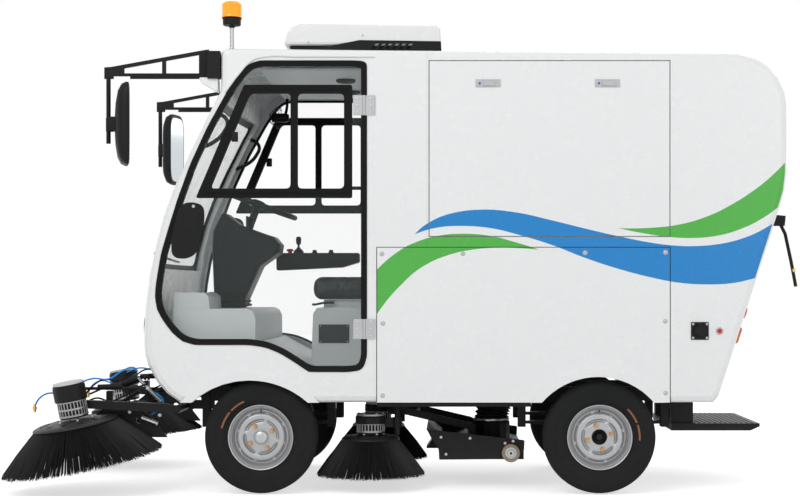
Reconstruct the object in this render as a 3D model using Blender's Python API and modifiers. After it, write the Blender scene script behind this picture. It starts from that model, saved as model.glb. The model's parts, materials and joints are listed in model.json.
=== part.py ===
"""Compact electric street sweeper with hinged doors, steered front wheels and lifting brushes.

Metres, +X forward, +Y left, +Z up, origin on the ground under the middle of the vehicle.
Outlines seen from the side are written in side view pixels. A pixel stands for one unit length,
which depends on how far the outline's own plane lies from the viewer.
"""

import math
from collections import namedtuple

import bmesh
import bpy
from mathutils import Matrix, Vector

# Side view grid: the pixel that the view looks at, where it lies, and the unit length of each plane.
VIEW_PIXEL_X = 450.0
VIEW_PIXEL_Y = 297.0
VIEW_X = -0.2325
VIEW_Z = 0.953
SIDE_GRID_LENGTH = 0.0048
MID_GRID_LENGTH = 0.00525

# Clearances shared by all pieces.
FIT_GAP = 0.0003
SHUT_GAP = 0.005
SPIN_GAP = 0.0008
OVERRUN = 0.05
SINK = 0.002
# Farther than any piece reaches from the origin, for cutters that run out of the body.
BEYOND = 3.0

# Body.
HALF_WIDTH = 0.70
EDGE_RADIUS = 0.03
WALL = 0.03
NOSE_BULGE = 0.085
BULGE_POWER = 2.5
SEAM_PIXEL = 427.0
PANEL_THICKNESS = 0.02
REBATE = 0.015
FLOOR_THICKNESS = 0.03
LOAD_FLOOR_Z = 0.62
ARCH_LIP_WIDTH = 0.038
ARCH_LIP_DEPTH = 0.012
ARCH_RELIEF = 0.004
FLOOR_FRONT_X = 1.15
FLOOR_HIGH_Z = 0.735
FLOOR_LOW_Z = 0.605
FLOOR_RAMP_FRONT_X = 0.70
FLOOR_RAMP_REAR_X = 0.45
UNDERSIDE_REAR_X = -1.46
FRONT_ARCH_X = 0.7285
FRONT_ARCH_Z = 0.133
FRONT_ARCH_RADIUS = 0.42
REAR_ARCH_X = -0.9425
REAR_ARCH_Z = 0.214
REAR_ARCH_RADIUS = 0.356

# Windscreen.
SCREEN_SET_BACK = 0.09
SCREEN_HALF_WIDTH = HALF_WIDTH - SCREEN_SET_BACK
SCREEN_REAR_X = 0.36
SCREEN_LOW_Z = 1.10
SCREEN_HIGH_Z = 1.925
SCREEN_THICKNESS = 0.006
SCREEN_SET_IN = 0.004

# Doors and their hinges.
DOOR_RING_WIDTH = 0.024
DOOR_THICKNESS = 0.028
PANE_THICKNESS = 0.006
HINGE_PIXEL_X = 364.2
HINGE_STAND_OFF = 0.0085
HINGE_BARREL_RADIUS = 0.006
HINGE_LEAF_THICKNESS = 0.004
HINGE_HEIGHT = 0.096
HINGE_LEAF_LENGTH = 0.052
HATCH_SET_BACK = 0.25
HATCH_HALF_WIDTH = HALF_WIDTH - HATCH_SET_BACK
CATCH_HEIGHT = 0.03
HANDLE_DEPTH = 0.014
HATCH_LOW_PIXEL_Y = 366.0
HATCH_HIGH_PIXEL_Y = 196.0

# Wheels and axles.
WHEELBASE_FRONT_X = 0.6805
WHEELBASE_REAR_X = -0.9545
AXLE_Z = 0.276
TYRE_RADIUS = 0.276
TYRE_WIDTH = 0.145
TYRE_SET_BACK = 0.0875
TYRE_CENTRE_Y = HALF_WIDTH - TYRE_SET_BACK
RIM_RADIUS = 0.158
RIM_WIDTH = 0.112
BEAD_WIDTH = 0.012
KINGPIN_OFFSET = 0.1125
KINGPIN_Y = TYRE_CENTRE_Y - KINGPIN_OFFSET
AXLE_BEAM_HALF_HEIGHT = 0.03
SPRING_LEAF_WIDTH = 0.045
FRONT_SPRING_HALF_LENGTH = 0.315
REAR_SPRING_HALF_LENGTH = 0.36
SPRING_EYE_Z = 0.318
SPRING_EYE_RADIUS = 0.014
SPRING_DEPTH = 0.03
SPINDLE_RADIUS = 0.015
DRUM_RADIUS = 0.09
DRUM_OFFSET = 0.0775
DRUM_WIDTH = 0.04
DRUM_NEAR_Y = TYRE_CENTRE_Y - DRUM_OFFSET
DRUM_FAR_Y = DRUM_NEAR_Y + DRUM_WIDTH
BOSS_RADIUS = 0.022
BOSS_HALF_HEIGHT = 0.035
FORK_THICKNESS = 0.016
FORK_OFFSET = 0.035
FORK_WEB_Y = KINGPIN_Y - FORK_OFFSET
DIFF_RADIUS = 0.10
TUBE_RADIUS = 0.032

# Chassis frame.
RAIL_SET_BACK = 0.40
RAIL_Y = HALF_WIDTH - RAIL_SET_BACK
RAIL_WIDTH = 0.05
RAIL_HEIGHT = 0.07
RAIL_TOP_Z = 0.50
RAIL_FRONT_X = 1.02
RAIL_REAR_X = -1.46
CROSS_WIDTH = 0.06
CROSS_HEIGHT = 0.05
CAB_MOUNT_X = 0.20
HANGER_THICKNESS = 0.007
BRACKET_THICKNESS = 0.01

# Brushes.
FRONT_BRUSH_RADIUS = 0.395
FRONT_BRUSH_SET_BACK = 0.10
FRONT_BRUSH_Y = HALF_WIDTH - FRONT_BRUSH_SET_BACK
FRONT_BRUSH_DEPTH = 0.19
FRONT_BRUSH_Z = 0.151
FRONT_BRUSH_X = 1.553
MID_BRUSH_RADIUS = 0.275
MID_BRUSH_X = 0.162
MID_BRUSH_OFFSET = 0.12
MID_BRUSH_Y = RAIL_Y + MID_BRUSH_OFFSET
MID_BRUSH_Z = 0.07
MID_BRUSH_DEPTH = 0.18
DISC_THICKNESS = 0.016
SHAFT_RADIUS = 0.016

BRUSH_PIVOT_X = 1.10
BRUSH_PIVOT_Z = 0.405
BRUSH_PIVOT_OFFSET = 0.12
BRUSH_PIVOT_Y = RAIL_Y + BRUSH_PIVOT_OFFSET
BRUSH_PIVOT_RADIUS = 0.02
ARM_HALF_WIDTH = 0.022
ARM_HALF_HEIGHT = 0.02
MOTOR_RADIUS = 0.068
MOTOR_CAP_RADIUS = 0.076
MOTOR_LENGTH = 0.085
MOTOR_CAP_LENGTH = 0.09
MID_MOTOR_LENGTH = 0.10
POST_RADIUS = 0.014
POST_X = 0.03

# Suction nozzle and its link.
LINK_FRONT_X = 0.059
LINK_FRONT_Z = 0.385
LINK_REAR_X = -0.345
LINK_REAR_Z = 0.290
LINK_OFFSET = 0.10
LINK_Y = RAIL_Y - LINK_OFFSET
LINK_WIDTH = 0.012
LINK_HALF_HEIGHT = 0.018
LINK_PIN_RADIUS = 0.012
NOZZLE_SET_BACK = 0.28
NOZZLE_HALF_WIDTH = HALF_WIDTH - NOZZLE_SET_BACK
NOZZLE_TONGUE_HALF_WIDTH = 0.10
NOZZLE_TONGUE_REACH = 0.08
NOZZLE_SLOPE_SHARE = 0.3
AXLE_PIN_RADIUS = 0.006
PIN_END_LENGTH = 0.006
NOZZLE_FRONT_X = -0.19
NOZZLE_REAR_X = -0.60
NOZZLE_LOW_Z = 0.145
NOZZLE_HIGH_Z = 0.235
NOZZLE_WALL = 0.012
NOZZLE_WHEEL_RADIUS = 0.045
NOZZLE_WHEEL_WIDTH = 0.03
NOZZLE_WHEEL_X = -0.535
HOSE_RADIUS = 0.085
HOSE_WALL = 0.008
HOSE_LOW_X = -0.45
HOSE_HIGH_X = -0.53
COLLAR_Z = 0.30

# Cab fittings.
FIT_OUT_SET_BACK = 0.10
FIT_OUT_Y = HALF_WIDTH - FIT_OUT_SET_BACK
DASH_GRID_LENGTH = 0.004865
DASH_UPPER_Y = 0.20
CONSOLE_HALF_WIDTH = 0.11
STEERING_RADIUS = 0.205
STEERING_RIM_RADIUS = 0.014
STEERING_X = 0.7765
STEERING_Z = 1.4386
STEERING_HUB_RADIUS = 0.035
STEERING_SHAFT_RADIUS = 0.02
STEERING_SHAFT_LENGTH = 0.18
PANEL_FRONT_X = 0.709
PANEL_LOW_Z = 1.10
PANEL_HIGH_Z = 1.197
SEAT_BOX_FRONT_X = 0.476
SEAT_BOX_REAR_X = -0.06
SEAT_BOX_HIGH_Z = 0.898
SEAT_HALF_WIDTH = 0.235
PANEL_OFFSET = 0.065
PANEL_WIDTH = 0.12
PANEL_NEAR_Y = -SEAT_HALF_WIDTH - PANEL_OFFSET
PANEL_FAR_Y = PANEL_NEAR_Y - PANEL_WIDTH
SEAT_LOW_Z = 0.94
SEAT_HIGH_Z = 1.052
SEAT_FRONT_X = 0.47
SEAT_BACK_THICKNESS = 0.11
SEAT_BACK_HIGH_Z = 1.56
SEAT_ROUND = 0.03

# Outside fittings.
LAMP_SET_BACK = 0.28
LAMP_Y = HALF_WIDTH - LAMP_SET_BACK
LAMP_Z = 0.80
LAMP_RADIUS = 0.07
LAMP_DEPTH = 0.06
LAMP_DOME = 0.014
BEACON_X = 0.8252
BEACON_SET_BACK = 0.08
BEACON_Y = HALF_WIDTH - BEACON_SET_BACK
BEACON_POLE_RADIUS = 0.01
BEACON_BASE_RADIUS = 0.0435
BEACON_LENS_RADIUS = 0.0485
BEACON_POLE_LENGTH = 0.11954
BEACON_BASE_HEIGHT = 0.038
BEACON_LENS_HEIGHT = 0.079
ROOF_GRID_LENGTH = 0.004995
ROOF_UNIT_SET_BACK = 0.32
ROOF_UNIT_HALF_WIDTH = HALF_WIDTH - ROOF_UNIT_SET_BACK
ROOF_UNIT_SPLIT_PIXEL_Y = 44.5
ROOF_UNIT_ROUND = 0.02
MIRROR_SET_BACK = 0.035
MIRROR_Y = HALF_WIDTH - MIRROR_SET_BACK
MIRROR_ARM_THICKNESS = 0.012
MIRROR_WIDTH = 0.20
MIRROR_HEIGHT = 0.40
MIRROR_DEPTH = 0.06
MIRROR_ROUND = 0.022
MIRROR_ROD_RADIUS = 0.011
STEP_FRONT_X = -1.345
STEP_REAR_X = -1.789
STEP_OVERHANG = 0.05
STEP_HALF_WIDTH = RAIL_Y + STEP_OVERHANG
STEP_LOW_Z = 0.282
STEP_THICKNESS = 0.036
LANCE_SET_BACK = 0.20
LANCE_Y = HALF_WIDTH - LANCE_SET_BACK
LANCE_GRID_LENGTH = 0.00493
LANCE_RADIUS = 0.0085
BATTERY_FRONT_X = -0.15
BATTERY_REAR_X = -0.60
BATTERY_SET_BACK = 0.28
BATTERY_HALF_WIDTH = HALF_WIDTH - BATTERY_SET_BACK
BATTERY_HEIGHT = 0.33

# Angles, counts and turning steps carry no length.
FRONT_TILT_DEG = 9.7
FRONT_SIDE_TILT_DEG = 4.0
MIRROR_YAW_DEG = 14.0
STEERING_TILT_DEG = 20.0
TYRE_STEPS = 28
RIM_STEPS = 14
ROUND_STEPS = 14
SMALL_STEPS = 8
HOUSING_STEPS = 12
BRUSH_STEPS = 22
RING_STEPS = 24
SMOOTH_ANGLE_DEG = 35.0
HOSE_RING_COUNT = 6

Finish = namedtuple("Finish", "color roughness metallic alpha")

FINISHES = {
    "white_paint": Finish((0.86, 0.87, 0.88), 0.3, 0.0, 1.0),
    "grey_panel": Finish((0.62, 0.64, 0.65), 0.5, 0.0, 1.0),
    "black_plastic": Finish((0.02, 0.02, 0.022), 0.5, 0.0, 1.0),
    "black_paint": Finish((0.015, 0.015, 0.016), 0.45, 0.2, 1.0),
    "black_rubber": Finish((0.018, 0.018, 0.018), 0.8, 0.0, 1.0),
    "seat_vinyl": Finish((0.02, 0.02, 0.021), 0.6, 0.0, 1.0),
    "rim_silver": Finish((0.62, 0.63, 0.64), 0.35, 0.8, 1.0),
    "cast_steel": Finish((0.12, 0.12, 0.12), 0.6, 0.7, 1.0),
    "motor_alloy": Finish((0.6, 0.6, 0.6), 0.4, 0.8, 1.0),
    "bristle": Finish((0.03, 0.03, 0.032), 0.7, 0.0, 1.0),
    "clear_glass": Finish((0.7, 0.78, 0.78), 0.05, 0.0, 0.3),
    "lamp_lens": Finish((0.85, 0.86, 0.88), 0.1, 0.0, 1.0),
    "amber_lens": Finish((0.95, 0.4, 0.05), 0.2, 0.0, 1.0),
}

SIDES = (("left", 1.0), ("right", -1.0))


def make_collection(name):
    """Return a new collection linked to the scene."""
    group = bpy.data.collections.new(name)
    bpy.context.scene.collection.children.link(group)
    return group


def clear_scene():
    """Remove the objects that a new file starts with."""
    for item in list(bpy.data.objects):
        bpy.data.objects.remove(item, do_unlink=True)


clear_scene()
PARTS = make_collection("street_sweeper")
CUTTERS = make_collection("street_sweeper_cutters")


def finish_material(name):
    """Return the material of a finish, made once."""
    known = bpy.data.materials.get(name)
    if known:
        return known
    finish = FINISHES[name]
    material = bpy.data.materials.new(name)
    material.use_nodes = True
    shader = material.node_tree.nodes["Principled BSDF"]
    shader.inputs["Base Color"].default_value = (*finish.color, 1.0)
    shader.inputs["Roughness"].default_value = finish.roughness
    shader.inputs["Metallic"].default_value = finish.metallic
    shader.inputs["Alpha"].default_value = finish.alpha
    return material


def object_from(name, mesh):
    """Link a mesh as a hidden guide object."""
    item = bpy.data.objects.new(name, mesh)
    CUTTERS.objects.link(item)
    item.hide_render = True
    item.display_type = "WIRE"
    return item


def place_mesh(name, shape, matrix):
    """Make a guide object from a bmesh in world coordinates."""
    bmesh.ops.transform(shape, matrix=matrix, verts=shape.verts)
    mesh = bpy.data.meshes.new(name)
    shape.to_mesh(mesh)
    shape.free()
    return object_from(name, mesh)


def box(name, low, high):
    """Box between two corners."""
    low = Vector(low)
    high = Vector(high)
    size = high - low
    shape = bmesh.new()
    bmesh.ops.create_cube(shape, size=1.0)
    matrix = Matrix.Translation((low + high) / 2) @ Matrix.Diagonal((*size, 1.0))
    return place_mesh(name, shape, matrix)


def soft_box(name, low, high, radius, segments=2):
    """Box with rounded edges."""
    item = box(name, low, high)
    bevel = item.modifiers.new("Round", "BEVEL")
    bevel.width = radius
    bevel.segments = segments
    bevel.limit_method = "ANGLE"
    return item


def turn_to(direction):
    """Rotation that takes +Z to a direction."""
    return Vector(direction).to_track_quat("Z", "Y").to_matrix().to_4x4()


def rod(name, start, end, radius, steps=ROUND_STEPS, end_radius=None):
    """Closed cylinder or cone between two points."""
    start = Vector(start)
    end = Vector(end)
    shape = bmesh.new()
    bmesh.ops.create_cone(
        shape,
        cap_ends=True,
        cap_tris=False,
        segments=steps,
        radius1=radius,
        radius2=radius if end_radius is None else end_radius,
        depth=(end - start).length,
    )
    matrix = Matrix.Translation((start + end) / 2) @ turn_to(end - start)
    return place_mesh(name, shape, matrix)


def outline_prism(name, outline, near_y, far_y):
    """Flat outline in the side view, a list of (x, z), filled from one Y to another."""
    curve = bpy.data.curves.new(name, "CURVE")
    curve.dimensions = "2D"
    curve.fill_mode = "BOTH"
    curve.extrude = abs(far_y - near_y) / 2
    spline = curve.splines.new("POLY")
    spline.points.add(len(outline) - 1)
    for point, (x, z) in zip(spline.points, outline):
        point.co = (x, z, 0.0, 1.0)
    spline.use_cyclic_u = True
    item = bpy.data.objects.new(name, curve)
    CUTTERS.objects.link(item)
    item.matrix_world = Matrix.Translation((0.0, (near_y + far_y) / 2, 0.0)) @ Matrix.Rotation(
        math.radians(90), 4, "X"
    )
    return solid_from_curve(item)


def solid_from_curve(item):
    """Replace a curve object by its welded mesh."""
    bpy.context.view_layer.update()
    graph = bpy.context.evaluated_depsgraph_get()
    mesh = bpy.data.meshes.new_from_object(item.evaluated_get(graph))
    shape = bmesh.new()
    shape.from_mesh(mesh)
    bmesh.ops.remove_doubles(shape, verts=shape.verts, dist=0.00001)
    bmesh.ops.recalc_face_normals(shape, faces=shape.faces)
    shape.transform(item.matrix_world)
    shape.to_mesh(mesh)
    shape.free()
    name = item.name
    curve = item.data
    bpy.data.objects.remove(item, do_unlink=True)
    bpy.data.curves.remove(curve)
    return object_from(name, mesh)


def tube(name, points, radius, resolution=2):
    """Round tube along a list of points."""
    curve = bpy.data.curves.new(name, "CURVE")
    curve.dimensions = "3D"
    curve.bevel_depth = radius
    curve.bevel_resolution = resolution
    curve.use_fill_caps = True
    spline = curve.splines.new("POLY")
    spline.points.add(len(points) - 1)
    for point, place in zip(spline.points, points):
        point.co = (*place, 1.0)
    item = bpy.data.objects.new(name, curve)
    CUTTERS.objects.link(item)
    return solid_from_curve(item)


def turned(name, profile, centre, direction, steps=ROUND_STEPS):
    """Turned solid from (radius, height) points, down the outer side, about a line."""
    mesh = bpy.data.meshes.new(name)
    places = [(radius, 0.0, height) for radius, height in profile]
    edges = [(i, i + 1) for i in range(len(places) - 1)]
    if profile[0][0] and profile[-1][0]:
        edges.append((len(places) - 1, 0))
    mesh.from_pydata(places, edges, [])
    item = object_from(name, mesh)
    screw = item.modifiers.new("Turn", "SCREW")
    screw.angle = 2 * math.pi
    screw.steps = steps
    screw.render_steps = steps
    screw.use_merge_vertices = True
    screw.merge_threshold = 0.00001
    return outward(apply_modifiers(item, Matrix.Translation(Vector(centre)) @ turn_to(direction)))


def outward(item):
    """Point a closed mesh's faces outward."""
    shape = bmesh.new()
    shape.from_mesh(item.data)
    bmesh.ops.remove_doubles(shape, verts=shape.verts, dist=0.00001)
    bmesh.ops.recalc_face_normals(shape, faces=shape.faces)
    shape.to_mesh(item.data)
    shape.free()
    return item


def apply_modifiers(item, matrix=None):
    """Bake an object's modifiers into its mesh, in world coordinates."""
    bpy.context.view_layer.update()
    graph = bpy.context.evaluated_depsgraph_get()
    mesh = bpy.data.meshes.new_from_object(item.evaluated_get(graph))
    old = item.data
    item.modifiers.clear()
    item.data = mesh
    bpy.data.meshes.remove(old)
    if matrix is not None:
        mesh.transform(matrix)
    return item


def boolean(item, other, operation):
    """Join, cut or keep what two solids share."""
    modifier = item.modifiers.new(operation.title(), "BOOLEAN")
    modifier.operation = operation
    modifier.solver = "EXACT"
    modifier.object = other
    return item


def cut(item, *cutters):
    """Cut solids out of an object."""
    for cutter in cutters:
        boolean(item, cutter, "DIFFERENCE")
    return item


def join(item, *others):
    """Unite solids with an object."""
    for other in others:
        boolean(item, other, "UNION")
    return item


def keep(item, other):
    """Keep only what lies in another solid."""
    return boolean(item, other, "INTERSECT")


def show(item, name, finish, pivot=(0.0, 0.0, 0.0)):
    """Name a finished piece, give it its material and set its origin on its joint axis."""
    apply_modifiers(item)
    for group in list(item.users_collection):
        group.objects.unlink(item)
    PARTS.objects.link(item)
    item.name = name
    item.data.name = name
    item.hide_render = False
    item.display_type = "TEXTURED"
    item.data.materials.clear()
    item.data.materials.append(finish_material(finish))
    item.data.transform(Matrix.Translation(-Vector(pivot)))
    item.location = pivot
    item.data.shade_smooth()
    item.data.set_sharp_from_angle(angle=math.radians(SMOOTH_ANGLE_DEG))
    return item


def mirrored(item, name):
    """Guide copy of a finished left piece on the right side."""
    twin = item.copy()
    twin.data = item.data.copy()
    twin.name = name
    twin.data.name = name
    twin.data.transform(Matrix.Diagonal((1.0, -1.0, 1.0, 1.0)))
    twin.data.flip_normals()
    twin.location = (item.location.x, -item.location.y, item.location.z)
    PARTS.objects.link(twin)
    return twin


def view_point(pixel_x, pixel_y, unit=SIDE_GRID_LENGTH):
    """Side view pixel to (x, z)."""
    x = VIEW_X + (VIEW_PIXEL_X - pixel_x) * unit
    z = VIEW_Z + (VIEW_PIXEL_Y - pixel_y) * unit
    return (x, z)


def view_points(pixels, unit=SIDE_GRID_LENGTH):
    """Side view pixels to a list of (x, z)."""
    return [view_point(pixel_x, pixel_y, unit) for pixel_x, pixel_y in pixels]


def inset(outline, distance):
    """Closed outline moved inward by a distance, or outward by a negative one."""
    count = len(outline)
    area = 0.0
    for i in range(count):
        ax, az = outline[i]
        bx, bz = outline[(i + 1) % count]
        area += ax * bz - bx * az
    turn = 1.0 if area > 0 else -1.0
    moved = []
    for i in range(count):
        here = Vector(outline[i])
        before = (here - Vector(outline[i - 1])).normalized()
        after = (Vector(outline[(i + 1) % count]) - here).normalized()
        normal = Vector((-before.y - after.y, before.x + after.x)) * turn
        normal.normalize()
        lean = max(0.5, normal.dot(Vector((-after.y, after.x)) * turn))
        moved.append(tuple(here + normal * (distance / lean)))
    return moved


def arc(centre_x, centre_z, radius, start_deg, end_deg, count):
    """Points along an arc in the side view."""
    points = []
    for i in range(count + 1):
        angle = math.radians(start_deg + (end_deg - start_deg) * i / count)
        points.append((centre_x + radius * math.cos(angle), centre_z + radius * math.sin(angle)))
    return points


OutlinePoint = namedtuple("OutlinePoint", "pixel_x pixel_y bulge_share")

# Side outline of the whole body, clockwise in the side view from the roof's front corner.
BODY_OUTLINE = (
    OutlinePoint(376.8, 49.6, 0.0),
    OutlinePoint(739.0, 52.3, 0.0),
    OutlinePoint(755.0, 57.0, 0.0),
    OutlinePoint(768.0, 65.0, 0.0),
    OutlinePoint(779.0, 78.0, 0.0),
    OutlinePoint(785.5, 92.0, 0.0),
    OutlinePoint(787.5, 106.0, 0.0),
    OutlinePoint(787.5, 172.0, 0.0),
    OutlinePoint(785.5, 190.0, 0.0),
    OutlinePoint(780.5, 207.0, 0.0),
    OutlinePoint(720.0, 395.0, 0.0),
    OutlinePoint(714.0, 402.5, 0.0),
    OutlinePoint(180.0, 402.5, 0.6),
    OutlinePoint(168.0, 394.0, 0.75),
    OutlinePoint(158.5, 383.0, 0.9),
    OutlinePoint(150.0, 366.0, 1.0),
    OutlinePoint(146.5, 354.0, 1.0),
    OutlinePoint(146.0, 332.0, 1.0),
    OutlinePoint(148.0, 305.0, 1.0),
    OutlinePoint(152.0, 274.0, 1.0),
    OutlinePoint(158.0, 244.0, 1.0),
    OutlinePoint(166.0, 214.0, 1.0),
    OutlinePoint(176.0, 186.0, 0.95),
    OutlinePoint(192.0, 150.0, 0.8),
    OutlinePoint(210.0, 112.0, 0.6),
    OutlinePoint(220.0, 92.0, 0.4),
    OutlinePoint(221.0, 84.0, 0.4),
    OutlinePoint(221.0, 55.0, 0.35),
    OutlinePoint(222.5, 50.0, 0.35),
    OutlinePoint(227.0, 47.8, 0.3),
)

# Cab door outline at the outer edge of its rubber frame.
CAB_DOOR_PIXELS = (
    (259.0, 61.5), (355.0, 61.5), (363.0, 65.0), (366.0, 73.0), (366.0, 357.0), (361.0, 366.0),
    (350.0, 371.0), (309.0, 371.0), (296.0, 362.0), (281.0, 352.7), (266.0, 346.5), (250.0, 344.0),
    (195.0, 344.0), (183.0, 340.5), (173.0, 332.0), (164.0, 320.0), (158.0, 309.0), (156.0, 296.0),
    (157.0, 284.0), (162.0, 254.0), (169.0, 230.0), (178.0, 201.0), (191.0, 165.0), (208.0, 128.0),
    (228.0, 92.0), (238.0, 77.0), (247.0, 67.0),
)
WINDOW_FRAME_PIXELS = ((244.0, 84.8), (352.0, 84.8), (352.0, 197.9), (195.8, 197.9))
WINDOW_FRONT_PIXELS = ((250.0, 93.2), (290.5, 93.2), (290.5, 188.5), (210.0, 188.5))
WINDOW_REAR_PIXELS = ((297.5, 93.2), (344.0, 93.2), (344.0, 188.5), (297.5, 188.5))
SERVICE_DOOR_PIXELS = ((429.6, 61.2), (669.4, 61.2), (669.4, 236.0), (429.6, 236.0))
SIDE_PANEL_PIXELS = ((376.8, 247.3), (670.0, 247.3), (670.0, 402.5), (376.8, 402.5))
HINGE_PIXELS_Y = (105.5, 329.0)
# Pixels of the smaller outlines, and shares of the turned sections.
CATCH_PIXELS_Y = (100.0, 188.0)
HANDLE_PIXELS = (
    (181.0, 205.0), (186.0, 202.5), (203.0, 205.5), (206.0, 210.0), (202.5, 238.0), (196.0, 254.0),
    (189.0, 258.5), (173.0, 257.0), (171.0, 253.0), (173.0, 238.0),
)
DASH_LOWER_PIXELS = (
    (173.0, 308.6), (247.0, 308.6), (252.5, 311.5), (255.5, 318.0), (255.5, 345.0), (173.0, 345.0),
)
DASH_UPPER_PIXELS = ((173.5, 292.5), (204.0, 292.5), (208.5, 296.5), (209.5, 309.0), (173.5, 309.0))
CONSOLE_PIXELS = (
    (225.4, 211.6), (215.5, 231.5), (214.6, 246.4), (216.3, 289.6), (218.0, 307.0), (247.0, 307.0),
    (247.8, 299.5), (262.7, 266.3), (281.0, 253.0), (282.3, 244.8), (276.0, 237.3), (267.7, 234.8),
    (241.2, 224.9),
)
ROOF_COVER_PIXELS = (
    (283.0, 44.5), (287.5, 31.0), (292.0, 26.0), (299.0, 23.0), (437.0, 24.5), (440.0, 28.0), (441.0, 44.5),
)
ROOF_BASE_PIXELS_X = (289.8, 441.0)
MIRROR_ARM_PIXELS = (
    (103.0, 66.5), (110.0, 66.0), (201.0, 49.5), (208.0, 48.5), (208.0, 78.0), (103.0, 78.0),
)
MIRROR_SLOT_PIXELS = (
    ((123.0, 67.5), (161.0, 60.5), (161.0, 72.5), (123.0, 72.5)),
    ((165.0, 60.0), (198.0, 54.0), (198.0, 72.5), (165.0, 72.5)),
)
MIRROR_BLOCK_PIXELS = ((207.0, 50.5), (218.0, 50.5), (218.0, 78.0), (207.0, 78.0))
MIRROR_ROD_PIXELS = ((107.0, 77.0), (107.0, 143.0))
MIRROR_CLAMP_PIXELS = ((105.0, 117.4), (121.0, 131.0))
MIRROR_HEAD_PIXEL = (121.0, 123.3)
LANCE_BRACKET_PIXELS = ((776.5, 214.5), (785.0, 216.0), (784.0, 226.0), (773.0, 226.0))
LANCE_PIXELS = ((779.5, 219.0), (785.0, 234.0), (791.0, 262.0), (793.5, 275.0), (795.58, 286.5))
# Tyre section, in shares of the tyre's radius and half width, down the outer side.
TYRE_SHARES = (
    (0.60, 0.82), (0.76, 1.0), (0.90, 0.94), (0.97, 0.78), (1.0, 0.5),
    (1.0, -0.5), (0.97, -0.78), (0.90, -0.94), (0.76, -1.0), (0.60, -0.82),
)
TYRE_INNER_SHARES = ((0.78, -0.82), (0.90, 0.0), (0.78, 0.82))
RIM_SEAT_SHARE = 0.95
BEAD_HALF_SHARE = 0.84
# Rim section from the hub cap outward and back to the blind bore, in shares of the rim.
RIM_OUTER_SHARES = (
    (0.0, 0.98), (0.14, 0.93), (0.22, 0.7), (0.47, 0.72), (0.74, 0.46), (0.9, 0.5),
    (0.95, 1.0), (1.0, 1.0), (1.0, 0.9), (0.95, 0.85), (0.95, -0.85), (1.0, -0.9), (1.0, -1.0),
    (0.93, -1.0), (0.9, 0.3), (0.74, 0.3), (0.47, 0.56), (0.3, 0.5), (0.3, -0.3),
)
CROSS_PLACES_X = (0.98, 0.40, -0.10, -0.62, -1.41)
BODY_MOUNTS_X = (-0.30, -1.36)
# Brush section below its shaft, in shares of its radius and depth, down the outer side.
BRUSH_SHARES = ((0.47, 1.0), (0.52, 0.97), (1.0, 0.07), (0.985, 0.0), (0.78, 0.0), (0.36, 0.9), (0.0, 0.9))

# Shares of the half width at which the body's cross sections stand, between its rounded edges.
SECTION_SHARES = (0.92, 0.8, 0.6, 0.4, 0.2, 0.0)
EDGE_TURNS_DEG = (90.0, 45.0, 0.0)


def bulge(across, half_width):
    """Share of the nose bulge that is left at a distance from the middle."""
    return 1.0 - min(1.0, abs(across) / half_width) ** BULGE_POWER


def edge_radius(inward):
    """Rounding of the body's long side edges, smaller on its inner faces."""
    return max(EDGE_RADIUS - inward, EDGE_RADIUS / 3)


def wide_apart(points, inward):
    """Outline points that stay apart when the outline moves inward."""
    kept = []
    for point in points:
        reach_x = abs(point.pixel_x - kept[-1].pixel_x) if kept else math.inf
        reach_y = abs(point.pixel_y - kept[-1].pixel_y) if kept else math.inf
        if math.hypot(reach_x, reach_y) * SIDE_GRID_LENGTH > inward:
            kept.append(point)
    return kept


def body_section(across, inward):
    """Side outline of the body at a distance from its middle, moved inward by a wall."""
    half_width = HALF_WIDTH - inward
    radius = edge_radius(inward)
    past_edge = max(0.0, abs(across) - (half_width - radius))
    drop = radius - math.sqrt(max(0.0, radius**2 - past_edge**2))
    outline = []
    for point in wide_apart(BODY_OUTLINE, inward):
        x, z = view_point(point.pixel_x, point.pixel_y)
        x += NOSE_BULGE * point.bulge_share * bulge(across, half_width)
        outline.append((x, z))
    return inset(outline, inward + drop)


def body_loft(name, inward):
    """Closed loft through the body's sections from one side to the other."""
    half_width = HALF_WIDTH - inward
    radius = edge_radius(inward)
    places = []
    for turn in EDGE_TURNS_DEG:
        places.append(half_width - radius + radius * math.sin(math.radians(turn)))
    for share in SECTION_SHARES:
        places.append((half_width - radius) * share)
    stations = places + [-place for place in reversed(places[:-1])]
    shape = bmesh.new()
    rings = []
    for across in stations:
        section = body_section(across, inward)
        rings.append([shape.verts.new((x, across, z)) for x, z in section])
    for near, far in zip(rings, rings[1:]):
        for i in range(len(near)):
            shape.faces.new((near[i - 1], near[i], far[i], far[i - 1]))
    shape.faces.new(rings[0])
    shape.faces.new(rings[-1])
    bmesh.ops.recalc_face_normals(shape, faces=shape.faces)
    return place_mesh(name, shape, Matrix.Identity(4))


def reach(low_x, high_x, low_z, high_z, half_width):
    """Box cutter from side to side."""
    return box("Reach", (low_x, -half_width, low_z), (high_x, half_width, high_z))


def both_sides(name, outline, near_y, far_y):
    """The same prism on the left and on the right."""
    left = outline_prism(name, outline, near_y, far_y)
    right = outline_prism(name, outline, -near_y, -far_y)
    return (left, right)


def seam_x():
    """Where the cab and the load body meet."""
    return view_point(SEAM_PIXEL, VIEW_PIXEL_Y)[0]


def body_bottom_z():
    """Lower edge of the body's sides."""
    return view_point(VIEW_PIXEL_X, SIDE_PANEL_PIXELS[2][1])[1]


def arch_span(centre_z, radius):
    """Half angle, in degrees, at which an arch leaves the body's lower edge."""
    return math.degrees(math.asin((body_bottom_z() - centre_z) / radius))


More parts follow.
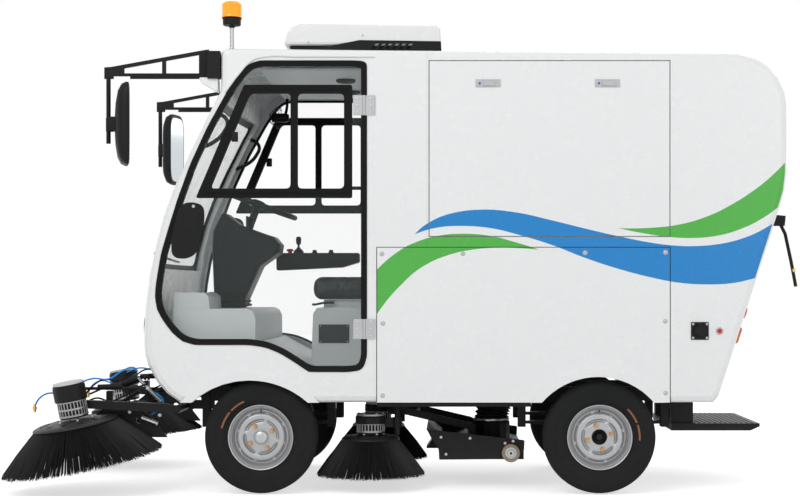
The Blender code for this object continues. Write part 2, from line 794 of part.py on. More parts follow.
def arch_lip(name, centre_x, centre_z, radius, side):
    """Raised band round a wheel arch."""
    outer = radius + ARCH_LIP_WIDTH
    low = arch_span(centre_z, outer)
    tight = arch_span(centre_z, radius)
    outline = arc(centre_x, centre_z, outer, low, 180.0 - low, 18)
    outline += arc(centre_x, centre_z, radius, 180.0 - tight, tight, 18)
    near_y = side * (HALF_WIDTH - SINK)
    return outline_prism(name, outline, near_y, side * (HALF_WIDTH + ARCH_LIP_DEPTH))


def arch_cutter(centre_x, centre_z, radius):
    """Round cutter through both sides of the body."""
    wide = HALF_WIDTH + OVERRUN
    return rod("Arch", (centre_x, -wide, centre_z), (centre_x, wide, centre_z), radius, 40)


def side_panel_outline():
    """Lower panel with its wheel arch cut out."""
    corners = view_points(SIDE_PANEL_PIXELS)
    low = arch_span(REAR_ARCH_Z, REAR_ARCH_RADIUS)
    bow = arc(REAR_ARCH_X, REAR_ARCH_Z, REAR_ARCH_RADIUS, 180.0 - low, low, 16)
    return [corners[0], corners[1], corners[2]] + bow + [corners[3]]


def panel_recesses(outline, gap):
    """Cutters of a flush panel: its own seat, and the way through behind it."""
    seat_y = HALF_WIDTH - PANEL_THICKNESS - FIT_GAP
    outer = both_sides("Seat", inset(outline, -gap), seat_y, HALF_WIDTH + OVERRUN)
    inner_y = HALF_WIDTH - WALL - OVERRUN
    inner = both_sides("Way", inset(outline, REBATE), inner_y, HALF_WIDTH + OVERRUN)
    return outer + inner


def hinge_x():
    """Vertical pin line of the cab doors."""
    return view_point(HINGE_PIXEL_X, VIEW_PIXEL_Y)[0]


def hinge_y(side):
    """How far out the cab doors' pins stand."""
    return side * (HALF_WIDTH + HINGE_STAND_OFF)


def hatch_outline(gap):
    """Slanted rear hatch seen from the side, thick as a panel, grown by a gap."""
    high_z = view_point(VIEW_PIXEL_X, HATCH_HIGH_PIXEL_Y)[1]
    low_z = view_point(VIEW_PIXEL_X, HATCH_LOW_PIXEL_Y)[1]
    top = Vector(view_point(BODY_OUTLINE[9].pixel_x, BODY_OUTLINE[9].pixel_y))
    bottom = Vector(view_point(BODY_OUTLINE[10].pixel_x, BODY_OUTLINE[10].pixel_y))
    slope = (top - bottom).normalized()
    inward = Vector((slope.y, -slope.x))
    start = bottom + slope * ((low_z - bottom.y) / slope.y - gap)
    end = bottom + slope * ((min(high_z, top.y) - bottom.y) / slope.y + gap)
    return (start, end, inward)


def hatch_slab(name, grow, half_width, depth, outside):
    """Slab along the slanted rear face, from outside it to a depth."""
    start, end, inward = hatch_outline(grow)
    outline = [
        tuple(start - inward * outside),
        tuple(end - inward * outside),
        tuple(end + inward * depth),
        tuple(start + inward * depth),
    ]
    return outline_prism(name, outline, -half_width - grow, half_width + grow)


def body_cavity(low_x, high_x, low_z, high_z):
    """Hollow of the body between two cross walls."""
    cavity = body_loft("Cavity", WALL)
    return apply_modifiers(keep(cavity, reach(low_x, high_x, low_z, high_z, HALF_WIDTH)))


def front_x_at(height, across):
    """Where the body's front face lies at a height and a distance from the middle."""
    section = body_section(across, 0.0)[12:]
    for low, high in zip(section, section[1:]):
        if low[1] <= height <= high[1]:
            share = (height - low[1]) / (high[1] - low[1])
            return low[0] + (high[0] - low[0]) * share
    return section[0][0]


def build_cab_shell():
    """Front of the body: pillars, roof, nose and rear wall, open below."""
    shell = body_loft("Cab", 0.0)
    keep(shell, reach(seam_x() + FIT_GAP, BEYOND, 0.0, BEYOND, BEYOND))
    wall_x = seam_x() + WALL
    room = body_cavity(wall_x, BEYOND, FLOOR_LOW_Z - FLOOR_THICKNESS, BEYOND)
    low_z = body_bottom_z() - OVERRUN
    nose_x = BODY_OUTLINE[12]
    front_x = view_point(nose_x.pixel_x, nose_x.pixel_y)[0] - WALL
    under = box(
        "Under",
        (seam_x() - OVERRUN, WALL - HALF_WIDTH, low_z),
        (front_x, HALF_WIDTH - WALL, FLOOR_LOW_Z - FLOOR_THICKNESS + SINK),
    )
    cut(shell, room, under)
    opening = inset(view_points(CAB_DOOR_PIXELS), -SHUT_GAP)
    cut(shell, *both_sides("Doorway", opening, HALF_WIDTH - WALL - OVERRUN, HALF_WIDTH + OVERRUN))
    screen = box(
        "ScreenHole",
        (SCREEN_REAR_X, -SCREEN_HALF_WIDTH - FIT_GAP, SCREEN_LOW_Z - FIT_GAP),
        (BEYOND, SCREEN_HALF_WIDTH + FIT_GAP, SCREEN_HIGH_Z + FIT_GAP),
    )
    cut(shell, screen, arch_cutter(FRONT_ARCH_X, FRONT_ARCH_Z, FRONT_ARCH_RADIUS))
    cut(shell, *panel_recesses(side_panel_outline(), FIT_GAP))
    for _, side in SIDES:
        lip = arch_lip("Lip", FRONT_ARCH_X, FRONT_ARCH_Z, FRONT_ARCH_RADIUS, side)
        join(shell, lip)
        for lamp in lamp_places():
            if lamp.y * side > 0:
                cut(shell, lamp_solid("LampHole", lamp, FIT_GAP))
        for pixel_y in HINGE_PIXELS_Y:
            join(shell, hinge_leaf(side, pixel_y, False), hinge_barrel(side, pixel_y, False))
    return show(shell, "cab_shell", "white_paint")


def hinge_barrel(side, pixel_y, on_door):
    """Upper or lower half of a hinge's barrel."""
    z = view_point(HINGE_PIXEL_X, pixel_y)[1]
    half = HINGE_HEIGHT / 2
    low, high = (z + FIT_GAP, z + half) if on_door else (z - half, z - FIT_GAP)
    start = (hinge_x(), hinge_y(side), low)
    end = (hinge_x(), hinge_y(side), high)
    return rod("Barrel", start, end, HINGE_BARREL_RADIUS, SMALL_STEPS)


def hinge_leaf(side, pixel_y, on_door):
    """Leaf from the barrel out to its screws, with its seat in the frame."""
    z = view_point(HINGE_PIXEL_X, pixel_y)[1]
    half = HINGE_HEIGHT / 2
    low, high = (z + FIT_GAP, z + half) if on_door else (z - half, z - FIT_GAP)
    turn = 1.0 if on_door else -1.0
    near_y = HALF_WIDTH + SINK
    far_y = near_y + HINGE_LEAF_THICKNESS
    edge_x = view_point(CAB_DOOR_PIXELS[4][0], VIEW_PIXEL_Y)[0]
    end_x = hinge_x() + turn * HINGE_LEAF_LENGTH
    leaf = box_between("Leaf", hinge_x(), end_x, side, near_y, far_y, low, high)
    if on_door:
        foot_far = edge_x + DOOR_RING_WIDTH - SINK
        foot = box_between("Foot", hinge_x(), foot_far, side, HALF_WIDTH - SINK, far_y - SINK / 2, low, high)
    else:
        foot_near = edge_x - SHUT_GAP - SINK
        foot = box_between("Foot", foot_near, end_x, side, HALF_WIDTH - SINK, far_y - SINK / 2, low, high)
    return apply_modifiers(join(leaf, foot))


def box_between(name, x_one, x_two, side, near_y, far_y, low, high):
    """Box given by unordered corners on one side of the vehicle."""
    y_one = side * near_y
    y_two = side * far_y
    return box(
        name,
        (min(x_one, x_two), min(y_one, y_two), low),
        (max(x_one, x_two), max(y_one, y_two), high),
    )


def build_body_shell():
    """Load body behind the cab, with a floor, doorways and panel seats."""
    shell = body_loft("Body", 0.0)
    keep(shell, reach(-BEYOND, seam_x() - FIT_GAP, 0.0, BEYOND, BEYOND))
    floor_top = LOAD_FLOOR_Z + FLOOR_THICKNESS
    room = body_cavity(-BEYOND, seam_x() + OVERRUN, floor_top, BEYOND)
    under = box(
        "Under",
        (UNDERSIDE_REAR_X, WALL - HALF_WIDTH, body_bottom_z() - OVERRUN),
        (seam_x() + OVERRUN, HALF_WIDTH - WALL, LOAD_FLOOR_Z),
    )
    cut(shell, room, under)
    cut(shell, arch_cutter(REAR_ARCH_X, REAR_ARCH_Z, REAR_ARCH_RADIUS + ARCH_RELIEF))
    cut(shell, *panel_recesses(view_points(SERVICE_DOOR_PIXELS), SHUT_GAP))
    cut(shell, *panel_recesses(side_panel_outline(), FIT_GAP))
    cut(shell, hatch_slab("HatchSeat", SHUT_GAP, HATCH_HALF_WIDTH, PANEL_THICKNESS + FIT_GAP, OVERRUN))
    cut(shell, hatch_slab("HatchWay", -REBATE, HATCH_HALF_WIDTH, WALL * 2, OVERRUN))
    return show(shell, "body_shell", "white_paint")


def build_side_panels():
    """Bolted lower panels with the rear wheel arches."""
    for label, side in SIDES:
        near_y = side * (HALF_WIDTH - PANEL_THICKNESS)
        panel = outline_prism("Panel", side_panel_outline(), near_y, side * HALF_WIDTH)
        join(panel, arch_lip("Lip", REAR_ARCH_X, REAR_ARCH_Z, REAR_ARCH_RADIUS, side))
        show(panel, f"side_panel_{label}", "white_paint")


def service_hinge():
    """Lower edge line of the upper side doors."""
    return view_point(*SERVICE_DOOR_PIXELS[2])


def build_service_doors():
    """Flush upper side doors that drop outward on their lower edges."""
    centre_x = (view_point(*SERVICE_DOOR_PIXELS[0])[0] + service_hinge()[0]) / 2
    for label, side in SIDES:
        near_y = side * (HALF_WIDTH - PANEL_THICKNESS)
        door = outline_prism("Door", view_points(SERVICE_DOOR_PIXELS), near_y, side * HALF_WIDTH)
        pivot = (centre_x, side * HALF_WIDTH, service_hinge()[1] - SHUT_GAP / 2)
        show(door, f"service_door_{label}", "white_paint", pivot)


def hatch_pivot():
    """Upper edge of the rear hatch on the outer face."""
    _, end, _ = hatch_outline(0.0)
    return (end.x, 0.0, end.y)


def build_rear_hatch():
    """Flush rear hatch that swings up on its upper edge."""
    hatch = hatch_slab("Hatch", 0.0, HATCH_HALF_WIDTH, PANEL_THICKNESS, 0.0)
    show(hatch, "rear_hatch", "white_paint", hatch_pivot())


def build_cab_doors():
    """Glass doors: rubber frame with the sliding window's frame, and the pane between them."""
    outer = view_points(CAB_DOOR_PIXELS)
    inner = inset(outer, DOOR_RING_WIDTH)
    window = view_points(WINDOW_FRAME_PIXELS)
    inner_y = HALF_WIDTH - DOOR_THICKNESS
    for label, side in SIDES:
        frame = outline_prism("Ring", outer, side * inner_y, side * HALF_WIDTH)
        through = (side * (inner_y - OVERRUN), side * (HALF_WIDTH + OVERRUN))
        cut(frame, outline_prism("RingHole", inner, *through))
        slider = outline_prism("Slider", window, side * inner_y, side * HALF_WIDTH)
        for hole in (WINDOW_FRONT_PIXELS, WINDOW_REAR_PIXELS):
            cut(slider, outline_prism("SliderHole", view_points(hole), *through))
        join(frame, slider)
        for pixel_y in HINGE_PIXELS_Y:
            join(frame, hinge_leaf(side, pixel_y, True), hinge_barrel(side, pixel_y, True))
        for pixel_y in CATCH_PIXELS_Y:
            join(frame, window_catch(side, pixel_y, inner_y))
        join(frame, door_handle(side))
        pivot = (hinge_x(), hinge_y(side), view_point(HINGE_PIXEL_X, HINGE_PIXELS_Y[1])[1])
        show(frame, f"cab_door_{label}", "black_rubber", pivot)
        pane_y = HALF_WIDTH - PANE_THICKNESS
        pane = outline_prism("Pane", inset(inner, FIT_GAP), side * pane_y, side * HALF_WIDTH)
        hole_y = (side * (pane_y - OVERRUN), side * (HALF_WIDTH + OVERRUN))
        cut(pane, outline_prism("PaneHole", inset(window, -FIT_GAP), *hole_y))
        show(pane, f"door_glass_{label}", "clear_glass", pivot)


def window_catch(side, pixel_y, inner_y):
    """Short bar that carries the window's frame from the rear of the door's frame."""
    z = view_point(HINGE_PIXEL_X, pixel_y)[1]
    start_x = view_point(WINDOW_FRAME_PIXELS[1][0], pixel_y)[0] + SINK
    end_x = view_point(CAB_DOOR_PIXELS[4][0], pixel_y)[0] + DOOR_RING_WIDTH - SINK
    far_y = HALF_WIDTH - PANE_THICKNESS - FIT_GAP
    return box_between(
        "Catch", start_x, end_x, side, inner_y, far_y, z - CATCH_HEIGHT / 2, z + CATCH_HEIGHT / 2
    )


def door_handle(side):
    """Outer handle plate on the door's front edge, with a lug into the frame."""
    near_y = side * (HALF_WIDTH + FIT_GAP)
    plate = outline_prism("Plate", view_points(HANDLE_PIXELS), near_y, side * (HALF_WIDTH + HANDLE_DEPTH))
    edge_x, z = view_point(HANDLE_PIXELS[9][0], HANDLE_PIXELS[9][1])
    front_x = edge_x + DOOR_RING_WIDTH * 0.9
    thick_y = HALF_WIDTH + HANDLE_DEPTH / 2
    low = z - DOOR_RING_WIDTH
    neck = box_between("Neck", edge_x - SINK, front_x, side, HALF_WIDTH + FIT_GAP, thick_y, low, z)
    foot_x = edge_x + DOOR_RING_WIDTH * 0.65
    foot = box_between("Foot", foot_x, front_x, side, HALF_WIDTH - SINK, thick_y - SINK, low, z)
    return apply_modifiers(join(plate, neck, foot))


Lamp = namedtuple("Lamp", "x y z")


def lamp_places():
    """Centres of the headlamps' front faces."""
    return [Lamp(front_x_at(LAMP_Z, LAMP_Y), side * LAMP_Y, LAMP_Z) for _, side in SIDES]


def lamp_solid(name, lamp, grow):
    """Round headlamp with a domed lens, grown by a gap to cut its hole."""
    radius = LAMP_RADIUS + grow
    dome = LAMP_DOME + grow * OVERRUN / FIT_GAP
    profile = [
        (0.0, dome + LAMP_DOME / 2),
        (radius * 0.55, dome + LAMP_DOME / 3),
        (radius * 0.9, dome),
        (radius, dome - LAMP_DOME / 3),
        (radius, -LAMP_DEPTH - grow),
        (0.0, -LAMP_DEPTH - grow),
    ]
    return turned(name, profile, lamp, (1.0, 0.0, 0.0))


def build_headlamps():
    """Headlamps in the nose."""
    for (label, _), lamp in zip(SIDES, lamp_places()):
        show(lamp_solid("Headlamp", lamp, 0.0), f"headlamp_{label}", "lamp_lens")


def build_windscreen():
    """Curved windscreen cut from the body's own surface."""
    pane = body_loft("Screen", SCREEN_SET_IN)
    cut(pane, body_loft("ScreenBack", SCREEN_SET_IN + SCREEN_THICKNESS))
    low = (SCREEN_REAR_X, -SCREEN_HALF_WIDTH, SCREEN_LOW_Z)
    keep(pane, box("ScreenEdge", low, (BEYOND, SCREEN_HALF_WIDTH, SCREEN_HIGH_Z)))
    show(pane, "windscreen", "clear_glass")


def build_cab_floor():
    """Stepped cab floor with the seat box on it."""
    rear_x = seam_x() + WALL + FIT_GAP
    top = [
        (rear_x, FLOOR_LOW_Z),
        (FLOOR_RAMP_REAR_X, FLOOR_LOW_Z),
        (FLOOR_RAMP_FRONT_X, FLOOR_HIGH_Z),
        (FLOOR_FRONT_X, FLOOR_HIGH_Z),
    ]
    outline = top + [(x, z - FLOOR_THICKNESS + FIT_GAP) for x, z in reversed(top)]
    wide = HALF_WIDTH - WALL - FIT_GAP
    floor = outline_prism("Floor", outline, -wide, wide)
    corner = SEAT_ROUND
    seat_box = [
        (SEAT_BOX_REAR_X, FLOOR_LOW_Z - SINK),
        (SEAT_BOX_FRONT_X, FLOOR_LOW_Z - SINK),
        (SEAT_BOX_FRONT_X - corner / 3, SEAT_BOX_HIGH_Z - corner),
        (SEAT_BOX_FRONT_X - corner, SEAT_BOX_HIGH_Z),
        (SEAT_BOX_REAR_X, SEAT_BOX_HIGH_Z),
    ]
    join(floor, outline_prism("SeatBox", seat_box, -SEAT_HALF_WIDTH, SEAT_HALF_WIDTH))
    slide_wide = SEAT_HALF_WIDTH - SEAT_ROUND * 2
    low = (SEAT_BOX_REAR_X + SINK, -slide_wide, SEAT_BOX_HIGH_Z - SINK)
    high = (SEAT_BOX_FRONT_X - SEAT_ROUND * 2, slide_wide, SEAT_LOW_Z - FIT_GAP)
    join(floor, box("Slide", low, high))
    show(floor, "cab_floor", "grey_panel")


def build_dash():
    """Low dash over the front wheels, raised at its sides."""
    outline = view_points(DASH_LOWER_PIXELS, DASH_GRID_LENGTH)
    base_z = FLOOR_HIGH_Z + FIT_GAP
    outline = [(x, max(z, base_z)) for x, z in outline]
    dash = outline_prism("Dash", outline, -FIT_OUT_Y, FIT_OUT_Y)
    upper = view_points(DASH_UPPER_PIXELS, DASH_GRID_LENGTH)
    for _, side in SIDES:
        join(dash, outline_prism("DashTop", upper, side * DASH_UPPER_Y, side * (FIT_OUT_Y - SINK)))
    show(dash, "dash_box", "grey_panel")


def steering_axis():
    """Direction of the steering shaft, up toward the driver."""
    angle = math.radians(STEERING_TILT_DEG)
    return Vector((-math.sin(angle), 0.0, math.cos(angle)))


def steering_point(along):
    """Point on the steering shaft below the wheel's centre."""
    return Vector((STEERING_X, 0.0, STEERING_Z)) - steering_axis() * along


def build_steering():
    """Steering console with its shaft, and the wheel on it."""
    outline = view_points(CONSOLE_PIXELS, MID_GRID_LENGTH)
    base_z = view_point(*DASH_LOWER_PIXELS[0], DASH_GRID_LENGTH)[1] + FIT_GAP * 3
    outline = [(x, base_z if i in (4, 5) else z) for i, (x, z) in enumerate(outline)]
    console = outline_prism("Console", outline, -CONSOLE_HALF_WIDTH, CONSOLE_HALF_WIDTH)
    bevel = console.modifiers.new("Round", "BEVEL")
    bevel.width = CONSOLE_HALF_WIDTH / 5
    bevel.segments = 2
    bevel.angle_limit = math.radians(60)
    apply_modifiers(console)
    top = STEERING_RIM_RADIUS + FIT_GAP
    shaft = rod("Shaft", steering_point(STEERING_SHAFT_LENGTH), steering_point(top), STEERING_SHAFT_RADIUS)
    join(console, shaft)
    show(console, "steering_column", "black_plastic")
    ring = []
    for i in range(SMALL_STEPS):
        angle = math.radians(360 * i / SMALL_STEPS)
        ring.append(
            (
                STEERING_RADIUS + STEERING_RIM_RADIUS * math.cos(angle),
                STEERING_RIM_RADIUS * math.sin(angle),
            )
        )
    centre = steering_point(0.0)
    wheel = turned("Wheel", ring, centre, steering_axis(), RING_STEPS)
    hub = rod(
        "Hub",
        steering_point(STEERING_RIM_RADIUS),
        steering_point(-STEERING_RIM_RADIUS * 1.5),
        STEERING_HUB_RADIUS,
    )
    spokes = []
    frame = Matrix.Translation(centre) @ turn_to(steering_axis())
    for angle in (90.0, 210.0, 330.0):
        turn = math.radians(angle)
        way = frame.to_3x3() @ Vector((math.cos(turn), math.sin(turn), 0.0))
        out = way * STEERING_RADIUS
        spokes.append(rod("Spoke", centre, centre + out, STEERING_RIM_RADIUS * 0.7, SMALL_STEPS))
    join(wheel, hub, *spokes)
    show(wheel, "steering_wheel", "black_plastic", centre)


def build_control_panel():
    """Armrest with the controls, carried by the cab's rear wall."""
    rear_x = seam_x() + WALL + FIT_GAP
    low = (rear_x, PANEL_FAR_Y, PANEL_LOW_Z)
    panel = soft_box("Panel", low, (PANEL_FRONT_X, PANEL_NEAR_Y, PANEL_HIGH_Z), SEAT_ROUND / 3)
    show(panel, "control_panel", "black_plastic")


def build_seat():
    """Seat cushion and back."""
    back_front_x = seam_x() + WALL + FIT_GAP + SEAT_BACK_THICKNESS
    cushion = soft_box(
        "Cushion",
        (back_front_x + FIT_GAP, -SEAT_HALF_WIDTH, SEAT_LOW_Z),
        (SEAT_FRONT_X, SEAT_HALF_WIDTH, SEAT_HIGH_Z),
        SEAT_ROUND,
    )
    show(cushion, "seat_cushion", "seat_vinyl")
    back = soft_box(
        "Back",
        (seam_x() + WALL + FIT_GAP, -SEAT_HALF_WIDTH, SEAT_LOW_Z),
        (back_front_x, SEAT_HALF_WIDTH, SEAT_BACK_HIGH_Z),
        SEAT_ROUND,
    )
    show(back, "seat_back", "seat_vinyl")


def build_battery():
    """Closed battery pack on the load floor behind the cab."""
    floor = LOAD_FLOOR_Z + FLOOR_THICKNESS + FIT_GAP
    low = (BATTERY_REAR_X, -BATTERY_HALF_WIDTH, floor)
    pack = box("Pack", low, (BATTERY_FRONT_X, BATTERY_HALF_WIDTH, floor + BATTERY_HEIGHT))
    show(pack, "battery_pack", "black_plastic")


def roof_z_at(x):
    """Height of the roof's middle line."""
    section = body_section(0.0, 0.0)
    line = [section[1], section[0], section[-1]]
    for rear, front in zip(line, line[1:]):
        if rear[0] <= x <= front[0]:
            return rear[1] + (front[1] - rear[1]) * (x - rear[0]) / (front[0] - rear[0])
    return line[-1][1]


def build_roof_unit():
    """Cooling unit on the roof: dark base and pale cover."""
    wide = ROOF_UNIT_HALF_WIDTH
    split_z = view_point(VIEW_PIXEL_X, ROOF_UNIT_SPLIT_PIXEL_Y, ROOF_GRID_LENGTH)[1]
    front_x, rear_x = (view_point(pixel, VIEW_PIXEL_Y, ROOF_GRID_LENGTH)[0] for pixel in ROOF_BASE_PIXELS_X)
    bend_x = body_section(0.0, 0.0)[0][0]
    outline = [(front_x, split_z - FIT_GAP), (rear_x, split_z - FIT_GAP)]
    for x in (rear_x, bend_x, front_x):
        outline.append((x, roof_z_at(x) + FIT_GAP))
    inner = wide - ROOF_UNIT_ROUND
    show(outline_prism("RoofBase", outline, -inner, inner), "roof_unit_base", "black_plastic")
    cover = outline_prism("RoofCover", view_points(ROOF_COVER_PIXELS, ROOF_GRID_LENGTH), -wide, wide)
    bevel = cover.modifiers.new("Round", "BEVEL")
    bevel.width = ROOF_UNIT_ROUND
    bevel.segments = 2
    bevel.angle_limit = math.radians(50)
    show(cover, "roof_unit_cover", "white_paint")


def build_beacon():
    """Warning beacon on its pole."""
    foot = body_section(BEACON_Y, 0.0)[-1][1] + FIT_GAP
    base_z = foot + BEACON_POLE_LENGTH
    lens_z = base_z + BEACON_BASE_HEIGHT
    top_z = lens_z + BEACON_LENS_HEIGHT
    base = BEACON_BASE_RADIUS
    pole = BEACON_POLE_RADIUS
    mast = [
        (0.0, lens_z - FIT_GAP),
        (base * 0.85, lens_z - FIT_GAP),
        (base, lens_z - pole),
        (base, base_z),
        (pole, base_z - pole / 2),
        (pole, foot + pole),
        (pole * 2, foot + pole / 2),
        (pole * 2, foot),
        (0.0, foot),
    ]
    place = (BEACON_X, BEACON_Y, 0.0)
    show(turned("Mast", mast, place, (0.0, 0.0, 1.0)), "beacon_mast", "black_plastic")
    lens = BEACON_LENS_RADIUS
    dome = [
        (0.0, top_z),
        (lens * 0.7, top_z - pole / 2),
        (lens * 0.95, top_z - pole * 1.6),
        (lens, lens_z + pole),
        (lens * 0.97, lens_z),
        (0.0, lens_z),
    ]
    show(turned("Lens", dome, place, (0.0, 0.0, 1.0)), "beacon_lens", "amber_lens")


def build_mirrors():
    """Outside mirrors on slotted arms ahead of the roof's corners."""
    half = MIRROR_ARM_THICKNESS / 2
    arm = outline_prism("Arm", view_points(MIRROR_ARM_PIXELS), MIRROR_Y - half, MIRROR_Y + half)
    wide = half + OVERRUN
    for slot in MIRROR_SLOT_PIXELS:
        cut(arm, outline_prism("Slot", view_points(slot), MIRROR_Y - wide, MIRROR_Y + wide))
    block = view_points(MIRROR_BLOCK_PIXELS)
    inner_y = MIRROR_Y - half * 4
    face_x = max(front_x_at(block[i][1], inner_y) for i in (1, 2)) + FIT_GAP
    block = [(face_x if i in (1, 2) else x, z) for i, (x, z) in enumerate(block)]
    join(arm, outline_prism("Block", block, MIRROR_Y - half * 4, MIRROR_Y + half * 4))
    (rod_x, high), (_, low) = view_points(MIRROR_ROD_PIXELS)
    rod_top = (rod_x, MIRROR_Y, high + SINK)
    join(arm, rod("Rod", (rod_x, MIRROR_Y, low), rod_top, MIRROR_ROD_RADIUS, SMALL_STEPS))
    (clamp_x, clamp_high), (clamp_end, clamp_low) = view_points(MIRROR_CLAMP_PIXELS)
    clamp = (MIRROR_Y - half * 2.4, MIRROR_Y + half * 2.4)
    join(arm, box("Clamp", (clamp_end, clamp[0], clamp_low), (clamp_x, clamp[1], clamp_high)))
    head_x, head_z = view_point(*MIRROR_HEAD_PIXEL)
    size = Vector((MIRROR_DEPTH, MIRROR_WIDTH, MIRROR_HEIGHT)) / 2
    head = apply_modifiers(soft_box("Head", -size, size, MIRROR_ROUND))
    turn = Matrix.Rotation(math.radians(MIRROR_YAW_DEG), 4, "Z")
    head.data.transform(Matrix.Translation((head_x, MIRROR_Y, head_z)) @ turn)
    left = show(join(arm, head), "mirror_left", "black_plastic")
    mirrored(left, "mirror_right")


def build_step():
    """Rear step with its brackets under the frame."""
    low = (STEP_REAR_X, -STEP_HALF_WIDTH, STEP_LOW_Z)
    step = box("Step", low, (STEP_FRONT_X, STEP_HALF_WIDTH, STEP_LOW_Z + STEP_THICKNESS))
    nose = STEP_THICKNESS * 1.4
    tip = [
        (STEP_REAR_X - OVERRUN, STEP_LOW_Z - SINK),
        (STEP_REAR_X + nose, STEP_LOW_Z - SINK),
        (STEP_REAR_X - SINK, STEP_LOW_Z + STEP_THICKNESS * 0.6),
        (STEP_REAR_X - OVERRUN, STEP_LOW_Z + STEP_THICKNESS),
    ]
    cut(step, outline_prism("StepTip", tip, -STEP_HALF_WIDTH - OVERRUN, STEP_HALF_WIDTH + OVERRUN))
    rail_low = RAIL_TOP_Z - RAIL_HEIGHT
    for _, side in SIDES:
        bracket = box_between(
            "Bracket",
            STEP_FRONT_X - SINK,
            RAIL_REAR_X + SINK,
            side,
            RAIL_Y - RAIL_WIDTH / 2,
            RAIL_Y + RAIL_WIDTH / 2,
            STEP_LOW_Z + STEP_THICKNESS / 2,
            rail_low - FIT_GAP,
        )
        join(step, bracket)
    show(step, "rear_step", "black_paint")


def build_lance():
    """Spray lance hung beside the rear hatch."""
    half = LANCE_RADIUS * 1.8
    section = body_section(LANCE_Y, 0.0)
    top, bottom = section[9], section[10]
    bracket = view_points(LANCE_BRACKET_PIXELS, LANCE_GRID_LENGTH)
    seat = []
    for i, (x, z) in enumerate(bracket):
        share = (z - bottom[1]) / (top[1] - bottom[1])
        face = bottom[0] + (top[0] - bottom[0]) * share - FIT_GAP * 1.1
        seat.append((face if i in (0, 3) else min(x, face - half), z))
    lance = outline_prism("Hook", seat, LANCE_Y - half, LANCE_Y + half)
    points = [(x, LANCE_Y, z) for x, z in view_points(LANCE_PIXELS, LANCE_GRID_LENGTH)]
    points[0] = ((seat[1][0] + seat[0][0]) / 2, LANCE_Y, points[0][2])
    join(lance, tube("Lance", points, LANCE_RADIUS))
    show(lance, "spray_lance", "black_plastic")


def build_wheels():
    """Rims with hub and blind bore, and tyres on them."""
    bore = SPINDLE_RADIUS + SPIN_GAP
    half = RIM_WIDTH / 2
    for end, axle_x in (("front", WHEELBASE_FRONT_X), ("rear", WHEELBASE_REAR_X)):
        for label, side in SIDES:
            centre = (axle_x, side * TYRE_CENTRE_Y, AXLE_Z)
            out = (0.0, side, 0.0)
            profile = [(RIM_RADIUS * r, half * h) for r, h in RIM_OUTER_SHARES]
            profile += [(bore, profile[-1][1]), (bore, half * 0.6), (0.0, half * 0.6)]
            rim = turned("Rim", profile, centre, out, RIM_STEPS)
            show(rim, f"rim_{end}_{label}", "rim_silver", centre)
            wide = TYRE_WIDTH / 2
            bead = RIM_RADIUS * RIM_SEAT_SHARE + FIT_GAP
            bead_half = half * BEAD_HALF_SHARE
            flange = RIM_RADIUS + FIT_GAP
            loop = [(bead, bead_half), (flange, bead_half)]
            loop += [(TYRE_RADIUS * r, wide * h) for r, h in TYRE_SHARES]
            loop += [(flange, -bead_half), (bead, -bead_half), (bead, BEAD_WIDTH - bead_half)]
            loop += [(TYRE_RADIUS * r, wide * h) for r, h in TYRE_INNER_SHARES]
            loop += [(bead, bead_half - BEAD_WIDTH)]
            tyre = turned("Tyre", loop, centre, out, TYRE_STEPS)
            show(tyre, f"tyre_{end}_{label}", "black_rubber", centre)


def spring(axle_x, half, side, sink):
    """Leaf spring with rolled eyes, lying on the axle beam."""
    eye = SPRING_EYE_RADIUS
    low = AXLE_Z + AXLE_BEAM_HALF_HEIGHT - sink
    outline = [
        (axle_x + half, SPRING_EYE_Z + eye * 0.6),
        (axle_x, low + SPRING_DEPTH),
        (axle_x - half, SPRING_EYE_Z + eye * 0.6),
        (axle_x - half, SPRING_EYE_Z - eye * 0.2),
        (axle_x - half * 0.6, low + SPRING_DEPTH * 0.15),
        (axle_x - half * 0.25, low),
        (axle_x + half * 0.25, low),
        (axle_x + half * 0.6, low + SPRING_DEPTH * 0.15),
        (axle_x + half, SPRING_EYE_Z - eye * 0.2),
    ]
    near_y = side * (RAIL_Y - SPRING_LEAF_WIDTH / 2)
    far_y = side * (RAIL_Y + SPRING_LEAF_WIDTH / 2)
    leaves = outline_prism("Leaves", outline, near_y, far_y)
    for way in (-1.0, 1.0):
        x = axle_x + way * half
        join(leaves, rod("Eye", (x, near_y, SPRING_EYE_Z), (x, far_y, SPRING_EYE_Z), eye, SMALL_STEPS))
    return apply_modifiers(leaves)


def spindle_end():
    """How far out the axle spindles reach into the rims' bores."""
    return TYRE_CENTRE_Y + RIM_WIDTH / 2 * 0.6 - FIT_GAP


def build_front_axle():
    """Front beam with leaf springs and the forks that hold the knuckles."""
    half = AXLE_BEAM_HALF_HEIGHT
    x = WHEELBASE_FRONT_X
    low = (x - half, -FORK_WEB_Y, AXLE_Z - half)
    beam = box("Beam", low, (x + half, FORK_WEB_Y, AXLE_Z + half))
    top = BOSS_HALF_HEIGHT + FIT_GAP
    for _, side in SIDES:
        web_in = FORK_WEB_Y - FORK_THICKNESS
        high = top + FORK_THICKNESS
        web = box_between("Web", x - half, x + half, side, web_in, FORK_WEB_Y, AXLE_Z - high, AXLE_Z + high)
        join(beam, web)
        for low_z, high_z in ((top, high), (-high, -top)):
            lug = box_between(
                "Lug", x - BOSS_RADIUS, x + BOSS_RADIUS, side, FORK_WEB_Y - SINK,
                KINGPIN_Y + BOSS_RADIUS, AXLE_Z + low_z, AXLE_Z + high_z
            )
            join(beam, lug)
        join(beam, spring(x, FRONT_SPRING_HALF_LENGTH, side, SINK))
    show(beam, "front_axle", "black_paint")


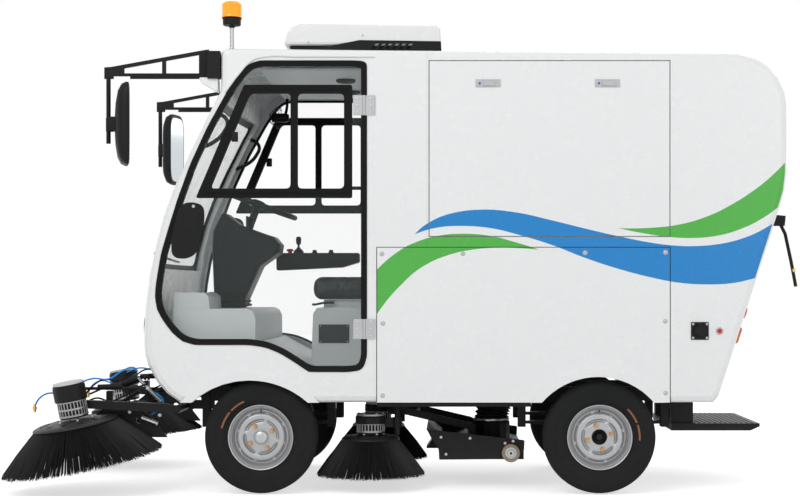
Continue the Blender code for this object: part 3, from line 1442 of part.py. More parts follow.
def build_knuckles():
    """Steering knuckles with brake drum and spindle."""
    x = WHEELBASE_FRONT_X
    for label, side in SIDES:
        top = (x, side * KINGPIN_Y, AXLE_Z + BOSS_HALF_HEIGHT)
        boss = rod("Boss", (x, side * KINGPIN_Y, AXLE_Z - BOSS_HALF_HEIGHT), top, BOSS_RADIUS)
        start = (x, side * KINGPIN_Y, AXLE_Z)
        spindle = rod("Spindle", start, (x, side * spindle_end(), AXLE_Z), SPINDLE_RADIUS)
        drum = rod("Drum", (x, side * DRUM_NEAR_Y, AXLE_Z), (x, side * DRUM_FAR_Y, AXLE_Z), DRUM_RADIUS)
        join(boss, spindle, drum)
        show(boss, f"knuckle_{label}", "cast_steel", (x, side * KINGPIN_Y, AXLE_Z))


def build_rear_axle():
    """Driven rear axle with its housing, drums and leaf springs."""
    x = WHEELBASE_REAR_X
    axle = rod("Axle", (x, -DRUM_NEAR_Y - SINK, AXLE_Z), (x, DRUM_NEAR_Y + SINK, AXLE_Z), TUBE_RADIUS)
    diff = DIFF_RADIUS
    bell = [
        (0.0, diff * 1.1), (diff * 0.5, diff), (diff * 0.9, diff * 0.5), (diff, 0.0),
        (diff * 0.9, -diff * 0.5), (diff * 0.5, -diff), (0.0, -diff * 1.1),
    ]
    join(axle, turned("Housing", bell, (x, 0.0, AXLE_Z), (0.0, 1.0, 0.0), HOUSING_STEPS))
    for _, side in SIDES:
        drum = rod("Drum", (x, side * DRUM_NEAR_Y, AXLE_Z), (x, side * DRUM_FAR_Y, AXLE_Z), DRUM_RADIUS)
        start = (x, side * (DRUM_FAR_Y - SINK), AXLE_Z)
        spindle = rod("Spindle", start, (x, side * spindle_end(), AXLE_Z), SPINDLE_RADIUS)
        seat = SINK - (TUBE_RADIUS - AXLE_BEAM_HALF_HEIGHT)
        join(axle, drum, spindle, spring(x, REAR_SPRING_HALF_LENGTH, side, seat))
    show(axle, "rear_axle", "black_paint")


def rail_low_z():
    """Underside of the frame rails."""
    return RAIL_TOP_Z - RAIL_HEIGHT


def spring_hangers():
    """Pairs of plates that hold the spring eyes under the rails."""
    plates = []
    springs = (
        (WHEELBASE_FRONT_X, FRONT_SPRING_HALF_LENGTH),
        (WHEELBASE_REAR_X, REAR_SPRING_HALF_LENGTH),
    )
    for axle_x, length in springs:
        for way in (-1.0, 1.0):
            x = axle_x + way * length
            half = SPRING_EYE_RADIUS * 1.4
            for _, side in SIDES:
                for edge in (-1.0, 1.0):
                    inner = RAIL_Y + edge * (SPRING_LEAF_WIDTH / 2 + FIT_GAP)
                    outer = inner + edge * HANGER_THICKNESS
                    plates.append(
                        box_between(
                            "Hanger", x - half, x + half, side, inner, outer,
                            SPRING_EYE_Z - half, RAIL_TOP_Z - RAIL_HEIGHT / 2
                        )
                    )
    return plates


def brush_brackets():
    """Front tubes that carry the pivots of the side brush arms."""
    pieces = []
    radius = BRUSH_PIVOT_RADIUS
    for _, side in SIDES:
        inner = side * (RAIL_Y - RAIL_WIDTH / 2)
        end = side * (BRUSH_PIVOT_Y - FIT_GAP)
        start = (BRUSH_PIVOT_X, inner, BRUSH_PIVOT_Z)
        pieces.append(rod("PivotTube", start, (BRUSH_PIVOT_X, end, BRUSH_PIVOT_Z), radius))
        pieces.append(
            box_between(
                "PivotPlate", RAIL_FRONT_X - CROSS_WIDTH, BRUSH_PIVOT_X + radius * 0.8, side,
                RAIL_Y - RAIL_WIDTH / 2, RAIL_Y + RAIL_WIDTH / 2,
                BRUSH_PIVOT_Z - radius * 0.8, rail_low_z() + SINK
            )
        )
    return pieces


def mid_posts():
    """Outriggers with the posts that the middle brushes slide on."""
    pieces = []
    top = rail_low_z() + RAIL_HEIGHT / 2
    low = mid_height(MID_BRUSH_DEPTH + DISC_THICKNESS)
    for _, side in SIDES:
        pieces.append(
            box_between(
                "Outrigger", POST_X - POST_RADIUS * 1.5, POST_X + POST_RADIUS * 1.5, side,
                RAIL_Y, MID_BRUSH_Y + POST_RADIUS * 1.5, top, top + CROSS_HEIGHT / 2
            )
        )
        start = (POST_X, side * MID_BRUSH_Y, low)
        pieces.append(rod("Post", start, (POST_X, side * MID_BRUSH_Y, top + SINK), POST_RADIUS))
    return pieces


def link_brackets():
    """Plates under the rails that carry the nozzle link's front pins."""
    pieces = []
    half = LINK_HALF_HEIGHT * 1.3
    for _, side in SIDES:
        near = LINK_Y + LINK_WIDTH + FIT_GAP
        pieces.append(
            box_between(
                "LinkPlate", LINK_FRONT_X - half, LINK_FRONT_X + half, side, near,
                near + BRACKET_THICKNESS, LINK_FRONT_Z - half, RAIL_TOP_Z - RAIL_HEIGHT / 3
            )
        )
        pieces.append(
            box_between(
                "LinkFoot", LINK_FRONT_X - half, LINK_FRONT_X + half, side, near,
                RAIL_Y, rail_low_z() + SINK, RAIL_TOP_Z - RAIL_HEIGHT / 3
            )
        )
    return pieces


def build_chassis():
    """Two rails with cross members, body mounts, spring hangers and brackets."""
    half = RAIL_WIDTH / 2
    low = rail_low_z()
    frame = box("Rail", (RAIL_REAR_X, RAIL_Y - half, low), (RAIL_FRONT_X, RAIL_Y + half, RAIL_TOP_Z))
    pieces = [box("Rail", (RAIL_REAR_X, -RAIL_Y - half, low), (RAIL_FRONT_X, half - RAIL_Y, RAIL_TOP_Z))]
    for x in CROSS_PLACES_X:
        z = RAIL_TOP_Z - (RAIL_HEIGHT - CROSS_HEIGHT) / 2
        start = (x - CROSS_WIDTH / 2, -RAIL_Y, z - CROSS_HEIGHT)
        pieces.append(box("Cross", start, (x + CROSS_WIDTH / 2, RAIL_Y, z)))
    mounts = [(CAB_MOUNT_X, FLOOR_LOW_Z - FLOOR_THICKNESS)]
    mounts += [(x, LOAD_FLOOR_Z) for x in BODY_MOUNTS_X]
    for x, high in mounts:
        for _, side in SIDES:
            start = (x - half, side * RAIL_Y - half, RAIL_TOP_Z - SINK)
            pieces.append(box("Mount", start, (x + half, side * RAIL_Y + half, high - FIT_GAP)))
    pieces += spring_hangers() + brush_brackets() + mid_posts() + link_brackets()
    show(join(frame, *pieces), "chassis_frame", "black_paint")


def brush_profile(radius, depth, shaft_top):
    """Disc, bristle skirt and shaft of a brush, in its own heights above the bristle tips."""
    disc = depth + DISC_THICKNESS
    profile = [(0.0, shaft_top), (SHAFT_RADIUS, shaft_top), (SHAFT_RADIUS, disc), (radius * 0.45, disc)]
    return profile + [(radius * r, depth * z) for r, z in BRUSH_SHARES]


def front_brush_frame(side):
    """Centre of the bristle tips and the direction of the shaft of a front brush."""
    axis = Vector((
        math.tan(math.radians(FRONT_TILT_DEG)),
        side * math.tan(math.radians(FRONT_SIDE_TILT_DEG)),
        1.0,
    )).normalized()
    return Vector((FRONT_BRUSH_X, side * FRONT_BRUSH_Y, FRONT_BRUSH_Z)), axis


def motor_profile(low, body_length, cap_length):
    """Hydraulic motor with its cap above."""
    middle = low + body_length
    high = middle + cap_length
    lip = MOTOR_CAP_RADIUS - MOTOR_RADIUS
    return [
        (0.0, high), (MOTOR_CAP_RADIUS * 0.8, high), (MOTOR_CAP_RADIUS, high - lip * 2),
        (MOTOR_CAP_RADIUS, middle), (MOTOR_RADIUS, middle), (MOTOR_RADIUS, low), (0.0, low),
    ]


def build_front_brushes():
    """Front side brushes with the lifting arms that hold their motors."""
    shaft_top = FRONT_BRUSH_DEPTH + DISC_THICKNESS * 2
    for label, side in SIDES:
        tip, axis = front_brush_frame(side)
        profile = brush_profile(FRONT_BRUSH_RADIUS, FRONT_BRUSH_DEPTH, shaft_top)
        show(turned("Brush", profile, tip, axis, BRUSH_STEPS), f"front_brush_{label}", "bristle", tip)
        motor_low = shaft_top + FIT_GAP
        motor = turned("Motor", motor_profile(motor_low, MOTOR_LENGTH, MOTOR_CAP_LENGTH), tip, axis)
        pivot = Vector((BRUSH_PIVOT_X, side * BRUSH_PIVOT_Y, BRUSH_PIVOT_Z))
        arm_y = side * (FRONT_BRUSH_Y - MOTOR_RADIUS / 2)
        hub = rod("ArmTube", pivot, (pivot.x, arm_y + side * ARM_HALF_WIDTH, pivot.z), BRUSH_PIVOT_RADIUS)
        grip = tip + axis * (motor_low + MOTOR_LENGTH * 0.75)
        high = ARM_HALF_HEIGHT
        outline = [
            (pivot.x, pivot.z - high * 0.8), (grip.x, grip.z - high), (grip.x, grip.z + high),
            (pivot.x + high * 3, pivot.z + high * 1.4), (pivot.x, pivot.z + high * 0.8),
        ]
        half = side * ARM_HALF_WIDTH
        beam = outline_prism("ArmBeam", outline, arm_y - half, arm_y + half)
        show(join(motor, hub, beam), f"front_arm_{label}", "black_paint", pivot)


def mid_height(above_tips):
    """Height above the middle brushes' bristle tips, in the vehicle."""
    return MID_BRUSH_Z + above_tips


def build_mid_brushes():
    """Middle brushes with the arms that slide down on the frame's posts."""
    shaft_top = MID_BRUSH_DEPTH + DISC_THICKNESS * 1.5
    for label, side in SIDES:
        tip = Vector((MID_BRUSH_X, side * MID_BRUSH_Y, MID_BRUSH_Z))
        up = Vector((0.0, 0.0, 1.0))
        profile = brush_profile(MID_BRUSH_RADIUS, MID_BRUSH_DEPTH, shaft_top)
        show(turned("Brush", profile, tip, up, BRUSH_STEPS), f"mid_brush_{label}", "bristle", tip)
        motor_low = shaft_top + FIT_GAP
        half = MID_MOTOR_LENGTH / 2
        motor = turned("Motor", motor_profile(motor_low, half, half), tip, up)
        low = mid_height(motor_low + MID_MOTOR_LENGTH * 0.3)
        high = mid_height(motor_low + MID_MOTOR_LENGTH * 0.8)
        sleeve_radius = POST_RADIUS * 1.8
        post = (POST_X, side * MID_BRUSH_Y)
        sleeve = rod("Sleeve", (*post, low), (*post, high), sleeve_radius)
        web = box_between(
            "Web", POST_X, MID_BRUSH_X, side, MID_BRUSH_Y - sleeve_radius * 0.6,
            MID_BRUSH_Y + sleeve_radius * 0.6, low + SINK, high - SINK
        )
        join(motor, sleeve, web)
        bore = rod("Bore", (*post, low - OVERRUN), (*post, high + OVERRUN), POST_RADIUS + SPIN_GAP)
        cut(motor, bore)
        show(motor, f"mid_arm_{label}", "black_paint", tip + up * motor_low)


def build_nozzle():
    """Suction nozzle, open below, with its collar, link lugs and wheel forks."""
    depth = NOZZLE_FRONT_X - NOZZLE_REAR_X
    slope = depth * NOZZLE_SLOPE_SHARE
    high_z = NOZZLE_HIGH_Z
    low_z = NOZZLE_LOW_Z
    outline = [
        (NOZZLE_FRONT_X, low_z), (NOZZLE_FRONT_X, low_z + NOZZLE_WALL * 3), (NOZZLE_FRONT_X - slope, high_z),
        (NOZZLE_REAR_X + slope, high_z), (NOZZLE_REAR_X, low_z + NOZZLE_WALL * 4), (NOZZLE_REAR_X, low_z),
    ]
    wide = NOZZLE_HALF_WIDTH
    nozzle = outline_prism("Nozzle", outline, -wide, wide)
    tongue = [
        (NOZZLE_FRONT_X - NOZZLE_WALL, low_z + NOZZLE_WALL * 2),
        (NOZZLE_FRONT_X + NOZZLE_TONGUE_REACH, low_z + NOZZLE_WALL * 2),
        (NOZZLE_FRONT_X + NOZZLE_TONGUE_REACH * 0.6, low_z + NOZZLE_WALL * 6),
        (NOZZLE_FRONT_X - slope / 2, low_z + NOZZLE_WALL * 6),
    ]
    join(nozzle, outline_prism("Tongue", tongue, -NOZZLE_TONGUE_HALF_WIDTH, NOZZLE_TONGUE_HALF_WIDTH))
    collar_foot = (HOSE_LOW_X, 0.0, high_z - NOZZLE_WALL * 2)
    join(nozzle, rod("Collar", collar_foot, (HOSE_LOW_X, 0.0, COLLAR_Z), HOSE_RADIUS + NOZZLE_WALL))
    for _, side in SIDES:
        lug = box_between(
            "LinkLug", LINK_REAR_X - LINK_HALF_HEIGHT, LINK_REAR_X + LINK_HALF_HEIGHT, side,
            LINK_Y - FIT_GAP, LINK_Y - BRACKET_THICKNESS, high_z - NOZZLE_WALL, LINK_REAR_Z + LINK_PIN_RADIUS
        )
        join(nozzle, lug)
    hollow = inset(outline, NOZZLE_WALL)
    low_hollow = [(x, z if z > low_z + NOZZLE_WALL * 1.5 else low_z - OVERRUN) for x, z in hollow]
    inner = wide - NOZZLE_WALL
    cut(nozzle, outline_prism("Hollow", low_hollow, -inner, inner))
    throat = (HOSE_LOW_X, 0.0, COLLAR_Z + OVERRUN)
    cut(nozzle, rod("Throat", (HOSE_LOW_X, 0.0, high_z - OVERRUN), throat, HOSE_RADIUS - HOSE_WALL))
    for _, side in SIDES:
        for piece in wheel_fork(side):
            join(nozzle, piece)
    show(nozzle, "suction_nozzle", "black_paint", (LINK_REAR_X, 0.0, LINK_REAR_Z))


def nozzle_wheel_y(side):
    """Middle plane of a nozzle wheel."""
    return side * (NOZZLE_HALF_WIDTH + NOZZLE_WHEEL_WIDTH / 2 + SHUT_GAP)


def nozzle_wheel_z():
    """Axle height of the nozzle wheels."""
    return NOZZLE_LOW_Z - NOZZLE_WALL + NOZZLE_WHEEL_RADIUS


def wheel_fork(side):
    """Axle pin of a nozzle wheel on the nozzle's side."""
    z = nozzle_wheel_z()
    start = (NOZZLE_WHEEL_X, side * (NOZZLE_HALF_WIDTH - SINK), z)
    end_y = nozzle_wheel_y(side) + side * (NOZZLE_WHEEL_WIDTH / 2 + PIN_END_LENGTH)
    return [rod("Pin", start, (NOZZLE_WHEEL_X, end_y, z), AXLE_PIN_RADIUS, SMALL_STEPS)]


def build_nozzle_wheels():
    """Small wheels that carry the lowered nozzle."""
    half = NOZZLE_WHEEL_WIDTH / 2
    radius = NOZZLE_WHEEL_RADIUS
    bore = AXLE_PIN_RADIUS + SPIN_GAP
    for label, side in SIDES:
        centre = (NOZZLE_WHEEL_X, nozzle_wheel_y(side), nozzle_wheel_z())
        loop = [(bore, half), (radius * 0.9, half), (radius, half * 0.7), (radius, -half * 0.7)]
        loop += [(radius * 0.9, -half), (bore, -half)]
        wheel = turned("Wheel", loop, centre, (0.0, side, 0.0))
        show(wheel, f"nozzle_wheel_{label}", "black_rubber", centre)


def build_nozzle_link():
    """Pair of links joined by a cross tube, from the frame down to the nozzle."""
    start = Vector((LINK_FRONT_X, 0.0, LINK_FRONT_Z))
    end = Vector((LINK_REAR_X, 0.0, LINK_REAR_Z))
    along = (end - start).normalized()
    upright = Vector((-along.z, 0.0, along.x)) * LINK_HALF_HEIGHT
    corners = [start + upright, end + upright, end - upright, start - upright]
    corners = [(corner.x, corner.z) for corner in corners]
    near = LINK_Y
    link = None
    for _, side in SIDES:
        bar = outline_prism("Link", corners, side * near, side * (near + LINK_WIDTH))
        for place in (start, end):
            eye = rod(
                "Eye", (place.x, side * near, place.z), (place.x, side * (near + LINK_WIDTH), place.z),
                LINK_HALF_HEIGHT, SMALL_STEPS
            )
            join(bar, eye)
        link = bar if link is None else join(link, apply_modifiers(bar))
    third = start.lerp(end, 0.3)
    wide = near + SINK
    cross = rod("CrossTube", (third.x, -wide, third.z), (third.x, wide, third.z), LINK_PIN_RADIUS)
    join(link, cross)
    show(link, "nozzle_link", "black_paint", start)


def build_hose():
    """Ribbed suction hose from the nozzle's collar up to the load floor."""
    low = COLLAR_Z + FIT_GAP
    high = LOAD_FLOOR_Z - FIT_GAP
    rings = HOSE_RING_COUNT
    shape = bmesh.new()
    loops = []
    for i in range(rings * 2 + 1):
        share = i / (rings * 2)
        ease = share * share * (3 - 2 * share)
        x = HOSE_LOW_X + (HOSE_HIGH_X - HOSE_LOW_X) * ease
        z = low + (high - low) * share
        radius = HOSE_RADIUS if i % 2 else HOSE_RADIUS + HOSE_WALL
        loop = []
        for step in range(ROUND_STEPS):
            angle = 2 * math.pi * step / ROUND_STEPS
            loop.append(shape.verts.new((x + radius * math.cos(angle), radius * math.sin(angle), z)))
        loops.append(loop)
    for near, far in zip(loops, loops[1:]):
        for step in range(ROUND_STEPS):
            shape.faces.new((near[step - 1], near[step], far[step], far[step - 1]))
    shape.faces.new(loops[0])
    shape.faces.new(loops[-1])
    bmesh.ops.recalc_face_normals(shape, faces=shape.faces)
    hose = place_mesh("Hose", shape, Matrix.Identity(4))
    show(hose, "suction_hose", "black_rubber")


def main():
    """Build every piece of the sweeper."""
    build_chassis()
    build_front_axle()
    build_rear_axle()
    build_knuckles()
    build_wheels()
    build_cab_shell()
    build_body_shell()
    build_side_panels()
    build_service_doors()
    build_rear_hatch()
    build_cab_doors()
    build_windscreen()
    build_headlamps()
    build_cab_floor()
    build_dash()
    build_steering()
    build_control_panel()
    build_seat()
    build_battery()
    build_roof_unit()
    build_beacon()
    build_mirrors()
    build_front_brushes()
    build_mid_brushes()
    build_nozzle()
    build_nozzle_wheels()
    build_nozzle_link()
    build_hose()
    build_step()
    build_lance()


main()
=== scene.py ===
"""Compact street sweeper, dressed over its CAD frame: body, cab, wheels, brushes and suction gear."""

import json
import logging
import math
import random
from collections.abc import Callable, Iterable, Sequence
from dataclasses import dataclass
from enum import Enum

import bpy
from mathutils import Matrix, Vector

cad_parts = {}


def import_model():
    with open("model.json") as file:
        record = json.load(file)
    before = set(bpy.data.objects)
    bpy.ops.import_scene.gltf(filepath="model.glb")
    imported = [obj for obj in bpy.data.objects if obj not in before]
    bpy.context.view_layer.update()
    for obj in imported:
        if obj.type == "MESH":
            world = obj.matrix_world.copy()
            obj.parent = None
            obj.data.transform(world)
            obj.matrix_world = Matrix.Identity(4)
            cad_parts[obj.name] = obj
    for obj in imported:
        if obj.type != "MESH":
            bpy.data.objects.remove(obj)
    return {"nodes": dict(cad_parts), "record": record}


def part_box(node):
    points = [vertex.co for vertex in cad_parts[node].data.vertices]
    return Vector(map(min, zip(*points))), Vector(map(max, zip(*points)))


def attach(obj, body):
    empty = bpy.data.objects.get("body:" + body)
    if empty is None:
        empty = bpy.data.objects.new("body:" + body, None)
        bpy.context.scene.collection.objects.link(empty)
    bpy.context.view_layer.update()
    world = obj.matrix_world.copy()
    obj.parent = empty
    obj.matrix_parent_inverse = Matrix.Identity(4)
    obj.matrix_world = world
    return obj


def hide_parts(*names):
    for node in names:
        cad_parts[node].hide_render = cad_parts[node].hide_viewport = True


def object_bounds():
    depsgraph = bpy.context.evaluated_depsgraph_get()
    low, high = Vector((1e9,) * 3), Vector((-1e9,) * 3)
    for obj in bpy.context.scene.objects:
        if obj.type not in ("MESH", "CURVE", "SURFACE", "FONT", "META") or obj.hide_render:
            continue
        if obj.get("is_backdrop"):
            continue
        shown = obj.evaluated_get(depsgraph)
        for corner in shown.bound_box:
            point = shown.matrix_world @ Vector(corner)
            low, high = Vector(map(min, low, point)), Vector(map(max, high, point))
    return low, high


Color = tuple[float, float, float]
Point = tuple[float, float, float]
Flat = tuple[float, float]
Tree = bpy.types.NodeTree
Node = bpy.types.Node
Socket = bpy.types.NodeSocket
Piece = bpy.types.Object

LOG = logging.getLogger("sweeper")

ORIGIN: Point = (0.0, 0.0, 0.0)
AHEAD: Point = (1.0, 0.0, 0.0)
LEFT: Point = (0.0, 1.0, 0.0)
UP: Point = (0.0, 0.0, 1.0)

SIDES: tuple[tuple[str, float], ...] = (("left", 1.0), ("right", -1.0))
ENDS: tuple[tuple[str, float], ...] = (("front", 0.6805), ("rear", -0.9545))


@dataclass(frozen=True)
class SideView:
    """The grid in which places on the side view are measured."""

    pixel_x: float = 450.0
    pixel_y: float = 297.0
    eye: Point = (-0.2325, 8.1, 0.953)
    focal: float = 1541.7

    def at(self, x: float, y: float, across: float = 0.7) -> Flat:
        """Give the place of a pixel on a plane of the side view.

        Args:
            x: Pixel column.
            y: Pixel row.
            across: The plane's distance to the left of the middle.

        Returns:
            Forward and upward coordinates in metres.
        """
        unit = (self.eye[1] - across) / self.focal
        return (self.eye[0] + (self.pixel_x - x) * unit, self.eye[2] - (y - self.pixel_y) * unit)

    def spot(self, x: float, y: float, across: float) -> Point:
        """Give the point in space where a pixel's line meets a plane of the side view."""
        forward, up = self.at(x, y, across)
        return (forward, across, up)


VIEW = SideView()


class GroupName(Enum):
    """Shared shader effects."""

    SOIL = "soiled_tone"
    GRAIN = "surface_grain"
    HIDE = "hide_grain"
    BANDS = "wave_bands"


def group_tree(
    name: GroupName, inputs: Sequence[tuple[str, str, object]], outputs: Sequence[tuple[str, str]]
) -> tuple[Tree, Node, Node]:
    """Start a node group with named sockets.

    Args:
        name: Which shared effect it is.
        inputs: Name, socket type and default of each input.
        outputs: Name and socket type of each output.

    Returns:
        The tree with its input and output nodes.
    """
    tree = bpy.data.node_groups.new(name.value, "ShaderNodeTree")
    for label, kind, default in inputs:
        socket = tree.interface.new_socket(label, in_out="INPUT", socket_type=kind)
        socket.default_value = default
    for label, kind in outputs:
        tree.interface.new_socket(label, in_out="OUTPUT", socket_type=kind)
    return tree, tree.nodes.new("NodeGroupInput"), tree.nodes.new("NodeGroupOutput")


def math_node(
    tree: Tree, operation: str, first: Socket | float, second: Socket | float | None = None,
    clamp: bool = False,
) -> Socket:
    """Add a Math node.

    Args:
        tree: Node tree that gets it.
        operation: Name of the operation.
        first: Socket or number.
        second: Socket or number, where the operation has two.
        clamp: Whether the result stays between 0 and 1.

    Returns:
        Its output socket.
    """
    node = tree.nodes.new("ShaderNodeMath")
    node.operation = operation
    node.use_clamp = clamp
    for i, value in enumerate((first, second)):
        if value is None:
            continue
        if isinstance(value, (int, float)):
            node.inputs[i].default_value = value
        else:
            tree.links.new(value, node.inputs[i])
    return node.outputs[0]


def mix_node(tree: Tree, factor: Socket, first: Socket | Color, second: Socket | Color) -> Socket:
    """Mix two colours.

    Args:
        tree: Node tree that gets it.
        factor: Socket with the share of the second colour.
        first: Socket or colour.
        second: Socket or colour.

    Returns:
        Its colour output socket.
    """
    node = tree.nodes.new("ShaderNodeMix")
    node.data_type = "RGBA"
    tree.links.new(factor, node.inputs[0])
    for socket, value in ((node.inputs[6], first), (node.inputs[7], second)):
        if isinstance(value, tuple):
            socket.default_value = (*value, 1.0)
        else:
            tree.links.new(value, socket)
    return node.outputs[2]


def place_node(tree: Tree) -> tuple[Socket, Socket, Socket, Socket]:
    """Add the piece's own coordinates and split them.

    Args:
        tree: Node tree that gets them.

    Returns:
        The vector socket, and its X, Y and Z sockets.
    """
    coordinate = tree.nodes.new("ShaderNodeTexCoord").outputs["Object"]
    split = tree.nodes.new("ShaderNodeSeparateXYZ")
    tree.links.new(coordinate, split.inputs[0])
    return coordinate, split.outputs[0], split.outputs[1], split.outputs[2]


def noise_node(
    tree: Tree, coordinate: Socket, scale: Socket | float, detail: float = 3.0, rough: float = 0.55
) -> Socket:
    """Add a noise texture and give its value socket."""
    node = tree.nodes.new("ShaderNodeTexNoise")
    node.inputs["Detail"].default_value = detail
    node.inputs["Roughness"].default_value = rough
    tree.links.new(coordinate, node.inputs["Vector"])
    if isinstance(scale, (int, float)):
        node.inputs["Scale"].default_value = scale
    else:
        tree.links.new(scale, node.inputs["Scale"])
    return node.outputs["Fac"]


def soil_group() -> Tree:
    """Build the effect that lays road dust low on a piece, in patches."""
    sockets = [
        ("Base", "NodeSocketColor", (0.8, 0.8, 0.8, 1.0)),
        ("Soil", "NodeSocketColor", (0.28, 0.25, 0.21, 1.0)),
        ("Amount", "NodeSocketFloat", 0.3),
        ("Fade Height", "NodeSocketFloat", 0.8),
        ("Patch Scale", "NodeSocketFloat", 6.0),
        ("Clean Roughness", "NodeSocketFloat", 0.4),
    ]
    outputs = [("Color", "NodeSocketColor"), ("Roughness", "NodeSocketFloat"), ("Mask", "NodeSocketFloat")]
    tree, given, result = group_tree(GroupName.SOIL, sockets, outputs)
    coordinate, _, _, height = place_node(tree)
    patches = noise_node(tree, coordinate, given.outputs["Patch Scale"], 6.0, 0.65)
    specks = noise_node(tree, coordinate, 160.0, 2.0)
    low = math_node(tree, "DIVIDE", height, given.outputs["Fade Height"], True)
    low = math_node(tree, "SUBTRACT", 1.0, low, True)
    uneven = math_node(tree, "MULTIPLY", patches, specks)
    uneven = math_node(tree, "MULTIPLY", uneven, 3.2)
    mask = math_node(tree, "MULTIPLY", low, uneven)
    mask = math_node(tree, "MULTIPLY", mask, given.outputs["Amount"], True)
    color = mix_node(tree, mask, given.outputs["Base"], given.outputs["Soil"])
    rough = math_node(tree, "MULTIPLY", mask, 0.35)
    tone = math_node(tree, "MULTIPLY", patches, 0.1)
    rough = math_node(tree, "ADD", rough, tone)
    rough = math_node(tree, "ADD", rough, given.outputs["Clean Roughness"], True)
    tree.links.new(color, result.inputs["Color"])
    tree.links.new(rough, result.inputs["Roughness"])
    tree.links.new(mask, result.inputs["Mask"])
    return tree


def grain_group() -> Tree:
    """Build the effect of fine uneven relief, as on paint, plastic and castings."""
    sockets = [("Scale", "NodeSocketFloat", 400.0), ("Ripple", "NodeSocketFloat", 0.3)]
    tree, given, result = group_tree(GroupName.GRAIN, sockets, [("Height", "NodeSocketFloat")])
    coordinate = place_node(tree)[0]
    fine = noise_node(tree, coordinate, given.outputs["Scale"], 2.0)
    broad = math_node(tree, "MULTIPLY", given.outputs["Scale"], 0.08)
    broad = noise_node(tree, coordinate, broad, 2.0)
    broad = math_node(tree, "MULTIPLY", broad, given.outputs["Ripple"])
    tree.links.new(math_node(tree, "ADD", fine, broad), result.inputs["Height"])
    return tree


def hide_group() -> Tree:
    """Build the pebbled effect of vinyl and moulded skin."""
    sockets = [("Scale", "NodeSocketFloat", 500.0)]
    outputs = [("Height", "NodeSocketFloat"), ("Tone", "NodeSocketFloat")]
    tree, given, result = group_tree(GroupName.HIDE, sockets, outputs)
    coordinate = place_node(tree)[0]
    cells = tree.nodes.new("ShaderNodeTexVoronoi")
    cells.feature = "SMOOTH_F1"
    cells.inputs["Smoothness"].default_value = 0.6
    tree.links.new(coordinate, cells.inputs["Vector"])
    tree.links.new(given.outputs["Scale"], cells.inputs["Scale"])
    height = math_node(tree, "SUBTRACT", 1.0, cells.outputs["Distance"])
    tree.links.new(height, result.inputs["Height"])
    tone = noise_node(tree, coordinate, 9.0, 4.0)
    tree.links.new(tone, result.inputs["Tone"])
    return tree


# Edges of the waving bands on the side view, in pixels from front to rear.
BAND_LEFT = 370.0
BAND_RIGHT = 800.0
BAND_TOP = 140.0
BAND_BOTTOM = 330.0
BLUE_TOP = (
    (414.5, 234.4), (430.6, 221.6), (451.0, 213.5), (481.6, 209.6), (514.8, 212.2), (553.0, 220.6),
    (591.3, 230.0), (622.0, 237.0), (655.0, 243.3), (675.5, 245.6), (693.4, 246.1), (718.9, 244.0),
    (744.4, 237.7), (775.0, 222.4), (798.0, 208.0),
)
BLUE_LOW = (
    (414.5, 234.4), (438.0, 227.5), (461.0, 226.0), (489.3, 228.0), (522.4, 235.9), (553.0, 245.4),
    (583.7, 257.4), (616.8, 268.4), (655.0, 278.3), (680.6, 282.9), (706.0, 284.4), (731.6, 283.2),
    (757.0, 277.6), (798.0, 266.0),
)
REAR_GREEN_TOP = (
    (618.6, 228.3), (655.0, 227.5), (680.6, 224.2), (706.0, 216.8), (731.6, 204.5), (757.0, 188.0),
    (772.4, 175.2), (787.2, 160.4), (798.0, 149.0),
)
REAR_GREEN_LOW = (
    (618.6, 228.3), (642.3, 233.1), (667.9, 236.9), (693.4, 238.0), (718.9, 235.4), (744.4, 227.5),
    (764.8, 216.8), (780.0, 205.8), (798.0, 191.0),
)
FRONT_GREEN_TOP = (
    (376.8, 269.7), (400.0, 250.3), (412.8, 243.4), (438.3, 235.7), (461.2, 233.7), (489.3, 235.7),
    (514.8, 242.0), (539.0, 249.7),
)
FRONT_GREEN_LOW = (
    (376.8, 314.4), (400.0, 286.0), (425.5, 265.0), (451.0, 254.3), (476.5, 249.2), (502.0, 247.7),
    (539.0, 249.7),
)


def curve_node(tree: Tree, along: Socket, edge: Sequence[Flat]) -> Socket:
    """Turn one edge of a band into a curve over the length of the side.

    Args:
        tree: Node tree that gets it.
        along: Socket with the share of the way from front to rear.
        edge: Pixels of the edge.

    Returns:
        Socket with the edge's height share, counted from the lower end.
    """
    node = tree.nodes.new("ShaderNodeFloatCurve")
    line = node.mapping.curves[0]
    places = [
        ((x - BAND_LEFT) / (BAND_RIGHT - BAND_LEFT), (BAND_BOTTOM - y) / (BAND_BOTTOM - BAND_TOP))
        for x, y in edge
    ]
    for i, (x, y) in enumerate(places):
        point = line.points[i] if i < 2 else line.points.new(x, y)
        point.location = (x, y)
        point.handle_type = "AUTO"
    node.mapping.update()
    tree.links.new(along, node.inputs["Value"])
    return node.outputs[0]


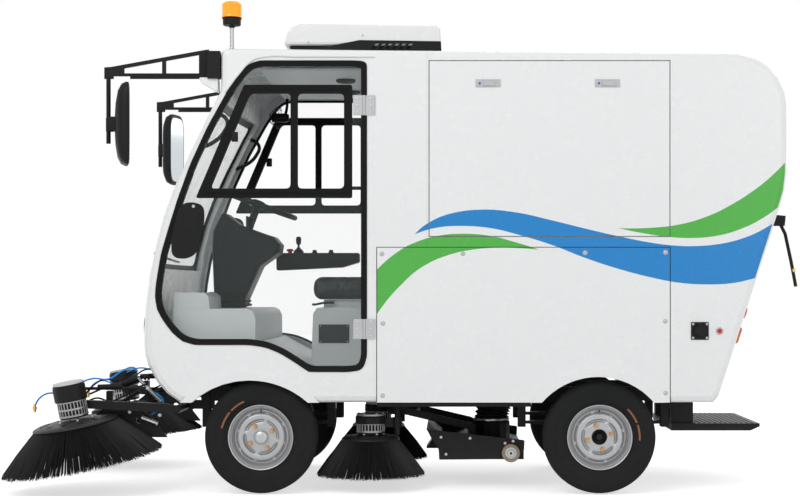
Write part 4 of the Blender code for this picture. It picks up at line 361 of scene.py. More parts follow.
def bands_group() -> Tree:
    """Build the blue and green waves on the outer faces of the sides."""
    sockets = [
        ("Base", "NodeSocketColor", (0.9, 0.9, 0.9, 1.0)),
        ("Blue", "NodeSocketColor", (0.0, 0.2, 0.6, 1.0)),
        ("Green", "NodeSocketColor", (0.07, 0.45, 0.05, 1.0)),
    ]
    outputs = [("Color", "NodeSocketColor"), ("Mask", "NodeSocketFloat")]
    tree, given, result = group_tree(GroupName.BANDS, sockets, outputs)
    _, forward, left, height = place_node(tree)
    front = VIEW.at(BAND_LEFT, BAND_BOTTOM)
    rear = VIEW.at(BAND_RIGHT, BAND_TOP)
    along = math_node(tree, "SUBTRACT", front[0], forward)
    along = math_node(tree, "DIVIDE", along, front[0] - rear[0])
    up = math_node(tree, "SUBTRACT", height, front[1])
    up = math_node(tree, "DIVIDE", up, rear[1] - front[1])
    outside = math_node(tree, "ABSOLUTE", left)
    outside = math_node(tree, "GREATER_THAN", outside, 0.692)
    masks = []
    for top, low in (
        (BLUE_TOP, BLUE_LOW), (REAR_GREEN_TOP, REAR_GREEN_LOW), (FRONT_GREEN_TOP, FRONT_GREEN_LOW)
    ):
        under = math_node(tree, "LESS_THAN", up, curve_node(tree, along, top))
        over = math_node(tree, "GREATER_THAN", up, curve_node(tree, along, low))
        inside = math_node(tree, "MULTIPLY", under, over)
        first, last = (
            (x - BAND_LEFT) / (BAND_RIGHT - BAND_LEFT) for x in (top[0][0], top[-1][0])
        )
        inside = math_node(tree, "MULTIPLY", inside, math_node(tree, "GREATER_THAN", along, first))
        inside = math_node(tree, "MULTIPLY", inside, math_node(tree, "LESS_THAN", along, last))
        masks.append(math_node(tree, "MULTIPLY", inside, outside))
    blue, rear_green, front_green = masks
    green = math_node(tree, "MAXIMUM", rear_green, front_green)
    color = mix_node(tree, green, given.outputs["Base"], given.outputs["Green"])
    color = mix_node(tree, blue, color, given.outputs["Blue"])
    tree.links.new(color, result.inputs["Color"])
    tree.links.new(math_node(tree, "MAXIMUM", blue, green), result.inputs["Mask"])
    return tree


GROUP_MAKERS: dict[GroupName, Callable] = {
    GroupName.SOIL: soil_group,
    GroupName.GRAIN: grain_group,
    GroupName.HIDE: hide_group,
    GroupName.BANDS: bands_group,
}


def group_node(tree: Tree, name: GroupName, values: dict[str, object]) -> Node:
    """Place a shared effect in a material, with its own values.

    Args:
        tree: The material's node tree.
        name: Which effect.
        values: Value or colour of each input that isn't linked.

    Returns:
        The group node.
    """
    known = bpy.data.node_groups.get(name.value)
    node = tree.nodes.new("ShaderNodeGroup")
    node.node_tree = known if known else GROUP_MAKERS[name]()
    for label, value in values.items():
        node.inputs[label].default_value = (*value, 1.0) if isinstance(value, tuple) else value
    return node


@dataclass(frozen=True)
class Finish:
    """A surface finish, with the colour, gloss, relief and road dust that it shows."""

    name: str
    slot: str
    color: Color
    roughness: float
    metallic: float = 0.0
    relief: float = 0.08
    scale: float = 500.0
    soil: float = 0.0
    fade: float = 0.9
    coat: float = 0.0
    shine: float = 0.35
    soil_color: Color = (0.30, 0.27, 0.23)

    def material(self) -> bpy.types.Material:
        """Give the finish's material, made once."""
        known = bpy.data.materials.get("look_" + self.name)
        if known:
            return known
        made = bpy.data.materials.new("look_" + self.name)
        made.use_nodes = True
        tree = made.node_tree
        shader = tree.nodes["Principled BSDF"]
        shader.inputs["Metallic"].default_value = self.metallic
        shader.inputs["Coat Weight"].default_value = self.coat
        shader.inputs["Coat Roughness"].default_value = 0.06
        shader.inputs["Specular IOR Level"].default_value = self.shine
        self.dress(tree, shader)
        return made

    def base_color(self, tree: Tree) -> Socket | None:
        """Give a socket with the clean colour, or None where it is plain."""
        return None

    def dress(self, tree: Tree, shader: Node) -> None:
        """Link the dust, the gloss and the relief.

        Args:
            tree: The material's node tree.
            shader: Its Principled node.
        """
        values = {
            "Base": self.color,
            "Soil": self.soil_color,
            "Amount": self.soil,
            "Fade Height": self.fade,
            "Clean Roughness": self.roughness,
        }
        soil = group_node(tree, GroupName.SOIL, values)
        clean = self.base_color(tree)
        if clean:
            tree.links.new(clean, soil.inputs["Base"])
        tree.links.new(soil.outputs["Color"], shader.inputs["Base Color"])
        tree.links.new(soil.outputs["Roughness"], shader.inputs["Roughness"])
        self.relieve(tree, shader)

    def relieve(self, tree: Tree, shader: Node) -> None:
        """Link the fine relief to the shader's normal."""
        grain = group_node(tree, GroupName.GRAIN, {"Scale": self.scale})
        self.bump(tree, shader, grain.outputs["Height"])

    def bump(self, tree: Tree, shader: Node, height: Socket) -> None:
        """Link a height to the shader's normal through a Bump node."""
        bump = tree.nodes.new("ShaderNodeBump")
        bump.inputs["Strength"].default_value = self.relief
        bump.inputs["Distance"].default_value = 0.001
        tree.links.new(height, bump.inputs["Height"])
        tree.links.new(bump.outputs["Normal"], shader.inputs["Normal"])


@dataclass(frozen=True)
class BandedPaint(Finish):
    """White gloss paint with the waving bands."""

    blue: Color = (0.0, 0.225, 0.60)
    green: Color = (0.072, 0.445, 0.053)

    def base_color(self, tree: Tree) -> Socket | None:
        """Give the banded colour."""
        values = {"Base": self.color, "Blue": self.blue, "Green": self.green}
        return group_node(tree, GroupName.BANDS, values).outputs["Color"]


@dataclass(frozen=True)
class Vinyl(Finish):
    """Pebbled seat vinyl or soft moulded skin."""

    def base_color(self, tree: Tree) -> Socket | None:
        """Give the colour with its worn tone."""
        tone = group_node(tree, GroupName.HIDE, {"Scale": self.scale}).outputs["Tone"]
        light = tuple(min(1.0, part * 1.9 + 0.004) for part in self.color)
        return mix_node(tree, tone, self.color, light)

    def relieve(self, tree: Tree, shader: Node) -> None:
        """Link the pebbles to the shader's normal."""
        hide = group_node(tree, GroupName.HIDE, {"Scale": self.scale})
        self.bump(tree, shader, hide.outputs["Height"])


@dataclass(frozen=True)
class Pane(Finish):
    """Clear glass that shows more at a glancing angle."""

    clear: float = 0.015

    def dress(self, tree: Tree, shader: Node) -> None:
        """Link the rim of the pane's reflection to its alpha, and faint smears to its gloss."""
        shader.inputs["Base Color"].default_value = (*self.color, 1.0)
        shader.inputs["IOR"].default_value = 1.5
        weight = tree.nodes.new("ShaderNodeFresnel")
        weight.inputs["IOR"].default_value = 1.5
        alpha = math_node(tree, "MULTIPLY", weight.outputs[0], 0.35)
        alpha = math_node(tree, "ADD", alpha, self.clear, True)
        tree.links.new(alpha, shader.inputs["Alpha"])
        coordinate = place_node(tree)[0]
        smear = math_node(tree, "MULTIPLY", noise_node(tree, coordinate, 7.0, 5.0), 0.05)
        smear = math_node(tree, "ADD", smear, self.roughness)
        tree.links.new(smear, shader.inputs["Roughness"])


@dataclass(frozen=True)
class Lens(Finish):
    """Tinted lamp plastic that lets light into it and shows a painted glow in its own colour."""

    depth: float = 0.35
    # Strength of the painted glow: emission in the lens's own colour, as though lit inside.
    glow: float = 0.12

    def dress(self, tree: Tree, shader: Node) -> None:
        """Link the tone of the moulded plastic, and its emission as a painted glow."""
        shader.inputs["Transmission Weight"].default_value = self.depth
        # Painted glow: the lens emits its own colour, as though light were caught inside the unlit lamp.
        shader.inputs["Emission Color"].default_value = (*self.color, 1.0)
        shader.inputs["Emission Strength"].default_value = self.glow
        coordinate = place_node(tree)[0]
        tone = noise_node(tree, coordinate, 60.0, 3.0)
        dark = tuple(part * 0.72 for part in self.color)
        tree.links.new(mix_node(tree, tone, dark, self.color), shader.inputs["Base Color"])
        rough = math_node(tree, "MULTIPLY", tone, 0.08)
        rough = math_node(tree, "ADD", rough, self.roughness)
        tree.links.new(rough, shader.inputs["Roughness"])
        self.relieve(tree, shader)


def standing(place: Point, axis: Point) -> Matrix:
    """Give axes at a place, with Z along an axis."""
    return Matrix.Translation(place) @ Vector(axis).to_track_quat("Z", "Y").to_matrix().to_4x4()


class Bench:
    """Edit mode tools that shape one piece at a time."""

    SEAM_MERGE = 0.00002
    CAD_MERGE = 0.00003
    EVEN_SHADING_LIMIT = 12000

    @staticmethod
    def clear() -> None:
        """Leave edit mode and deselect everything."""
        active = bpy.context.view_layer.objects.active
        if active and active.mode != "OBJECT":
            bpy.ops.object.mode_set(mode="OBJECT")
        bpy.ops.object.select_all(action="DESELECT")

    @classmethod
    def pick(cls, *pieces: Piece) -> None:
        """Select only these pieces, the first of them active."""
        cls.clear()
        for piece in pieces:
            piece.select_set(True)
        bpy.context.view_layer.objects.active = pieces[0]

    @classmethod
    def named(cls, name: str) -> Piece:
        """Name the piece just added and put its place into its mesh."""
        piece = bpy.context.view_layer.objects.active
        piece.name = name
        piece.data.name = name
        bpy.ops.object.transform_apply(location=True, rotation=True, scale=True)
        return piece

    @classmethod
    def modify(cls, piece: Piece, kind: str, **settings: object) -> Piece:
        """Add a modifier and apply it.

        Args:
            piece: What it shapes.
            kind: The modifier's type.
            settings: Its settings by name.

        Returns:
            The same piece.
        """
        cls.pick(piece)
        modifier = piece.modifiers.new(kind.title(), kind)
        for label, value in settings.items():
            setattr(modifier, label, value)
        bpy.ops.object.modifier_apply(modifier=modifier.name)
        return piece

    @classmethod
    def bevel(cls, piece: Piece, width: float, segments: int = 2, angle: float = 1.0) -> None:
        """Round the edges sharper than an angle, in radians."""
        cls.modify(piece, "BEVEL", width=width, segments=segments, limit_method="ANGLE", angle_limit=angle)

    @classmethod
    def block(
        cls, name: str, low: Point, high: Point, edge: float = 0.0, segments: int = 2
    ) -> Piece:
        """Shape a block with rounded edges.

        Args:
            name: The piece's name.
            low: Lowest corner.
            high: Highest corner.
            edge: How far its edges are rounded.
            segments: Facets of the rounding.

        Returns:
            The piece.
        """
        cls.clear()
        low, high = Vector(low), Vector(high)
        bpy.ops.mesh.primitive_cube_add(size=1.0, location=(low + high) / 2, scale=high - low)
        piece = cls.named(name)
        if edge:
            bpy.ops.object.mode_set(mode="EDIT")
            bpy.ops.mesh.select_all(action="SELECT")
            bpy.ops.mesh.bevel(offset=edge, segments=segments, profile=0.5)
            bpy.ops.object.mode_set(mode="OBJECT")
        return piece

    @classmethod
    def rod(
        cls,
        name: str,
        start: Point,
        end: Point,
        radius: float,
        steps: int = 24,
        end_radius: float | None = None,
        edge: float = 0.0,
    ) -> Piece:
        """Shape a round bar or cone between two points.

        Args:
            name: The piece's name.
            start: Centre of its first end.
            end: Centre of its other end.
            radius: Radius at the first end.
            steps: Facets round it.
            end_radius: Radius at the other end, where it differs.
            edge: Rounding of the two rims.

        Returns:
            The piece.
        """
        cls.clear()
        start, end = Vector(start), Vector(end)
        way = end - start
        bpy.ops.mesh.primitive_cone_add(
            vertices=steps,
            radius1=radius,
            radius2=radius if end_radius is None else end_radius,
            depth=way.length,
            location=(start + end) / 2,
            rotation=way.to_track_quat("Z", "Y").to_euler(),
        )
        piece = cls.named(name)
        if edge:
            cls.bevel(piece, edge, 2, 1.0)
        return piece

    @classmethod
    def chain(cls, name: str, points: Sequence[Point]) -> Piece:
        """Extrude one vertex along a line of points, in edit mode.

        Args:
            name: The piece's name.
            points: The corners in turn.

        Returns:
            The piece, still in edit mode, its last vertex selected.
        """
        cls.clear()
        bpy.ops.mesh.primitive_plane_add(size=0.01, location=points[0])
        piece = cls.named(name)
        bpy.ops.object.mode_set(mode="EDIT")
        bpy.ops.mesh.select_mode(type="VERT")
        bpy.ops.mesh.select_all(action="SELECT")
        bpy.ops.mesh.merge(type="CENTER")
        for near, far in zip(points, points[1:]):
            step = Vector(far) - Vector(near)
            bpy.ops.mesh.extrude_region_move(TRANSFORM_OT_translate={"value": step})
        bpy.ops.mesh.select_all(action="SELECT")
        return piece

    @classmethod
    def slab(
        cls, name: str, outline: Sequence[Point], step: Point, edge: float = 0.0, segments: int = 1
    ) -> Piece:
        """Fill an outline and extrude it into a flat solid.

        Args:
            name: The piece's name.
            outline: Corners in turn.
            step: The way that the face is extruded.
            edge: Rounding of its sharp edges.
            segments: Facets of the rounding.

        Returns:
            The piece.
        """
        piece = cls.chain(name, outline)
        bpy.ops.mesh.edge_face_add()
        bpy.ops.mesh.extrude_region_move(TRANSFORM_OT_translate={"value": Vector(step)})
        bpy.ops.mesh.select_all(action="SELECT")
        bpy.ops.mesh.normals_make_consistent(inside=False)
        bpy.ops.object.mode_set(mode="OBJECT")
        if edge:
            cls.bevel(piece, edge, segments, 0.7)
        return piece

    @classmethod
    def side_slab(
        cls, name: str, outline: Sequence[Flat], near: float, far: float, edge: float = 0.0
    ) -> Piece:
        """Shape a flat solid from its outline in the side view.

        Args:
            name: The piece's name.
            outline: Forward and upward places of the corners.
            near: Distance to the left of the middle where it starts.
            far: Distance where it ends.
            edge: Rounding of its sharp edges.

        Returns:
            The piece.
        """
        corners = [(x, near, z) for x, z in outline]
        return cls.slab(name, corners, (0.0, far - near, 0.0), edge)

    @classmethod
    def spun(
        cls, name: str, profile: Sequence[Flat], centre: Point, axis: Point, steps: int = 48
    ) -> Piece:
        """Spin a profile of radius and height round an axis.

        Args:
            name: The piece's name.
            profile: Radius and height along the axis, in turn, from pole to pole or as a ring.
            centre: Where height zero is.
            axis: Way along which heights count.
            steps: Facets round it.

        Returns:
            The piece.
        """
        piece = cls.chain(name, [(radius, 0.0, height) for radius, height in profile])
        bpy.ops.mesh.spin(steps=steps, angle=math.tau, center=ORIGIN, axis=UP)
        bpy.ops.mesh.select_all(action="SELECT")
        bpy.ops.mesh.remove_doubles(threshold=cls.SEAM_MERGE)
        bpy.ops.mesh.normals_make_consistent(inside=False)
        bpy.ops.object.mode_set(mode="OBJECT")
        piece.matrix_world = standing(centre, axis)
        cls.pick(piece)
        bpy.ops.object.transform_apply(location=True, rotation=True, scale=True)
        return piece

    @classmethod
    def tube(
        cls, name: str, points: Sequence[Point], radius: float, smooth: bool = True, closed: bool = False
    ) -> Piece:
        """Lead a round tube through points.

        Args:
            name: The piece's name.
            points: The points in turn.
            radius: Radius of the tube.
            smooth: Whether it curves through the points.
            closed: Whether it comes back to its start.

        Returns:
            The piece.
        """
        curve = bpy.data.curves.new(name, "CURVE")
        curve.dimensions = "3D"
        curve.bevel_depth = radius
        curve.bevel_resolution = 3
        curve.resolution_u = 6
        curve.use_fill_caps = True
        line = curve.splines.new("BEZIER")
        line.bezier_points.add(len(points) - 1)
        for knot, place in zip(line.bezier_points, points):
            knot.co = place
            knot.handle_left_type = knot.handle_right_type = "AUTO" if smooth else "VECTOR"
        line.use_cyclic_u = closed
        piece = bpy.data.objects.new(name, curve)
        bpy.context.scene.collection.objects.link(piece)
        cls.pick(piece)
        bpy.ops.object.convert(target="MESH")
        piece = bpy.context.view_layer.objects.active
        piece.name = name
        return piece

    @classmethod
    def ring(
        cls, name: str, centre: Point, axis: Point, radius: float, thickness: float, steps: int = 48
    ) -> Piece:
        """Shape a round ring.

        Args:
            name: The piece's name.
            centre: Its centre.
            axis: Its axis.
            radius: Radius to the middle of the ring.
            thickness: Radius of the ring's section.
            steps: Facets round it.

        Returns:
            The piece.
        """
        cls.clear()
        bpy.ops.mesh.primitive_torus_add(
            major_radius=radius,
            minor_radius=thickness,
            major_segments=steps,
            minor_segments=10,
            location=centre,
            rotation=Vector(axis).to_track_quat("Z", "Y").to_euler(),
        )
        return cls.named(name)

    @classmethod
    def join(cls, name: str, *pieces: Piece) -> Piece:
        """Join pieces into one and name it."""
        cls.pick(*pieces)
        if len(pieces) > 1:
            bpy.ops.object.join()
        pieces[0].name = name
        pieces[0].data.name = name
        return pieces[0]

    @classmethod
    def repeated(cls, piece: Piece, places: Iterable[Matrix]) -> Piece:
        """Copy a piece to each place, each copy with its own mesh, and join the copies.

        Args:
            piece: The model, which is used up.
            places: Where each copy goes, counted from the model's own place.

        Returns:
            The joined copies.
        """
        copies = []
        for place in places:
            copy = piece.copy()
            copy.data = piece.data.copy()
            copy.data.transform(place)
            if place.determinant() < 0:
                copy.data.flip_normals()
            bpy.context.scene.collection.objects.link(copy)
            copies.append(copy)
        name = piece.name
        bpy.data.objects.remove(piece, do_unlink=True)
        return cls.join(name, *copies)

    @classmethod
    def cut(cls, piece: Piece, *cutters: Piece) -> Piece:
        """Take cutters out of a piece and remove them."""
        for cutter in cutters:
            cls.modify(piece, "BOOLEAN", operation="DIFFERENCE", solver="EXACT", object=cutter)
            bpy.data.objects.remove(cutter, do_unlink=True)
        return piece

    @classmethod
    def lofted(cls, name: str, rings: Sequence[Sequence[Point]]) -> Piece:
        """Skin rings of equally many points and close both ends.

        Args:
            name: The piece's name.
            rings: The rings in turn, each with its points in turn.

        Returns:
            The piece.
        """
        around, last = len(rings[0]), len(rings) - 1
        faces = [tuple(reversed(range(around))), tuple(range(around * last, around * (last + 1)))]
        for level in range(last):
            for i in range(around):
                after, base = (i + 1) % around, level * around
                faces.append((base + i, base + after, base + around + after, base + around + i))
        mesh = bpy.data.meshes.new(name)
        mesh.from_pydata([point for ring in rings for point in ring], [], faces)
        piece = bpy.data.objects.new(name, mesh)
        bpy.context.scene.collection.objects.link(piece)
        cls.tidy_normals(piece)
        return piece

    @classmethod
    def twin(cls, node: str, name: str) -> Piece:
        """Copy a CAD node's mesh into a new piece and merge its loose triangles."""
        source = FRAME["nodes"][node]
        piece = bpy.data.objects.new(name, source.data.copy())
        piece.data.name = name
        bpy.context.scene.collection.objects.link(piece)
        piece.data.materials.clear()
        cls.pick(piece)
        bpy.ops.object.mode_set(mode="EDIT")
        bpy.ops.mesh.select_all(action="SELECT")
        bpy.ops.mesh.remove_doubles(threshold=cls.CAD_MERGE)
        bpy.ops.mesh.tris_convert_to_quads(face_threshold=0.02, shape_threshold=0.6)
        bpy.ops.object.mode_set(mode="OBJECT")
        return piece

    @classmethod
    def tidy_normals(cls, piece: Piece) -> None:
        """Point all faces of a closed piece outward."""
        cls.pick(piece)
        bpy.ops.object.mode_set(mode="EDIT")
        bpy.ops.mesh.select_all(action="SELECT")
        bpy.ops.mesh.normals_make_consistent(inside=False)
        bpy.ops.object.mode_set(mode="OBJECT")

    @classmethod
    def mirrored(cls, piece: Piece, name: str) -> Piece:
        """Copy a piece to the vehicle's other side, facing outwards."""
        copy = piece.copy()
        copy.data = piece.data.copy()
        copy.name = name
        copy.data.name = name
        copy.data.transform(Matrix.Diagonal((1.0, -1.0, 1.0, 1.0)))
        copy.data.flip_normals()
        bpy.context.scene.collection.objects.link(copy)
        return copy

    @classmethod
    def done(
        cls,
        piece: Piece,
        finish: Finish,
        body: str = "chassis",
        angle: float = 35.0,
        stands_for: Sequence[str] = (),
    ) -> Piece:
        """Dress a finished piece, smooth it and let it ride on its body.

        Args:
            piece: The finished mesh.
            finish: Its surface finish.
            body: CAD body that carries it.
            angle: Edges flatter than this, in degrees, are shaded smooth.
            stands_for: CAD nodes that it replaces.

        Returns:
            The piece.
        """
        cls.pick(piece)
        bpy.ops.object.shade_smooth_by_angle(angle=math.radians(angle))
        if len(piece.data.polygons) < cls.EVEN_SHADING_LIMIT:
            cls.modify(piece, "WEIGHTED_NORMAL", keep_sharp=True, weight=80)
        piece.data.materials.clear()
        piece.data.materials.append(finish.material())
        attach(piece, body)
        if stands_for:
            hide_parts(*stands_for)
        LOG.info("%s on %s, %d faces", piece.name, body, len(piece.data.polygons))
        return piece

    @classmethod
    def both(
        cls, piece: Piece, finish: Finish, body: str = "chassis", angle: float = 35.0, **other
    ) -> None:
        """Dress a left piece and its mirrored right one; side goes in for {side} in body.

        Args:
            piece: The left piece, its name ending in _left.
            finish: Its surface finish.
            body: Name of the body, with {side} where the side's name goes.
            angle: Smoothing angle in degrees.
            other: stands_for, a tuple of node names with {side}.
        """
        right = cls.mirrored(piece, piece.name.replace("_left", "_right"))
        nodes = other.get("stands_for", ())
        for each, side in ((piece, "left"), (right, "right")):
            names = [node.format(side=side) for node in nodes]
            cls.done(each, finish, body.format(side=side), angle, names)


def ring_places(count: int, centre: Point, axis: Point, first_deg: float = 0.0) -> list[Matrix]:
    """Give the turns that spread copies evenly round an axis.

    Args:
        count: How many copies.
        centre: A point on the axis.
        axis: The axis.
        first_deg: Turn of the first copy, in degrees.

    Returns:
        One matrix for each copy.
    """
    there = Matrix.Translation(centre)
    back = Matrix.Translation(-Vector(centre))
    return [
        there @ Matrix.Rotation(math.radians(first_deg) + math.tau * i / count, 4, Vector(axis)) @ back
        for i in range(count)
    ]


@dataclass(frozen=True)
class Finishes:
    """Every surface finish of the sweeper."""

    white: Finish = Finish(
        "white", "white_paint", (0.86, 0.87, 0.875), 0.22, relief=0.0, scale=260, soil=0.004, coat=0.15,
        shine=0.5,
    )
    banded: Finish = BandedPaint(
        "banded", "white_paint", (0.86, 0.87, 0.875), 0.22, relief=0.0, scale=260, soil=0.004, coat=0.15,
        shine=0.5,
    )
    light_grey: Finish = Finish(
        "light_grey", "grey_panel", (0.64, 0.675, 0.68), 0.42, relief=0.04, scale=700, soil=0.04, fade=1.2
    )
    black_plastic: Finish = Finish(
        "black_plastic", "black_plastic", (0.0085, 0.0085, 0.0095), 0.42, relief=0.03, scale=900, soil=0.03,
        shine=0.16,
    )
    black_paint: Finish = Finish(
        "black_paint", "black_paint", (0.0075, 0.0075, 0.0085), 0.38, relief=0.04, scale=300, soil=0.05,
        fade=0.7, shine=0.16,
    )
    rubber: Finish = Finish(
        "rubber", "black_rubber", (0.0075, 0.0075, 0.0080), 0.62, relief=0.06, scale=500, soil=0.04,
        shine=0.12,
    )
    tyre: Finish = Finish(
        "tyre", "tyre_black", (0.0095, 0.0105, 0.0115), 0.66, relief=0.12, scale=350, soil=0.04, fade=0.9,
        shine=0.12,
    )
    vinyl: Finish = Vinyl("vinyl", "seat_vinyl", (0.014, 0.014, 0.016), 0.42, relief=0.35, scale=650)
    silver: Finish = Finish(
        "silver", "rim_silver", (0.42, 0.425, 0.435), 0.34, 0.6, relief=0.04, scale=500, soil=0.06, fade=0.7,
        shine=0.3,
    )
    steel: Finish = Finish("steel", "rim_silver", (0.42, 0.425, 0.43), 0.32, 1.0, relief=0.05, scale=900)
    copper_nut: Finish = Finish(
        "copper_nut", "rim_silver", (0.50, 0.29, 0.14), 0.32, 0.9, relief=0.1, scale=900
    )
    cast: Finish = Finish(
        "cast", "cast_steel", (0.05, 0.05, 0.05), 0.5, 0.6, relief=0.4, scale=420, soil=0.2, fade=0.7
    )
    alloy: Finish = Finish(
        "alloy", "rim_silver", (0.36, 0.365, 0.37), 0.42, 0.85, relief=0.15, scale=420, soil=0.1, fade=0.6
    )
    bristle: Finish = Finish(
        "bristle", "bristle", (0.0080, 0.0085, 0.0095), 0.5, relief=0.1, scale=300, soil=0.05, fade=0.35,
        shine=0.25,
    )
    disc: Finish = Finish(
        "disc", "black_plastic", (0.012, 0.012, 0.013), 0.36, relief=0.06, scale=500, soil=0.06, fade=0.6,
        shine=0.3,
    )
    hose: Finish = Finish(
        "hose", "black_rubber", (0.012, 0.012, 0.012), 0.5, relief=0.1, scale=300, soil=0.08, fade=0.7,
        shine=0.2,
    )
    blue_tube: Finish = Finish("blue_tube", "black_plastic", (0.0, 0.25, 0.78), 0.3, relief=0.03, scale=300)
    brass: Finish = Finish("brass", "rim_silver", (0.66, 0.43, 0.14), 0.3, 1.0, relief=0.06, scale=900)
    glass: Finish = Pane("glass", "clear_glass", (0.62, 0.72, 0.70), 0.02)
    mirror: Finish = Finish("mirror", "rim_silver", (0.62, 0.66, 0.68), 0.05, 1.0, relief=0.0, scale=20)
    clear_lens: Finish = Lens("clear_lens", "lamp_lens", (0.88, 0.90, 0.92), 0.05, relief=0.15, scale=90)
    # The beacon's lens carries a stronger painted glow.
    amber: Finish = Lens("amber", "amber_lens", (1.0, 0.36, 0.012), 0.15, relief=0.05, scale=120, glow=0.45)
    red_lens: Finish = Lens("red_lens", "amber_lens", (0.72, 0.015, 0.01), 0.12, relief=0.05, scale=120)
    orange_lens: Finish = Lens("orange_lens", "amber_lens", (0.90, 0.20, 0.015), 0.12, relief=0.05, scale=120)
    red_button: Finish = Finish("red_button", "amber_lens", (0.65, 0.02, 0.015), 0.3, relief=0.02)
    green_button: Finish = Finish("green_button", "amber_lens", (0.03, 0.35, 0.08), 0.3, relief=0.02)
    blue_mark: Finish = Finish("blue_mark", "black_plastic", (0.01, 0.12, 0.55), 0.3, relief=0.02)
    tan_tread: Finish = Finish(
        "tan_tread", "black_rubber", (0.42, 0.33, 0.22), 0.6, relief=0.2, scale=300, soil=0.2
    )
    seam_dark: Finish = Finish(
        "seam_dark", "black_rubber", (0.018, 0.018, 0.02), 0.7, relief=0.03, shine=0.15
    )
    orange_paint: Finish = Finish(
        "orange_paint", "tyre_black", (0.26, 0.085, 0.018), 0.6, relief=0.15, scale=500, soil=0.3, fade=0.9
    )
    white_dots: Finish = Finish("white_dots", "white_paint", (0.7, 0.71, 0.72), 0.35, relief=0.05)


FINISH = Finishes()


@dataclass
class Studio:
    """Camera, plain floor and soft light."""

    lens: float = 69.4
    floor_size: float = 60.0
    key_power: float = 260.0
    fill_power: float = 90.0
    world_strength: float = 0.50
    floor_glow: float = 0.62
    aim: Point = (0.0, 0.0, 1.0)

    def camera(self) -> None:
        """Place the camera square to the left side, where the photograph was taken."""
        bpy.ops.object.camera_add(location=VIEW.eye, rotation=(math.radians(90), 0.0, math.radians(180)))
        camera = bpy.context.view_layer.objects.active
        camera.name = "view"
        camera.data.lens = self.lens
        camera.data.sensor_width = 36.0
        camera.data.shift_x = -50.0 / 800.0
        camera.data.shift_y = 49.0 / 800.0
        bpy.context.scene.camera = camera

    def lamp(self, name: str, place: Point, aim: Point, size: float, power: float) -> None:
        """Add a soft square lamp.

        Args:
            name: The lamp's name.
            place: Where it stands.
            aim: The point that it lights.
            size: Its side length.
            power: Its power in watts.
        """
        turn = (Vector(aim) - Vector(place)).to_track_quat("-Z", "Y").to_euler()
        bpy.ops.object.light_add(type="AREA", location=place, rotation=turn)
        lamp = bpy.context.view_layer.objects.active
        lamp.name = name
        lamp.data.shape = "SQUARE"
        lamp.data.size = size
        lamp.data.energy = power

    @staticmethod
    def seen_share(tree: Tree) -> Socket:
        """Give a socket that is one for rays which show the background itself."""
        path = tree.nodes.new("ShaderNodeLightPath")
        seen = math_node(tree, "ADD", path.outputs["Is Camera Ray"], path.outputs["Is Glossy Ray"], True)
        return math_node(tree, "ADD", seen, path.outputs["Is Transmission Ray"], True)

    def backdrop(self) -> None:
        """Make the world white to look at and softer as a light."""
        world = bpy.data.worlds.new("studio")
        bpy.context.scene.world = world
        world.use_nodes = True
        tree = world.node_tree
        ground = tree.nodes["Background"]
        ground.inputs["Color"].default_value = (1.0, 1.0, 1.0, 1.0)
        strength = math_node(tree, "MULTIPLY", self.seen_share(tree), 1.0 - self.world_strength)
        strength = math_node(tree, "ADD", strength, self.world_strength)
        tree.links.new(strength, ground.inputs["Strength"])

    def floor(self) -> None:
        """Lay the floor, which adds a little white of its own where it is looked at."""
        bpy.ops.mesh.primitive_plane_add(size=self.floor_size)
        floor = bpy.context.view_layer.objects.active
        floor.name = "floor"
        material = bpy.data.materials.new("floor_white")
        material.use_nodes = True
        shader = material.node_tree.nodes["Principled BSDF"]
        shader.inputs["Base Color"].default_value = (0.86, 0.86, 0.86, 1.0)
        shader.inputs["Roughness"].default_value = 0.9
        shader.inputs["Specular IOR Level"].default_value = 0.1
        shader.inputs["Emission Color"].default_value = (1.0, 1.0, 1.0, 1.0)
        glow = math_node(material.node_tree, "MULTIPLY", self.seen_share(material.node_tree), self.floor_glow)
        material.node_tree.links.new(glow, shader.inputs["Emission Strength"])
        floor.data.materials.append(material)
        floor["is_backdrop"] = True

    def build(self) -> None:
        """Set the whole studio."""
        scene = bpy.context.scene
        scene.view_settings.view_transform = "Standard"
        self.camera()
        self.backdrop()
        self.floor()
        self.lamp("key", (3.5, 7.0, 6.0), self.aim, 5.0, self.key_power)
        self.lamp("fill", (-5.0, 6.0, 3.5), self.aim, 5.0, self.fill_power)
        self.lamp("back", (-2.0, -7.0, 5.0), self.aim, 5.0, self.fill_power)
        LOG.info("studio set")


